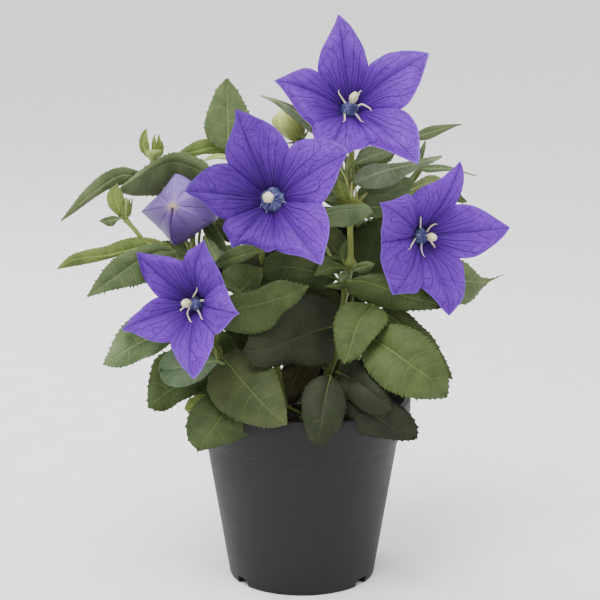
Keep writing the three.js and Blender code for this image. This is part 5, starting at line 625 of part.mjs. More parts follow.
// a stem with the small leaves that are one piece with it; the leaves give way to the other stems
function stemShape(key, g, list) {
  const bodies = [core(key, g)];
  for (const x of list) {
    let m = leafShape(L[x], g, true, true);
    for (const o of Object.keys(STEMS)) if (o !== key && o !== 's10' && o !== 's11') m = m.subtract(g ? CORE[o] : CORE_ROOM[o]);
    bodies.push(m);
  }
  return largest(join(bodies));
}
for (const [node, [key, list]] of Object.entries(FUSED)) addNode(node, 'stem', stemShape(key, 0, list), stemShape(key, GAP, list));
const greenStalk = (g) => join([budCalyx(green, g, 2.6), core('s11', g)]);
addNode('bud_green_calyx', 'calyx', greenStalk(0), greenStalk(GAP));
const shoot = (g) => join([egg(PARTS.shoot, 8, g), leafShape(L.L4, g, true, true), leafShape(L.L5, g, true, true)]);
addNode('bud_small', 'young', shoot(0), shoot(GAP));
const hand = (g) => join([cone(PARTS.hand, 8, g), core('s10', g), ...['H1', 'H2', 'H3', 'H4'].map((x) => leafShape(L[x], g, x === 'H1', true))]);
addNode('bud_cluster_left', 'young', hand(0), hand(GAP));
const NAMED = {
 "TL1": "leaf_top_upright",
 "TL2": "leaf_top_young",
 "L2": "leaf_left_arching",
 "L3": "leaf_left_upper",
 "L6": "leaf_left_long",
 "L7": "leaf_left_lower",
 "L8": "leaf_left_outer",
 "L9": "leaf_left_round",
 "L10": "leaf_left_hanging",
 "L11": "leaf_rim_left",
 "M1": "leaf_centre_small",
 "M2": "leaf_centre_olive",
 "M5": "leaf_centre_broad",
 "M6": "leaf_centre_rear",
 "M8": "leaf_centre_dark",
 "M9": "leaf_front_broad",
 "C1": "leaf_stem_crossing",
 "N4": "leaf_right_long",
 "N5": "leaf_front_hanging",
 "N6": "leaf_right_broad",
 "N7": "leaf_right_rear",
 "P1": "leaf_rim_front",
 "P2": "leaf_front_right",
 "P3": "leaf_rim_right",
 "R2": "leaf_right_pointed",
 "R9": "leaf_right_outer"
};
for (const [key, node] of Object.entries(NAMED)) addNode(node, 'leaf', leafShape(L[key]), leafShape(L[key], GAP));

export default plant;
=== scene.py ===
import math
import bpy
import numpy as np
from mathutils import Vector, Matrix


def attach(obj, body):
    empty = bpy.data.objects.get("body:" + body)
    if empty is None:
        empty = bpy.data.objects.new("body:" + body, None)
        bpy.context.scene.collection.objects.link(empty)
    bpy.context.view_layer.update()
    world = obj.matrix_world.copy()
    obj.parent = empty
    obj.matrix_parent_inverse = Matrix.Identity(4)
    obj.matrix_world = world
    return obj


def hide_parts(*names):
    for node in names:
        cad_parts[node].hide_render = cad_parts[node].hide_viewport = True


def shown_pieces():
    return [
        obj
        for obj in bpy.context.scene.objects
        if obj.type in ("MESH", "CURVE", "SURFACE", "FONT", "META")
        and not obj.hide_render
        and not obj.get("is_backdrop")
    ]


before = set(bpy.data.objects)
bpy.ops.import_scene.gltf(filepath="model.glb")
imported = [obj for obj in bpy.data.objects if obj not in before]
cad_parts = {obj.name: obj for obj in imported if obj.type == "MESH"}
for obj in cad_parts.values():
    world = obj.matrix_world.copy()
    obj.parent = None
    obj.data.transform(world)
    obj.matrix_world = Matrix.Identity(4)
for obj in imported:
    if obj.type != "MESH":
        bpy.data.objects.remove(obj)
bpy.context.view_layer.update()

MM = 0.001

# ------------------------------------------------------------------ grown shapes, in mm
LEAVES = {
 'TL1': {'M': [[-35.4, 12.8, 205.1], [-35.4, 13.7, 209.9], [-35.4, 14.5, 214.7], [-35.4, 15.3, 219.5], [-35.6, 16.1, 224.2], [-35.8, 16.8, 229.0], [-35.9, 17.5, 233.8], [-35.8, 18.1, 238.6]], 'A': [[-36.3, 12.8, 205.1], [-41.2, 12.8, 207.3], [-45.5, 13.0, 211.3], [-46.6, 13.7, 217.1], [-45.1, 14.7, 223.1], [-42.9, 15.8, 228.9], [-40.3, 16.8, 234.5], [-36.1, 18.1, 238.6]], 'B': [[-34.5, 12.8, 205.1], [-29.6, 12.7, 207.6], [-25.3, 12.8, 211.7], [-24.2, 13.5, 217.4], [-25.8, 14.5, 223.3], [-28.4, 15.6, 228.9], [-31.5, 16.8, 234.3], [-35.6, 18.1, 238.6]], 'at': [-34.6, 17.2, 199.4], 'stem': 's9', 'col': 'grey', 'bulge': 0.1, 'serr': 1.0},
 'TL2': {'M': [[-31.7, 15.4, 204.5], [-35.9, 16.1, 205.2], [-40.0, 16.4, 205.9], [-44.1, 16.3, 205.9], [-48.2, 15.8, 205.0], [-52.2, 14.9, 204.2], [-56.2, 13.6, 203.5], [-60.2, 11.9, 202.8]], 'A': [[-31.6, 15.4, 205.4], [-35.2, 16.6, 207.7], [-39.2, 17.2, 209.8], [-43.9, 17.2, 210.4], [-48.6, 16.8, 209.9], [-52.9, 15.7, 208.2], [-56.7, 14.1, 205.7], [-60.2, 12.0, 203.0]], 'B': [[-31.8, 15.4, 203.6], [-35.5, 16.6, 202.4], [-39.7, 17.1, 202.2], [-43.9, 16.9, 203.1], [-48.0, 16.2, 202.9], [-52.1, 15.4, 201.8], [-56.2, 14.0, 201.6], [-60.2, 11.9, 202.5]], 'at': [-34.6, 18.8, 194.5], 'stem': 's9', 'col': 'young2', 'bulge': 0.1, 'serr': 1.0},
 'TR0': {'M': [[9.3, 0.5, 212.2], [5.7, -3.0, 215.9], [2.1, -5.9, 219.4], [-1.6, -8.2, 222.7], [-5.6, -9.8, 225.6], [-9.9, -10.8, 227.9], [-14.5, -11.3, 229.6], [-19.2, -11.1, 231.1]], 'A': [[9.8, 0.4, 213.0], [6.3, -2.8, 216.5], [3.1, -5.5, 220.6], [-0.6, -7.6, 224.1], [-4.8, -9.4, 226.8], [-9.4, -10.5, 228.7], [-14.2, -11.1, 230.2], [-19.1, -11.1, 231.3]], 'B': [[8.9, 0.6, 211.5], [4.5, -2.5, 213.6], [0.5, -5.2, 216.6], [-3.3, -7.5, 219.8], [-7.2, -9.2, 222.9], [-10.9, -10.4, 226.1], [-14.8, -11.1, 228.8], [-19.3, -11.1, 230.8]], 'at': [23.4, 10.1, 205.5], 'stem': 's1', 'col': 'pale', 'bulge': 0.1, 'serr': 0.3},
 'L2': {'M': [[-41.4, 1.0, 192.6], [-47.7, -0.9, 195.9], [-53.9, -3.3, 199.1], [-60.3, -6.4, 200.4], [-66.7, -10.0, 198.4], [-72.5, -14.3, 195.4], [-77.9, -19.1, 192.2], [-83.1, -24.6, 188.8]], 'A': [[-41.3, 0.7, 193.4], [-44.9, -0.1, 199.8], [-52.0, -2.5, 203.3], [-59.2, -5.5, 205.0], [-66.2, -9.3, 202.6], [-72.4, -13.8, 198.3], [-78.0, -18.9, 193.6], [-83.1, -24.7, 189.1]], 'B': [[-41.6, 1.2, 191.8], [-47.1, 3.5, 188.4], [-53.8, 3.8, 186.8], [-60.4, 2.4, 185.2], [-66.7, -1.9, 184.6], [-72.7, -8.2, 185.1], [-78.4, -15.3, 185.7], [-83.1, -24.5, 188.6]], 'at': [-48.9, -12.0, 154.6], 'stem': 's5', 'col': 'grey', 'bulge': 0.1, 'serr': 1.0},
 'L3': {'M': [[-70.6, -7.0, 192.3], [-76.5, -13.5, 194.7], [-82.0, -20.5, 195.4], [-87.0, -28.1, 192.9], [-91.2, -36.4, 189.5], [-95.2, -45.2, 186.3], [-98.6, -54.6, 182.9], [-101.5, -64.7, 179.5]], 'A': [[-70.6, -7.2, 193.1], [-76.1, -12.7, 197.1], [-82.2, -19.4, 199.0], [-88.0, -26.7, 197.3], [-92.7, -35.0, 193.6], [-96.4, -44.2, 189.1], [-99.2, -54.2, 184.2], [-101.6, -64.7, 179.7]], 'B': [[-70.7, -6.8, 191.4], [-76.2, -11.3, 190.0], [-81.8, -18.5, 191.0], [-86.7, -26.7, 189.8], [-91.0, -35.2, 187.2], [-94.6, -44.2, 184.4], [-98.1, -53.9, 181.6], [-101.4, -64.6, 179.2]], 'at': [-66.3, -3.8, 192.1], 'stem': 's10', 'col': 'grey', 'bulge': 0.1, 'serr': 1.0},
 'L6': {'M': [[-60.3, -22.8, 162.9], [-67.3, -25.1, 164.3], [-74.4, -28.8, 163.2], [-81.0, -33.9, 161.9], [-87.4, -40.3, 161.2], [-93.5, -48.1, 161.6], [-98.9, -57.3, 161.6], [-103.2, -67.9, 159.5]], 'A': [[-60.2, -22.8, 163.8], [-67.2, -24.1, 166.8], [-74.8, -27.0, 167.9], [-81.8, -31.9, 166.9], [-87.9, -38.8, 165.1], [-94.2, -46.9, 164.7], [-99.9, -56.5, 163.3], [-103.3, -67.9, 159.7]], 'B': [[-60.3, -22.8, 162.0], [-67.5, -24.1, 161.6], [-74.4, -28.2, 161.6], [-80.9, -33.4, 160.6], [-87.1, -39.6, 159.4], [-93.0, -47.0, 158.8], [-98.4, -56.2, 158.8], [-103.2, -67.9, 159.2]], 'at': [-57.8, -14.3, 148.1], 'stem': 's6', 'col': 'young2', 'bulge': 0.1, 'serr': 1.0},
 'L7': {'M': [[-58.3, -24.9, 161.3], [-64.5, -26.9, 161.7], [-70.1, -29.8, 159.7], [-75.3, -33.8, 157.0], [-79.9, -38.8, 153.9], [-84.3, -44.8, 151.1], [-88.4, -51.8, 148.5], [-92.3, -59.8, 146.2]], 'A': [[-58.8, -25.1, 162.1], [-64.2, -27.1, 165.0], [-71.1, -30.2, 164.5], [-77.6, -34.3, 162.5], [-83.4, -39.4, 159.9], [-87.3, -45.2, 155.9], [-90.2, -52.0, 151.2], [-92.4, -59.8, 146.4]], 'B': [[-57.8, -24.6, 160.6], [-58.1, -24.1, 156.1], [-63.4, -26.5, 151.6], [-69.2, -30.4, 148.4], [-75.2, -36.1, 147.1], [-81.3, -43.1, 146.9], [-87.0, -50.9, 146.4], [-92.2, -59.7, 145.9]], 'at': [-57.0, -11.9, 144.2], 'stem': 's6', 'col': 'grey', 'bulge': 0.1, 'serr': 1.0},
 'L7b': {'M': [[-44.1, -8.0, 153.5], [-47.6, -7.2, 154.5], [-51.0, -6.6, 155.6], [-54.4, -6.2, 156.8], [-57.7, -5.9, 158.2], [-61.0, -5.8, 159.7], [-64.3, -5.8, 161.2], [-67.6, -6.0, 162.7]], 'A': [[-43.8, -8.0, 154.3], [-46.1, -6.7, 156.9], [-48.4, -5.6, 160.2], [-51.7, -4.9, 162.4], [-55.5, -4.7, 163.6], [-59.6, -4.9, 163.8], [-63.7, -5.3, 163.6], [-67.5, -6.0, 162.9]], 'B': [[-44.4, -8.0, 152.6], [-47.9, -6.5, 151.8], [-51.8, -5.4, 151.2], [-55.7, -4.9, 152.4], [-59.2, -4.7, 154.2], [-62.5, -4.8, 156.6], [-65.3, -5.2, 159.3], [-67.7, -6.0, 162.4]], 'at': [-42.2, -7.8, 125.8], 'stem': 's5', 'col': 'grey', 'bulge': 0.1, 'serr': 1.0},
 'L8': {'M': [[-57.3, -22.0, 126.5], [-62.0, -25.4, 124.9], [-66.8, -28.9, 123.2], [-71.3, -32.3, 121.3], [-75.9, -35.7, 119.5], [-80.2, -39.1, 117.5], [-84.5, -42.6, 115.4], [-88.6, -46.0, 113.2]], 'A': [[-57.7, -22.0, 127.3], [-63.2, -24.0, 130.3], [-69.5, -26.3, 132.7], [-75.7, -29.2, 132.4], [-80.5, -33.0, 129.0], [-83.8, -37.2, 124.0], [-85.9, -41.7, 118.4], [-88.7, -46.0, 113.4]], 'B': [[-56.8, -22.0, 125.7], [-57.9, -24.0, 120.6], [-62.5, -27.0, 116.8], [-67.5, -30.3, 114.2], [-72.5, -33.9, 113.0], [-77.6, -37.5, 111.3], [-83.2, -41.5, 111.0], [-88.5, -46.0, 113.0]], 'at': [-36.9, -18.0, 107.8], 'stem': 's3', 'col': 'grey2', 'bulge': 0.1, 'serr': 1.0},
 'L9': {'M': [[-38.3, -39.5, 113.4], [-42.0, -38.8, 112.6], [-45.6, -38.0, 111.8], [-49.4, -37.2, 110.8], [-53.1, -36.3, 110.0], [-56.9, -35.3, 109.3], [-60.7, -34.2, 108.5], [-64.5, -33.0, 107.8]], 'A': [[-38.4, -39.5, 114.3], [-41.6, -37.9, 116.8], [-46.1, -36.6, 118.7], [-51.0, -35.4, 119.6], [-56.0, -34.4, 119.0], [-60.5, -33.6, 116.8], [-63.5, -33.2, 112.8], [-64.5, -33.0, 108.0]], 'B': [[-38.2, -39.5, 112.5], [-40.9, -38.3, 108.7], [-44.4, -37.1, 104.6], [-48.9, -36.1, 102.0], [-53.8, -35.1, 100.5], [-58.9, -34.2, 100.8], [-63.1, -33.5, 103.1], [-64.5, -33.1, 107.5]], 'at': [-32.1, -16.0, 99.5], 'stem': 's3', 'col': 'blue', 'bulge': 0.1, 'serr': 0.3},
 'L10': {'M': [[-43.0, -18.0, 103.9], [-47.4, -19.5, 102.2], [-51.7, -21.2, 100.5], [-55.9, -23.0, 98.8], [-60.0, -25.0, 96.9], [-63.9, -27.2, 94.9], [-67.4, -29.5, 92.3], [-70.7, -32.0, 89.7]], 'A': [[-43.5, -18.0, 104.7], [-49.3, -17.6, 108.2], [-56.0, -17.5, 111.7], [-63.3, -18.1, 113.0], [-68.6, -20.4, 109.6], [-70.4, -24.0, 103.1], [-71.3, -27.8, 96.3], [-70.8, -32.0, 89.9]], 'B': [[-42.6, -18.0, 103.1], [-44.1, -18.1, 98.4], [-46.8, -19.0, 94.3], [-51.7, -20.8, 92.2], [-56.5, -22.9, 90.3], [-61.0, -25.1, 87.9], [-65.9, -28.1, 87.4], [-70.5, -32.0, 89.5]], 'at': [-29.0, -14.2, 95.0], 'stem': 's3', 'col': 'mid', 'bulge': 0.1, 'serr': 1.0},
 'L11': {'M': [[-30.0, -36.4, 95.5], [-32.5, -39.9, 93.0], [-34.9, -43.0, 90.4], [-37.2, -45.8, 87.7], [-39.6, -48.1, 84.9], [-41.8, -50.0, 81.9], [-43.9, -51.6, 78.7], [-45.9, -52.7, 75.3]], 'A': [[-30.9, -36.3, 95.8], [-35.9, -37.0, 97.8], [-41.9, -38.3, 97.1], [-47.0, -40.2, 94.2], [-50.5, -42.5, 89.5], [-51.9, -45.3, 84.0], [-50.4, -48.6, 78.8], [-46.1, -52.7, 75.4]], 'B': [[-29.2, -36.5, 95.2], [-23.1, -38.5, 93.3], [-18.2, -40.5, 89.8], [-20.1, -43.1, 83.8], [-25.7, -45.9, 80.0], [-32.2, -48.5, 78.0], [-39.0, -50.7, 76.4], [-45.6, -52.7, 75.3]], 'at': [1.2, -17.0, 81.9], 'stem': 's7', 'col': 'mid2', 'bulge': 0.1, 'serr': 1.0},
 'M0a': {'M': [[-46.7, -7.5, 173.7], [-44.7, -8.3, 171.8], [-42.6, -9.8, 169.9], [-40.7, -12.1, 168.1], [-38.8, -15.1, 166.3], [-37.0, -18.9, 164.5], [-35.2, -23.4, 162.8], [-33.5, -28.7, 161.2]], 'A': [[-47.3, -7.4, 173.1], [-46.7, -7.5, 170.6], [-45.9, -8.6, 167.8], [-44.2, -10.7, 165.5], [-42.0, -13.8, 163.6], [-39.6, -17.7, 161.9], [-36.7, -22.8, 161.3], [-33.6, -28.7, 161.0]], 'B': [[-46.0, -7.6, 174.2], [-43.7, -7.9, 173.3], [-41.2, -9.3, 172.0], [-39.3, -11.6, 169.8], [-37.5, -14.7, 167.7], [-35.8, -18.6, 165.5], [-34.6, -23.3, 163.3], [-33.3, -28.8, 161.3]], 'at': [-44.9, -9.9, 140.3], 'stem': 's5', 'col': 'mid', 'bulge': 0.1, 'serr': 0.2},
 'M0b': {'M': [[-44.6, -24.0, 168.1], [-43.5, -25.1, 166.5], [-42.5, -26.3, 165.0], [-41.4, -27.4, 163.4], [-40.5, -28.6, 161.8], [-39.6, -29.7, 160.2], [-39.0, -30.9, 158.5], [-38.3, -32.0, 156.8]], 'A': [[-45.4, -24.0, 167.8], [-44.8, -24.9, 166.1], [-44.6, -25.8, 164.2], [-43.8, -26.9, 162.4], [-42.8, -28.1, 160.7], [-41.5, -29.3, 159.1], [-40.1, -30.6, 157.7], [-38.5, -32.0, 156.7]], 'B': [[-43.8, -24.0, 168.4], [-42.6, -24.9, 167.0], [-40.6, -25.9, 165.8], [-38.9, -26.9, 164.5], [-37.6, -27.9, 162.8], [-37.2, -29.2, 160.8], [-37.6, -30.6, 158.8], [-38.1, -32.0, 156.9]], 'at': [-43.8, -9.0, 134.1], 'stem': 's5', 'col': 'grey', 'bulge': 0.1, 'serr': 0.3},
 'M1': {'M': [[-39.2, -38.8, 156.9], [-35.7, -44.1, 158.7], [-32.3, -48.3, 160.4], [-29.1, -51.3, 161.8], [-25.8, -53.2, 163.1], [-22.7, -53.9, 164.0], [-19.5, -53.5, 164.6], [-16.3, -51.9, 164.8]], 'A': [[-39.4, -39.0, 157.7], [-36.6, -44.0, 160.7], [-33.6, -48.0, 163.7], [-30.1, -51.0, 165.9], [-26.6, -52.9, 167.5], [-23.0, -53.6, 167.9], [-19.6, -53.3, 166.6], [-16.4, -51.9, 165.1]], 'B': [[-39.0, -38.7, 156.0], [-35.7, -43.4, 156.3], [-32.1, -47.4, 157.4], [-28.8, -50.5, 159.1], [-25.5, -52.3, 160.3], [-22.3, -53.2, 161.7], [-19.4, -53.1, 163.5], [-16.3, -51.9, 164.6]], 'at': [-37.2, -18.1, 127.6], 'stem': 's3', 'col': 'mid2', 'bulge': 0.1, 'serr': 1.0},
 'M2': {'M': [[-30.0, -30.0, 141.9], [-28.3, -30.0, 143.6], [-26.6, -30.0, 145.3], [-24.9, -30.0, 147.0], [-23.2, -30.0, 148.7], [-21.5, -30.0, 150.4], [-19.9, -30.0, 152.2], [-18.3, -30.0, 154.0]], 'A': [[-30.8, -29.9, 142.2], [-34.0, -28.8, 144.4], [-36.5, -27.9, 148.2], [-35.9, -27.5, 152.4], [-32.6, -27.7, 155.2], [-27.8, -28.3, 155.9], [-23.0, -29.1, 155.3], [-18.5, -30.0, 154.2]], 'B': [[-29.1, -30.1, 141.6], [-27.1, -29.6, 142.1], [-24.3, -29.3, 142.5], [-21.8, -29.1, 143.8], [-19.8, -29.1, 145.7], [-18.5, -29.3, 148.3], [-18.0, -29.6, 151.1], [-18.1, -30.0, 153.9]], 'at': [-40.1, -17.5, 115.7], 'stem': 's3', 'col': 'mid', 'bulge': 0.1, 'serr': 1.0},
 'M4': {'M': [[-42.0, -38.0, 150.0], [-39.8, -37.8, 149.5], [-37.7, -37.8, 149.0], [-35.5, -37.9, 148.5], [-33.4, -38.2, 147.7], [-31.4, -38.6, 146.9], [-29.4, -39.2, 145.9], [-27.4, -40.0, 144.9]], 'A': [[-41.9, -38.0, 150.9], [-40.3, -37.3, 151.7], [-38.2, -37.2, 151.8], [-35.9, -37.4, 150.6], [-33.7, -37.8, 149.2], [-31.5, -38.4, 147.9], [-29.2, -39.1, 146.7], [-27.4, -40.0, 145.1]], 'B': [[-42.1, -38.0, 149.1], [-40.8, -37.4, 147.9], [-39.2, -37.2, 146.4], [-36.9, -37.3, 145.8], [-34.6, -37.6, 145.3], [-32.2, -38.2, 144.8], [-29.9, -39.0, 144.6], [-27.5, -40.0, 144.7]], 'at': [-39.8, -17.4, 120.9], 'stem': 's3', 'col': 'grey', 'bulge': 0.1, 'serr': 0.3},
 'M5': {'M': [[-39.6, -36.1, 134.7], [-33.1, -40.2, 136.7], [-26.8, -43.4, 138.4], [-20.6, -45.8, 140.2], [-14.6, -47.2, 142.0], [-8.6, -47.7, 143.7], [-2.9, -47.3, 146.0], [2.8, -45.9, 148.3]], 'A': [[-39.5, -36.2, 135.6], [-36.1, -39.3, 141.5], [-30.1, -42.4, 144.4], [-23.1, -44.8, 145.7], [-16.7, -46.1, 148.6], [-10.4, -46.5, 151.2], [-3.9, -46.6, 150.1], [2.8, -46.0, 148.6]], 'B': [[-39.7, -36.0, 133.8], [-37.2, -38.0, 128.1], [-29.1, -40.7, 126.7], [-20.6, -42.7, 126.8], [-13.4, -44.4, 129.9], [-8.3, -46.0, 136.8], [-2.0, -46.3, 141.9], [2.9, -45.9, 148.1]], 'at': [-38.4, -18.0, 111.9], 'stem': 's3', 'col': 'mid2', 'bulge': 0.1, 'serr': 1.0},
 'M6': {'M': [[15.8, -13.8, 147.2], [10.9, -15.5, 148.9], [6.0, -17.1, 150.6], [1.2, -18.4, 152.0], [-3.7, -19.7, 153.0], [-8.7, -20.7, 153.4], [-13.6, -21.6, 152.5], [-18.4, -22.3, 151.3]], 'A': [[15.8, -13.8, 148.2], [11.8, -14.6, 152.5], [7.1, -15.6, 156.8], [1.1, -16.8, 158.9], [-5.2, -17.9, 160.2], [-11.4, -19.0, 160.2], [-16.4, -20.3, 157.1], [-18.4, -22.3, 151.6]], 'B': [[15.8, -13.7, 146.2], [12.0, -14.4, 142.9], [7.1, -15.4, 141.6], [1.4, -16.7, 142.5], [-4.2, -17.8, 143.5], [-9.8, -19.0, 144.5], [-15.2, -20.3, 146.2], [-18.3, -22.3, 151.0]], 'at': [20.4, -7.2, 139.9], 'stem': 's1', 'col': 'mid2', 'bulge': 0.1, 'serr': 1.0},
 'M8': {'M': [[19.4, -21.3, 126.9], [12.5, -26.6, 126.3], [5.8, -31.2, 125.5], [-0.5, -35.2, 123.7], [-6.8, -38.4, 121.8], [-13.0, -40.9, 119.8], [-19.5, -42.7, 119.0], [-26.1, -43.8, 118.4]], 'A': [[19.3, -21.1, 127.8], [14.9, -23.6, 135.9], [7.2, -26.4, 141.4], [-1.6, -29.8, 141.4], [-8.7, -33.9, 136.4], [-14.9, -37.6, 130.3], [-22.6, -40.3, 126.1], [-26.2, -43.7, 118.7]], 'B': [[19.5, -21.4, 125.9], [16.3, -26.9, 118.5], [13.0, -31.7, 110.9], [5.0, -35.6, 109.3], [-2.9, -38.7, 111.8], [-11.4, -41.1, 111.2], [-20.6, -42.9, 111.7], [-26.1, -43.8, 118.1]], 'at': [16.7, -4.3, 112.9], 'stem': 's1', 'col': 'shade', 'bulge': 0.1, 'serr': 1.0},
 'M9': {'M': [[-36.5, -31.4, 113.5], [-32.2, -36.7, 110.0], [-28.2, -41.7, 106.3], [-24.1, -46.5, 102.8], [-20.0, -50.9, 99.3], [-15.8, -55.0, 96.0], [-11.4, -58.7, 92.9], [-6.6, -62.2, 90.3]], 'A': [[-37.1, -31.7, 112.9], [-41.2, -35.8, 107.4], [-42.3, -40.3, 100.0], [-38.5, -44.9, 93.6], [-31.4, -49.5, 89.7], [-23.2, -53.9, 87.9], [-14.8, -58.1, 87.6], [-6.8, -62.2, 90.1]], 'B': [[-35.9, -31.0, 114.0], [-30.0, -30.2, 117.1], [-22.9, -32.2, 115.8], [-16.4, -35.9, 112.1], [-11.6, -40.8, 107.3], [-9.0, -47.3, 101.6], [-7.1, -54.2, 95.8], [-6.4, -62.1, 90.5]], 'at': [-29.8, -14.7, 96.1], 'stem': 's3', 'col': 'mid2', 'bulge': 0.1, 'serr': 1.0},
 'C1': {'M': [[7.3, -16.0, 175.9], [10.8, -17.6, 177.4], [14.2, -18.8, 178.8], [17.7, -19.7, 179.7], [21.3, -20.2, 180.1], [24.9, -20.5, 180.3], [28.6, -20.4, 179.9], [32.1, -20.0, 179.1]], 'A': [[7.5, -16.3, 176.8], [10.3, -17.1, 178.7], [13.7, -18.1, 180.8], [17.6, -19.1, 181.6], [21.6, -19.7, 182.0], [25.6, -19.9, 182.2], [29.5, -19.8, 181.8], [32.2, -20.1, 179.3]], 'B': [[7.2, -15.7, 175.1], [9.4, -15.0, 172.1], [13.2, -15.2, 171.1], [17.4, -15.8, 171.5], [21.6, -16.3, 171.8], [25.4, -17.4, 173.7], [29.0, -18.6, 176.1], [32.1, -19.9, 178.8]], 'at': [22.5, -3.7, 181.9], 'stem': 's1', 'col': 'grey2', 'bulge': 0.1, 'serr': 1.0},
 'C2': {'M': [[21.9, -8.4, 180.3], [20.9, -9.7, 182.2], [20.0, -10.8, 184.0], [19.1, -11.8, 185.8], [18.2, -12.6, 187.6], [17.4, -13.2, 189.4], [16.9, -13.7, 191.3], [16.5, -13.9, 193.2]], 'A': [[21.1, -8.3, 179.8], [19.6, -9.3, 181.1], [17.9, -10.3, 182.4], [16.6, -11.2, 184.5], [15.7, -12.0, 186.6], [15.2, -12.7, 188.9], [15.7, -13.4, 191.1], [16.3, -13.9, 193.1]], 'B': [[22.6, -8.4, 180.7], [22.1, -9.4, 182.5], [22.1, -10.4, 184.6], [21.4, -11.3, 186.7], [20.6, -12.0, 188.7], [19.6, -12.7, 190.7], [18.4, -13.3, 192.3], [16.7, -13.9, 193.3]], 'at': [22.6, -3.3, 182.6], 'stem': 's1', 'col': 'young', 'bulge': 0.1, 'serr': 1.0},
 'C3': {'M': [[21.5, -5.7, 179.6], [20.1, -6.3, 180.4], [18.7, -6.9, 181.3], [17.4, -7.5, 182.2], [15.9, -8.1, 182.7], [14.3, -8.7, 182.8], [12.7, -9.4, 183.0], [11.1, -10.1, 183.2]], 'A': [[21.8, -5.7, 180.4], [20.4, -6.1, 181.1], [19.2, -6.6, 182.6], [17.8, -7.1, 183.7], [16.1, -7.7, 184.4], [14.3, -8.4, 184.7], [12.6, -9.2, 184.2], [11.2, -10.1, 183.5]], 'B': [[21.2, -5.7, 178.7], [19.8, -6.1, 179.6], [18.1, -6.5, 179.7], [16.5, -7.0, 179.8], [14.8, -7.5, 180.1], [13.2, -8.3, 180.7], [11.9, -9.1, 181.7], [11.1, -10.1, 183.0]], 'at': [22.5, -4.2, 180.5], 'stem': 's1', 'col': 'grey2', 'bulge': 0.1, 'serr': 1.0},
 'W1': {'M': [[21.0, -12.0, 151.4], [18.6, -14.0, 152.0], [16.3, -15.8, 152.4], [14.0, -17.2, 152.5], [11.8, -18.4, 152.3], [9.7, -19.4, 151.5], [7.7, -20.0, 150.4], [5.7, -20.4, 149.4]], 'A': [[20.8, -12.0, 152.5], [18.5, -13.7, 153.5], [16.0, -15.3, 155.0], [13.2, -16.6, 155.9], [10.4, -17.8, 155.7], [8.0, -18.7, 154.5], [6.6, -19.6, 152.2], [5.6, -20.3, 149.7]], 'B': [[21.1, -12.0, 150.3], [19.0, -13.7, 150.4], [16.9, -15.3, 149.6], [14.7, -16.7, 149.6], [12.5, -18.0, 149.5], [10.2, -19.0, 149.4], [8.0, -19.8, 149.4], [5.9, -20.4, 149.1]], 'at': [22.2, -7.9, 151.9], 'stem': 's1', 'col': 'mid', 'bulge': 0.1, 'serr': 0.3},
 'W2': {'M': [[23.8, -11.0, 150.6], [25.2, -12.0, 151.3], [26.5, -12.8, 151.9], [27.9, -13.6, 152.5], [29.3, -14.3, 153.0], [30.7, -15.0, 153.5], [32.1, -15.5, 153.8], [33.5, -16.0, 154.1]], 'A': [[23.5, -11.0, 151.4], [24.6, -11.7, 152.2], [25.6, -12.5, 153.6], [27.2, -13.2, 154.4], [28.8, -14.0, 154.9], [30.5, -14.6, 155.2], [32.0, -15.3, 154.8], [33.5, -16.0, 154.3]], 'B': [[24.1, -11.0, 149.7], [25.4, -11.7, 149.9], [27.0, -12.4, 149.6], [28.8, -13.1, 149.5], [30.4, -13.7, 150.0], [31.9, -14.4, 151.0], [32.9, -15.2, 152.4], [33.6, -16.0, 153.9]], 'at': [22.3, -7.9, 152.7], 'stem': 's1', 'col': 'grey2', 'bulge': 0.1, 'serr': 0.3},
 'W3': {'M': [[20.6, -10.0, 152.3], [19.7, -9.7, 154.0], [19.0, -9.4, 155.7], [18.7, -9.1, 157.4], [18.7, -8.9, 159.3], [19.1, -8.6, 161.0], [20.0, -8.3, 162.7], [20.8, -8.0, 164.3]], 'A': [[19.7, -10.0, 152.0], [18.7, -9.6, 153.3], [17.6, -9.3, 154.8], [17.3, -9.0, 156.9], [17.5, -8.7, 159.0], [18.1, -8.5, 161.1], [19.3, -8.2, 162.8], [20.6, -8.0, 164.3]], 'B': [[21.4, -10.0, 152.6], [20.8, -9.6, 154.0], [21.0, -9.2, 155.7], [20.9, -8.9, 157.4], [20.9, -8.7, 159.2], [20.9, -8.4, 160.9], [21.0, -8.2, 162.6], [21.1, -8.0, 164.3]], 'at': [22.4, -8.0, 153.4], 'stem': 's1', 'col': 'mid', 'bulge': 0.1, 'serr': 0.3},
 'W4': {'M': [[22.3, -13.6, 148.1], [21.4, -15.8, 148.5], [20.4, -17.6, 148.7], [19.6, -19.0, 148.6], [18.8, -20.2, 148.4], [18.1, -20.9, 148.0], [17.4, -21.4, 147.6], [16.8, -21.4, 147.0]], 'A': [[22.2, -13.5, 149.2], [21.6, -15.5, 149.8], [20.7, -17.1, 151.2], [19.3, -18.5, 151.4], [18.1, -19.7, 150.8], [17.1, -20.5, 149.8], [16.8, -21.1, 148.5], [16.7, -21.4, 147.3]], 'B': [[22.5, -13.6, 147.1], [21.9, -15.5, 147.4], [21.4, -17.2, 146.6], [20.5, -18.6, 146.2], [19.6, -19.8, 146.0], [18.5, -20.6, 146.0], [17.5, -21.1, 146.1], [16.8, -21.4, 146.7]], 'at': [21.6, -7.6, 147.4], 'stem': 's1', 'col': 'grey', 'bulge': 0.1, 'serr': 0.3},
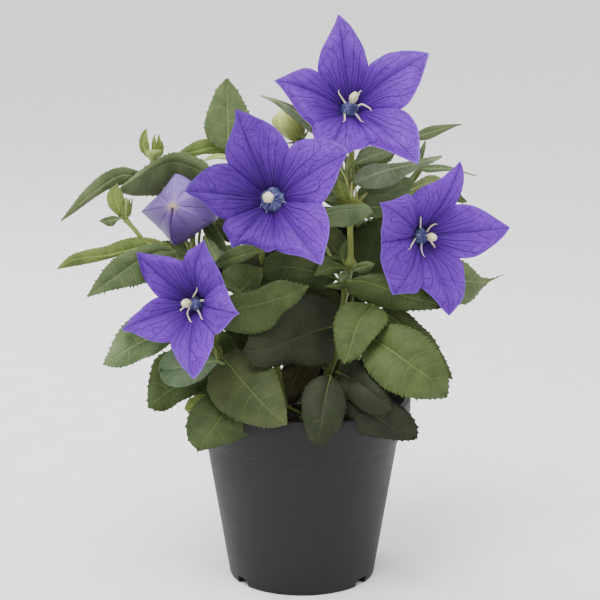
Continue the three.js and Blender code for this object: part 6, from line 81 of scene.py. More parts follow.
 'N4': {'M': [[21.6, -21.8, 147.1], [27.9, -23.5, 147.5], [34.0, -24.6, 145.8], [39.9, -25.0, 143.4], [45.9, -24.8, 141.0], [52.2, -23.9, 139.0], [58.6, -22.3, 137.1], [65.1, -20.1, 134.9]], 'A': [[22.1, -22.0, 147.8], [27.9, -22.8, 149.7], [34.8, -23.1, 150.5], [41.8, -22.9, 149.8], [48.5, -22.5, 147.8], [55.1, -21.8, 145.0], [61.0, -21.0, 140.8], [65.2, -20.1, 135.1]], 'B': [[21.1, -21.6, 146.3], [21.6, -20.2, 140.9], [28.1, -20.9, 137.3], [35.1, -21.4, 134.7], [42.5, -21.9, 133.7], [50.0, -21.8, 133.7], [57.5, -21.2, 134.2], [65.0, -20.1, 134.7]], 'at': [20.9, -7.4, 142.9], 'stem': 's1', 'col': 'light', 'bulge': 0.1, 'serr': 1.0},
 'N4b': {'M': [[21.8, -16.9, 144.4], [20.1, -17.2, 144.5], [18.5, -17.8, 144.6], [16.9, -18.7, 144.7], [15.3, -19.7, 144.7], [13.7, -21.1, 144.8], [12.1, -22.6, 144.8], [10.5, -24.4, 144.9]], 'A': [[21.6, -16.9, 145.3], [20.2, -17.1, 145.2], [18.7, -17.6, 145.9], [16.9, -18.4, 146.1], [15.3, -19.5, 146.0], [13.6, -20.8, 145.8], [12.0, -22.5, 145.4], [10.5, -24.4, 145.2]], 'B': [[21.9, -16.8, 143.5], [20.5, -17.0, 143.3], [19.1, -17.4, 142.4], [17.4, -18.3, 142.5], [15.6, -19.4, 142.9], [13.9, -20.8, 143.4], [12.2, -22.5, 144.1], [10.5, -24.4, 144.7]], 'at': [20.7, -7.3, 141.4], 'stem': 's1', 'col': 'mid', 'bulge': 0.1, 'serr': 0.3},
 'N5': {'M': [[33.0, -23.9, 136.2], [29.4, -30.5, 134.3], [26.4, -36.1, 132.0], [24.4, -40.7, 128.9], [22.8, -44.4, 125.5], [21.6, -47.2, 121.8], [20.2, -49.0, 118.1], [18.5, -49.9, 114.3]], 'A': [[33.9, -24.0, 135.9], [37.3, -29.5, 134.0], [38.5, -34.6, 130.7], [35.0, -39.4, 126.9], [31.1, -43.4, 123.5], [27.5, -46.4, 119.7], [23.6, -48.5, 116.2], [18.7, -49.9, 114.2]], 'B': [[32.2, -23.9, 136.6], [26.5, -29.0, 138.0], [20.3, -33.3, 138.4], [15.9, -37.4, 135.2], [14.1, -41.3, 130.0], [14.4, -44.8, 124.5], [15.5, -47.5, 119.0], [18.3, -49.8, 114.4]], 'at': [19.2, -6.4, 130.9], 'stem': 's1', 'col': 'light', 'bulge': 0.1, 'serr': 1.0},
 'N6': {'M': [[29.3, -27.3, 123.3], [34.5, -35.1, 121.2], [39.8, -41.0, 118.7], [44.8, -44.7, 115.5], [50.0, -46.5, 111.9], [55.5, -46.2, 108.1], [60.6, -43.9, 102.9], [65.3, -39.5, 96.5]], 'A': [[29.9, -27.0, 124.0], [36.6, -32.4, 128.4], [44.4, -36.7, 129.3], [52.0, -39.8, 126.6], [58.2, -41.9, 121.4], [62.8, -42.7, 114.2], [65.6, -41.9, 105.7], [65.5, -39.5, 96.7]], 'B': [[28.7, -27.6, 122.7], [26.7, -38.1, 117.5], [28.6, -45.5, 111.5], [33.8, -49.7, 106.2], [40.1, -51.4, 101.9], [48.0, -50.3, 99.2], [56.4, -46.3, 97.4], [65.1, -39.6, 96.3]], 'at': [26.6, -2.0, 108.9], 'stem': 's4', 'col': 'light', 'bulge': 0.1, 'serr': 1.0},
 'N7': {'M': [[36.3, -16.0, 132.5], [42.0, -17.9, 129.3], [47.3, -19.7, 125.8], [52.2, -21.3, 121.5], [56.9, -22.7, 117.0], [61.3, -24.0, 112.2], [65.5, -25.1, 107.2], [69.5, -26.0, 101.9]], 'A': [[36.9, -16.0, 133.2], [43.2, -16.8, 134.7], [49.5, -18.5, 131.3], [54.6, -20.2, 126.4], [59.9, -21.6, 121.5], [63.7, -23.2, 115.3], [67.1, -24.6, 108.8], [69.6, -26.0, 102.1]], 'B': [[35.7, -16.0, 131.8], [34.6, -16.3, 125.1], [37.9, -17.5, 119.6], [43.9, -19.3, 115.4], [50.0, -20.9, 111.1], [56.1, -22.5, 107.0], [62.4, -24.1, 103.3], [69.3, -26.0, 101.7]], 'at': [30.4, -0.2, 118.5], 'stem': 's4', 'col': 'mid2', 'bulge': 0.1, 'serr': 1.0},
 'P1': {'M': [[12.9, -44.0, 107.5], [11.5, -48.8, 104.3], [10.5, -53.0, 100.8], [9.6, -56.5, 97.2], [8.9, -59.4, 93.5], [8.2, -61.5, 89.6], [7.3, -63.1, 85.6], [6.9, -64.0, 81.4]], 'A': [[12.1, -44.0, 107.8], [6.9, -47.2, 108.1], [2.2, -50.5, 105.5], [-0.1, -53.8, 100.7], [-0.2, -56.9, 95.3], [0.7, -59.6, 89.8], [2.7, -61.9, 84.7], [6.7, -64.0, 81.4]], 'B': [[13.8, -44.0, 107.2], [17.0, -47.4, 104.8], [19.0, -50.8, 100.3], [19.4, -54.0, 95.5], [17.9, -57.0, 90.8], [15.6, -59.5, 86.2], [12.0, -61.7, 82.7], [7.1, -64.0, 81.3]], 'at': [3.6, -18.9, 86.8], 'stem': 's7', 'col': 'dark2', 'bulge': 0.1, 'serr': 0.5},
 'P2': {'M': [[16.3, -35.2, 107.3], [20.0, -39.2, 106.4], [23.6, -42.7, 105.2], [27.0, -45.6, 103.5], [30.2, -48.1, 101.5], [33.3, -50.0, 99.2], [36.4, -51.3, 96.7], [39.6, -52.1, 94.2]], 'A': [[16.6, -34.8, 108.1], [19.6, -36.1, 112.2], [24.6, -38.2, 113.7], [28.8, -41.5, 111.1], [32.1, -44.8, 107.2], [35.7, -47.4, 103.4], [38.7, -49.5, 99.1], [39.7, -52.0, 94.4]], 'B': [[16.1, -35.5, 106.5], [16.9, -39.8, 103.3], [19.3, -43.6, 99.7], [22.2, -46.8, 96.4], [25.9, -49.3, 93.7], [30.4, -51.0, 92.1], [35.2, -51.9, 92.1], [39.5, -52.2, 94.0]], 'at': [21.7, -1.0, 95.2], 'stem': 's4', 'col': 'dark2', 'bulge': 0.1, 'serr': 0.4},
 'P3': {'M': [[20.7, -42.1, 96.9], [24.6, -45.1, 94.6], [28.8, -47.3, 92.3], [33.0, -48.7, 89.9], [37.1, -49.4, 87.1], [41.3, -49.3, 84.2], [45.9, -48.4, 81.6], [50.9, -46.8, 79.4]], 'A': [[21.3, -42.1, 97.5], [26.5, -44.3, 98.2], [32.4, -46.0, 98.1], [38.2, -47.1, 97.2], [43.5, -47.5, 94.9], [48.1, -47.5, 91.0], [50.9, -47.2, 85.5], [51.1, -46.7, 79.6]], 'B': [[20.0, -42.0, 96.3], [18.8, -43.6, 91.0], [20.3, -45.0, 85.3], [25.3, -46.4, 81.8], [31.4, -47.5, 80.2], [37.9, -48.1, 79.6], [44.4, -47.8, 79.0], [50.7, -46.8, 79.2]], 'at': [1.2, -17.0, 81.9], 'stem': 's7', 'col': 'dark2', 'bulge': 0.1, 'serr': 1.0},
 'R0': {'M': [[25.2, -2.0, 199.8], [27.9, -0.9, 200.8], [30.6, 0.3, 201.8], [33.3, 1.4, 202.8], [36.0, 2.6, 203.7], [38.8, 3.7, 204.5], [41.6, 4.9, 205.2], [44.5, 6.0, 205.9]], 'A': [[24.8, -2.0, 200.6], [25.9, -0.3, 203.1], [27.4, 1.3, 205.8], [30.7, 2.4, 207.1], [34.1, 3.5, 207.8], [37.6, 4.4, 207.8], [41.1, 5.2, 207.1], [44.4, 6.0, 206.2]], 'B': [[25.7, -2.0, 199.0], [28.2, -0.5, 199.0], [31.3, 0.9, 198.9], [34.3, 2.1, 199.4], [37.1, 3.2, 200.6], [39.8, 4.2, 202.0], [42.2, 5.1, 203.9], [44.5, 6.0, 205.7]], 'at': [23.6, 3.6, 195.2], 'stem': 's1', 'col': 'grey2', 'bulge': 0.1, 'serr': 1.0},
 'R1': {'M': [[52.3, 10.0, 210.9], [55.8, 11.3, 211.9], [59.3, 12.5, 212.9], [62.7, 13.6, 213.9], [66.2, 14.4, 214.8], [69.7, 15.1, 215.7], [73.2, 15.6, 216.5], [76.7, 16.0, 217.2]], 'A': [[52.1, 10.0, 211.8], [54.9, 11.7, 213.6], [58.1, 13.1, 215.3], [61.7, 14.1, 216.5], [65.4, 14.8, 217.0], [69.2, 15.4, 217.2], [73.0, 15.8, 217.3], [76.7, 16.0, 217.4]], 'B': [[52.5, 10.0, 210.1], [55.9, 11.8, 209.7], [59.6, 13.1, 209.9], [63.1, 14.1, 211.1], [66.5, 14.8, 212.8], [69.8, 15.3, 214.4], [73.2, 15.7, 215.9], [76.7, 16.0, 217.0]], 'at': [56.9, 20.1, 195.5], 'stem': 's8', 'col': 'grey', 'bulge': 0.1, 'serr': 0.3},
 'R2': {'M': [[24.2, -6.0, 191.2], [30.0, -4.7, 193.2], [35.7, -3.1, 195.4], [41.6, -1.1, 197.1], [47.8, 1.2, 198.2], [54.0, 3.8, 199.3], [60.2, 6.7, 200.8], [66.5, 10.0, 202.3]], 'A': [[23.9, -6.1, 192.1], [27.0, -3.8, 196.9], [32.4, -2.0, 199.5], [39.1, -0.4, 199.6], [45.8, 1.7, 199.9], [52.6, 4.2, 200.8], [59.5, 7.0, 201.8], [66.4, 10.0, 202.6]], 'B': [[24.5, -5.9, 190.4], [30.0, -3.0, 187.9], [36.7, -0.4, 187.5], [43.1, 1.5, 189.2], [48.4, 2.9, 193.1], [54.1, 4.8, 196.3], [60.4, 7.3, 199.1], [66.6, 10.0, 202.1]], 'at': [23.4, 1.0, 190.6], 'stem': 's1', 'col': 'pale', 'bulge': 0.1, 'serr': 0.5},
 'R4': {'M': [[27.6, 4.5, 180.0], [31.4, 5.5, 181.2], [35.2, 6.5, 182.5], [39.0, 7.5, 183.9], [42.6, 8.6, 185.5], [46.3, 9.7, 187.1], [50.0, 10.8, 188.7], [53.7, 12.0, 190.4]], 'A': [[27.2, 4.6, 180.8], [29.3, 6.2, 184.3], [31.7, 7.8, 188.0], [36.0, 8.8, 190.0], [40.5, 9.9, 191.7], [45.1, 10.9, 193.0], [49.5, 11.6, 192.6], [53.6, 12.0, 190.6]], 'B': [[27.9, 4.5, 179.2], [32.0, 6.1, 178.2], [36.6, 7.4, 177.7], [41.3, 8.7, 178.1], [45.6, 9.8, 179.8], [49.5, 10.7, 182.3], [52.0, 11.4, 186.1], [53.8, 12.0, 190.1]], 'at': [40.8, 21.6, 166.3], 'stem': 's8', 'col': 'grey2', 'bulge': 0.1, 'serr': 1.0},
 'R5': {'M': [[45.5, 16.0, 182.8], [48.8, 16.6, 184.1], [52.1, 17.1, 185.4], [55.3, 17.7, 186.8], [58.5, 18.3, 188.3], [61.9, 18.9, 189.2], [65.5, 19.4, 189.6], [69.0, 20.0, 190.0]], 'A': [[45.3, 16.0, 183.7], [48.4, 16.9, 185.4], [51.7, 17.6, 187.5], [55.1, 18.2, 189.4], [58.4, 18.9, 191.4], [62.0, 19.5, 192.7], [65.8, 19.9, 192.2], [69.0, 20.0, 190.3]], 'B': [[45.7, 16.0, 181.9], [49.1, 16.9, 182.1], [52.7, 17.7, 182.5], [56.1, 18.3, 183.6], [59.6, 18.9, 184.9], [62.9, 19.4, 186.3], [66.3, 19.8, 187.7], [69.0, 20.0, 189.8]], 'at': [42.8, 22.0, 171.5], 'stem': 's8', 'col': 'young4', 'bulge': 0.1, 'serr': 1.0},
 'R7': {'M': [[56.7, 14.0, 196.5], [60.8, 15.1, 196.3], [64.9, 16.3, 196.1], [69.0, 17.4, 196.1], [73.0, 18.6, 195.7], [77.0, 19.7, 194.6], [81.0, 20.9, 193.3], [85.0, 22.0, 192.1]], 'A': [[56.8, 14.0, 197.3], [60.6, 15.4, 197.8], [64.7, 16.7, 198.1], [68.9, 17.7, 197.6], [73.0, 18.7, 196.6], [77.0, 19.8, 195.1], [81.0, 20.9, 193.6], [85.1, 22.0, 192.3]], 'B': [[56.6, 14.0, 195.6], [60.1, 15.6, 194.2], [64.3, 16.6, 194.3], [68.4, 17.7, 194.7], [72.6, 18.8, 194.6], [76.7, 19.9, 193.9], [80.9, 20.9, 193.0], [85.0, 22.0, 191.8]], 'at': [50.1, 22.0, 183.5], 'stem': 's8', 'col': 'grey2', 'bulge': 0.1, 'serr': 0.3},
 'R8': {'M': [[23.7, 1.7, 178.8], [26.8, 1.5, 178.9], [29.9, 1.5, 178.9], [33.1, 1.6, 178.9], [36.3, 1.9, 178.8], [39.4, 2.5, 179.1], [42.5, 3.2, 179.8], [45.6, 4.1, 180.5]], 'A': [[23.6, 1.7, 179.8], [26.2, 2.0, 181.4], [29.0, 2.4, 183.5], [32.5, 2.7, 184.4], [36.1, 3.1, 184.7], [39.8, 3.5, 184.5], [42.9, 3.8, 183.1], [45.6, 4.1, 180.8]], 'B': [[23.7, 1.8, 178.0], [26.3, 2.1, 176.0], [29.6, 2.4, 174.2], [33.4, 2.6, 173.7], [37.3, 2.9, 173.8], [40.8, 3.3, 174.7], [43.3, 3.6, 177.4], [45.6, 4.1, 180.3]], 'at': [22.5, -4.4, 179.0], 'stem': 's1', 'col': 'grey', 'bulge': 0.1, 'serr': 1.0},
 'R9': {'M': [[61.2, 12.0, 146.3], [66.6, 14.1, 144.4], [72.1, 16.3, 142.7], [77.8, 18.7, 141.2], [83.5, 21.3, 140.2], [89.3, 24.0, 139.5], [95.0, 26.9, 140.5], [100.5, 30.0, 142.1]], 'A': [[61.3, 12.0, 147.2], [65.7, 15.2, 150.5], [71.4, 18.2, 152.4], [77.6, 20.6, 151.1], [83.2, 22.6, 147.3], [88.0, 24.7, 142.3], [94.0, 27.1, 140.7], [100.6, 30.0, 142.4]], 'B': [[61.1, 12.0, 145.4], [64.7, 15.1, 139.1], [69.4, 18.2, 132.8], [76.4, 20.9, 129.0], [83.5, 23.3, 129.0], [88.6, 25.1, 133.8], [93.7, 27.3, 138.8], [100.5, 30.0, 141.9]], 'at': [39.7, 3.2, 139.3], 'stem': 's4', 'col': 'grey', 'bulge': 0.1, 'serr': 1.0},
 'R10': {'M': [[67.7, 16.0, 187.7], [69.4, 16.9, 186.4], [71.2, 17.7, 185.2], [73.0, 18.6, 184.0], [74.8, 19.4, 182.7], [76.6, 20.3, 181.5], [78.5, 21.1, 180.4], [80.5, 22.0, 179.4]], 'A': [[68.2, 16.0, 188.4], [70.0, 17.1, 187.6], [72.2, 18.2, 187.3], [74.2, 19.1, 186.3], [76.0, 19.9, 184.8], [77.6, 20.6, 183.1], [79.0, 21.3, 181.2], [80.6, 22.0, 179.6]], 'B': [[67.1, 16.0, 186.9], [68.4, 17.1, 185.3], [69.4, 18.2, 183.2], [71.4, 19.1, 181.7], [73.4, 19.9, 180.4], [75.7, 20.7, 179.6], [78.0, 21.4, 179.3], [80.3, 22.0, 179.2]], 'at': [45.7, 22.0, 176.3], 'stem': 's8', 'col': 'mid', 'bulge': 0.1, 'serr': 1.0},
 'B1': {'M': [[24.1, 4.0, 135.8], [26.3, 5.9, 141.2], [28.5, 7.7, 146.8], [30.8, 9.3, 152.3], [33.1, 10.7, 157.8], [35.6, 12.0, 163.3], [38.1, 13.1, 168.8], [40.6, 14.0, 174.3]], 'A': [[23.2, 4.0, 136.3], [21.3, 6.6, 142.4], [19.2, 9.0, 149.2], [19.4, 11.0, 156.1], [22.9, 12.3, 162.4], [27.4, 13.3, 168.1], [33.5, 13.9, 171.9], [40.4, 14.0, 174.4]], 'B': [[24.9, 4.0, 135.3], [32.2, 6.9, 136.7], [38.9, 9.4, 140.5], [44.3, 11.3, 146.2], [47.9, 12.8, 153.0], [48.7, 13.8, 160.7], [46.0, 14.2, 167.9], [40.9, 14.0, 174.2]], 'at': [25.2, 16.2, 118.6], 'stem': 's8', 'col': 'mid2', 'bulge': 0.1, 'serr': 1.0},
 'B2': {'M': [[20.9, 0.0, 152.8], [18.6, 1.4, 155.4], [16.2, 2.5, 158.1], [13.9, 3.5, 160.8], [11.5, 4.4, 163.5], [9.0, 5.1, 166.2], [6.4, 5.6, 168.7], [3.8, 6.0, 171.3]], 'A': [[20.2, 0.0, 152.1], [16.4, 2.0, 151.4], [12.1, 3.5, 152.3], [8.4, 4.7, 154.4], [5.7, 5.6, 157.9], [4.2, 6.0, 162.0], [3.9, 6.1, 166.6], [3.6, 6.0, 171.1]], 'B': [[21.6, -0.0, 153.6], [21.9, 1.9, 157.3], [22.1, 3.5, 161.6], [19.8, 4.6, 165.4], [16.8, 5.5, 168.6], [13.0, 6.0, 171.1], [8.6, 6.2, 171.6], [4.0, 6.0, 171.5]], 'at': [22.5, -7.9, 154.9], 'stem': 's1', 'col': 'mid2', 'bulge': 0.1, 'serr': 1.0},
 'B3': {'M': [[-19.0, -8.0, 107.0], [-17.1, -7.4, 111.7], [-15.1, -6.9, 116.5], [-12.5, -6.3, 120.8], [-9.3, -5.7, 124.7], [-5.7, -5.1, 128.4], [-1.9, -4.6, 131.8], [1.9, -4.0, 135.2]], 'A': [[-19.8, -8.0, 107.3], [-23.6, -6.5, 112.0], [-24.4, -5.5, 118.4], [-22.1, -4.8, 124.8], [-17.4, -4.3, 130.0], [-11.6, -4.0, 133.9], [-5.1, -3.9, 135.6], [1.7, -4.0, 135.3]], 'B': [[-18.1, -8.0, 106.7], [-12.8, -6.7, 108.2], [-7.0, -5.5, 110.5], [-1.9, -4.5, 114.1], [2.4, -3.9, 118.7], [5.2, -3.5, 124.3], [5.8, -3.4, 130.3], [2.1, -4.0, 135.1]], 'at': [-20.0, 16.2, 98.3], 'stem': 's9', 'col': 'dark', 'bulge': 0.1, 'serr': 1.0},
 'B4': {'M': [[-18.7, -12.0, 136.6], [-20.7, -12.2, 139.6], [-22.6, -12.2, 142.7], [-24.2, -12.1, 146.0], [-25.4, -11.8, 149.4], [-26.3, -11.4, 152.9], [-26.9, -10.8, 156.4], [-27.5, -10.0, 159.9]], 'A': [[-19.7, -12.0, 136.3], [-23.6, -11.7, 137.2], [-27.6, -11.4, 139.4], [-30.5, -11.1, 143.2], [-32.3, -10.8, 147.6], [-32.7, -10.5, 152.3], [-31.4, -10.1, 156.9], [-27.8, -10.0, 159.8]], 'B': [[-17.8, -12.0, 136.8], [-14.7, -11.3, 139.6], [-12.7, -10.8, 143.4], [-13.5, -10.5, 148.2], [-15.4, -10.3, 152.6], [-18.6, -10.1, 156.1], [-22.7, -10.0, 158.8], [-27.3, -10.0, 159.9]], 'at': [-16.8, -8.9, 130.6], 'stem': 's2', 'col': 'dark', 'bulge': 0.1, 'serr': 1.0},
 'B5': {'M': [[-32.9, -16.0, 98.1], [-34.9, -15.6, 102.1], [-36.9, -15.1, 106.0], [-39.0, -14.4, 109.8], [-41.2, -13.6, 113.5], [-42.9, -12.5, 117.5], [-44.0, -11.3, 121.6], [-45.2, -10.0, 125.7]], 'A': [[-33.7, -16.0, 97.8], [-38.0, -15.1, 99.3], [-42.2, -14.2, 102.0], [-45.2, -13.4, 106.2], [-47.3, -12.6, 111.0], [-48.5, -11.7, 116.0], [-47.2, -10.9, 120.8], [-45.5, -10.0, 125.6]], 'B': [[-32.1, -16.0, 98.5], [-29.9, -14.9, 102.4], [-28.6, -13.9, 107.2], [-29.8, -13.0, 112.3], [-32.1, -12.1, 117.1], [-35.7, -11.4, 120.8], [-40.3, -10.7, 123.4], [-45.0, -10.0, 125.8]], 'at': [-23.0, 17.0, 105.3], 'stem': 's9', 'col': 'mid2', 'bulge': 0.1, 'serr': 1.0},
 'B6': {'M': [[39.2, -6.0, 92.8], [40.1, -5.6, 96.8], [41.0, -5.1, 100.7], [41.9, -4.4, 104.6], [42.8, -3.5, 108.5], [43.6, -2.5, 112.3], [44.3, -1.4, 116.1], [45.1, 0.0, 119.9]], 'A': [[38.4, -6.0, 93.0], [36.1, -5.1, 96.7], [33.9, -4.1, 100.9], [33.2, -3.2, 105.7], [34.4, -2.3, 110.4], [36.7, -1.5, 114.7], [40.6, -0.8, 117.6], [44.9, 0.0, 120.0]], 'B': [[40.1, -6.0, 92.7], [43.5, -5.1, 95.2], [47.1, -4.2, 98.2], [49.2, -3.3, 102.5], [50.3, -2.5, 107.2], [50.1, -1.6, 111.8], [47.8, -0.8, 115.9], [45.3, -0.0, 119.9]], 'at': [17.2, 16.0, 97.7], 'stem': 's8', 'col': 'dark', 'bulge': 0.1, 'serr': 1.0},
 'L4': {'M': [[-80.3, -27.6, 176.2], [-81.3, -28.5, 178.4], [-82.2, -29.5, 180.7], [-82.9, -30.7, 183.0], [-83.5, -32.0, 185.4], [-83.4, -33.4, 187.8], [-82.6, -34.9, 190.2], [-81.8, -36.5, 192.7]], 'A': [[-81.1, -27.8, 176.0], [-82.8, -28.9, 177.8], [-84.9, -30.3, 179.9], [-86.5, -31.6, 182.4], [-87.0, -32.9, 185.4], [-86.4, -34.2, 188.5], [-84.5, -35.4, 190.9], [-82.0, -36.6, 192.7]], 'B': [[-79.5, -27.3, 176.4], [-79.5, -27.9, 178.6], [-79.3, -28.6, 181.0], [-79.4, -29.6, 183.5], [-79.6, -30.7, 185.9], [-80.0, -32.3, 188.3], [-80.8, -34.3, 190.5], [-81.5, -36.5, 192.6]], 'at': [-79.6, -28.0, 176.0], 'stem': 's6', 'col': 'young', 'bulge': 0.1, 'serr': 0.3},
 'L5': {'M': [[-81.6, -31.2, 177.1], [-82.7, -32.0, 176.8], [-83.9, -32.8, 176.5], [-85.1, -33.5, 176.3], [-86.3, -34.1, 176.2], [-87.6, -34.7, 176.1], [-88.8, -35.1, 176.1], [-90.1, -35.5, 176.2]], 'A': [[-81.6, -31.2, 177.9], [-82.7, -31.9, 177.8], [-83.9, -32.5, 178.2], [-85.3, -33.2, 178.2], [-86.6, -33.8, 177.9], [-87.9, -34.4, 177.6], [-89.1, -35.0, 177.0], [-90.1, -35.5, 176.4]], 'B': [[-81.5, -31.2, 176.2], [-82.6, -31.9, 175.8], [-83.6, -32.4, 174.5], [-84.7, -33.0, 173.5], [-86.1, -33.6, 173.5], [-87.5, -34.3, 174.1], [-88.8, -34.9, 175.1], [-90.1, -35.5, 175.9]], 'at': [-79.2, -27.9, 175.6], 'stem': 's6', 'col': 'grey', 'bulge': 0.1, 'serr': 0.2},
 'H1': {'M': [[-71.0, -6.0, 202.8], [-72.0, -6.8, 204.6], [-72.8, -7.4, 206.3], [-73.2, -7.8, 208.2], [-73.3, -8.1, 210.2], [-72.9, -8.2, 212.1], [-72.3, -8.2, 214.0], [-71.8, -8.0, 215.9]], 'A': [[-71.9, -6.0, 202.5], [-73.0, -7.0, 203.9], [-74.5, -7.8, 205.5], [-75.1, -8.2, 207.7], [-75.2, -8.5, 210.1], [-74.6, -8.6, 212.4], [-73.5, -8.5, 214.4], [-72.0, -8.0, 216.0]], 'B': [[-70.2, -6.0, 203.1], [-70.5, -7.0, 204.8], [-70.5, -7.8, 206.6], [-70.7, -8.3, 208.5], [-70.9, -8.6, 210.4], [-71.2, -8.6, 212.2], [-71.4, -8.4, 214.1], [-71.5, -8.0, 215.9]], 'at': [-69.1, -5.0, 200.0], 'stem': 's10', 'col': 'young', 'bulge': 0.1, 'serr': 0.2},
 'H2': {'M': [[-68.9, -3.9, 203.2], [-68.8, -4.5, 204.6], [-68.8, -4.9, 206.1], [-68.7, -5.2, 207.5], [-68.7, -5.4, 208.9], [-68.6, -5.4, 210.3], [-68.5, -5.4, 211.8], [-68.3, -5.2, 213.2]], 'A': [[-69.8, -3.9, 203.2], [-69.6, -4.6, 204.5], [-69.9, -5.1, 205.9], [-69.8, -5.4, 207.4], [-69.6, -5.6, 208.9], [-69.4, -5.6, 210.4], [-68.9, -5.5, 211.8], [-68.6, -5.2, 213.2]], 'B': [[-68.0, -3.9, 203.2], [-67.9, -4.7, 204.4], [-67.3, -5.2, 205.8], [-67.3, -5.5, 207.3], [-67.4, -5.6, 208.8], [-67.6, -5.6, 210.3], [-68.0, -5.5, 211.7], [-68.1, -5.2, 213.2]], 'at': [-69.1, -5.0, 200.0], 'stem': 's10', 'col': 'young', 'bulge': 0.1, 'serr': 0.2},
 'H3': {'M': [[-67.8, -1.6, 203.5], [-67.5, -1.8, 204.9], [-67.2, -2.0, 206.2], [-67.1, -2.1, 207.6], [-66.9, -2.3, 209.0], [-66.8, -2.5, 210.3], [-66.7, -2.7, 211.7], [-66.5, -2.9, 213.1]], 'A': [[-68.7, -1.6, 203.7], [-68.0, -1.9, 204.9], [-68.1, -2.1, 206.3], [-67.9, -2.3, 207.7], [-67.7, -2.5, 209.1], [-67.5, -2.7, 210.4], [-67.1, -2.8, 211.8], [-66.8, -2.9, 213.1]], 'B': [[-66.9, -1.6, 203.4], [-66.9, -1.9, 204.7], [-66.1, -2.2, 206.0], [-65.9, -2.4, 207.4], [-65.8, -2.6, 208.8], [-65.8, -2.7, 210.3], [-66.1, -2.8, 211.7], [-66.3, -2.9, 213.1]], 'at': [-69.1, -5.0, 200.0], 'stem': 's10', 'col': 'young', 'bulge': 0.1, 'serr': 0.2},
 'H4': {'M': [[-67.0, -4.4, 202.8], [-66.2, -4.6, 203.7], [-65.5, -4.8, 204.6], [-64.9, -5.0, 205.6], [-64.7, -5.3, 206.8], [-64.6, -5.6, 207.9], [-64.8, -5.9, 209.1], [-65.0, -6.2, 210.2]], 'A': [[-67.8, -4.4, 203.2], [-67.0, -4.7, 203.9], [-66.9, -5.1, 205.0], [-66.7, -5.4, 206.1], [-66.4, -5.6, 207.2], [-66.1, -5.9, 208.3], [-65.7, -6.1, 209.3], [-65.3, -6.2, 210.3]], 'B': [[-66.2, -4.4, 202.3], [-65.7, -4.7, 203.1], [-64.8, -5.0, 204.0], [-64.4, -5.2, 205.2], [-64.1, -5.4, 206.5], [-64.0, -5.7, 207.9], [-64.4, -6.0, 209.1], [-64.8, -6.2, 210.2]], 'at': [-69.1, -5.0, 200.0], 'stem': 's10', 'col': 'young', 'bulge': 0.1, 'serr': 0.2},
 'K00': {'M': [[-54.2, -7.6, 149.5], [-50.6, -1.7, 153.0], [-46.7, 4.8, 154.8], [-42.7, 11.4, 154.8], [-38.8, 17.9, 153.0], [-35.2, 23.8, 149.5], [-32.1, 28.9, 144.5], [-29.7, 32.8, 138.2]], 'A': [[-54.9, -7.0, 149.1], [-58.0, 4.5, 149.1], [-58.4, 12.8, 148.6], [-56.6, 18.9, 147.9], [-52.6, 23.6, 146.9], [-46.5, 27.4, 145.3], [-38.8, 30.5, 142.5], [-30.0, 32.9, 138.2]], 'B': [[-53.5, -8.0, 149.5], [-42.5, -6.5, 152.9], [-34.6, -2.5, 154.7], [-29.2, 3.2, 154.7], [-26.1, 10.2, 152.9], [-25.3, 17.8, 149.4], [-26.5, 25.4, 144.4], [-29.5, 32.7, 138.2]], 'at': [-57.1, -12.3, 144.8], 'stem': 's6', 'col': 'dark2', 'bulge': 0.1, 'serr': 1.0},
 'K01': {'M': [[48.2, 9.1, 156.1], [48.6, 15.8, 156.0], [49.0, 22.4, 155.2], [49.4, 28.9, 153.8], [49.8, 35.3, 151.8], [50.2, 41.5, 149.3], [50.6, 47.4, 146.2], [50.9, 53.0, 142.5]], 'A': [[47.3, 9.1, 156.1], [41.4, 16.2, 156.0], [38.2, 23.1, 155.3], [37.4, 29.7, 153.9], [38.6, 36.0, 151.9], [41.4, 42.1, 149.3], [45.6, 47.7, 146.2], [50.7, 53.0, 142.5]], 'B': [[49.1, 9.0, 155.7], [55.8, 15.1, 152.7], [59.8, 20.9, 150.3], [61.4, 26.8, 148.5], [61.0, 32.9, 147.0], [58.9, 39.2, 145.6], [55.5, 45.9, 144.2], [51.2, 52.9, 142.4]], 'at': [47.8, 2.3, 155.7], 'stem': 's4', 'col': 'dark2', 'bulge': 0.1, 'serr': 1.0},
 'K02': {'M': [[35.5, 25.6, 164.0], [32.0, 30.2, 166.8], [28.3, 35.1, 168.8], [24.4, 40.2, 170.0], [20.5, 45.3, 170.3], [16.6, 50.5, 169.8], [12.8, 55.5, 168.4], [9.1, 60.3, 166.1]], 'A': [[34.8, 25.1, 163.8], [26.1, 26.5, 165.4], [19.7, 29.3, 166.6], [15.0, 33.4, 167.5], [11.9, 38.7, 168.0], [10.1, 45.1, 168.0], [9.2, 52.3, 167.4], [8.9, 60.1, 166.1]], 'B': [[36.2, 26.2, 163.8], [37.2, 34.9, 165.4], [36.2, 41.9, 166.6], [33.5, 47.5, 167.4], [29.2, 51.9, 167.9], [23.6, 55.4, 167.9], [16.8, 58.2, 167.3], [9.3, 60.4, 166.1]], 'at': [38.9, 21.2, 160.3], 'stem': 's8', 'col': 'olive', 'bulge': 0.1, 'serr': 1.0},
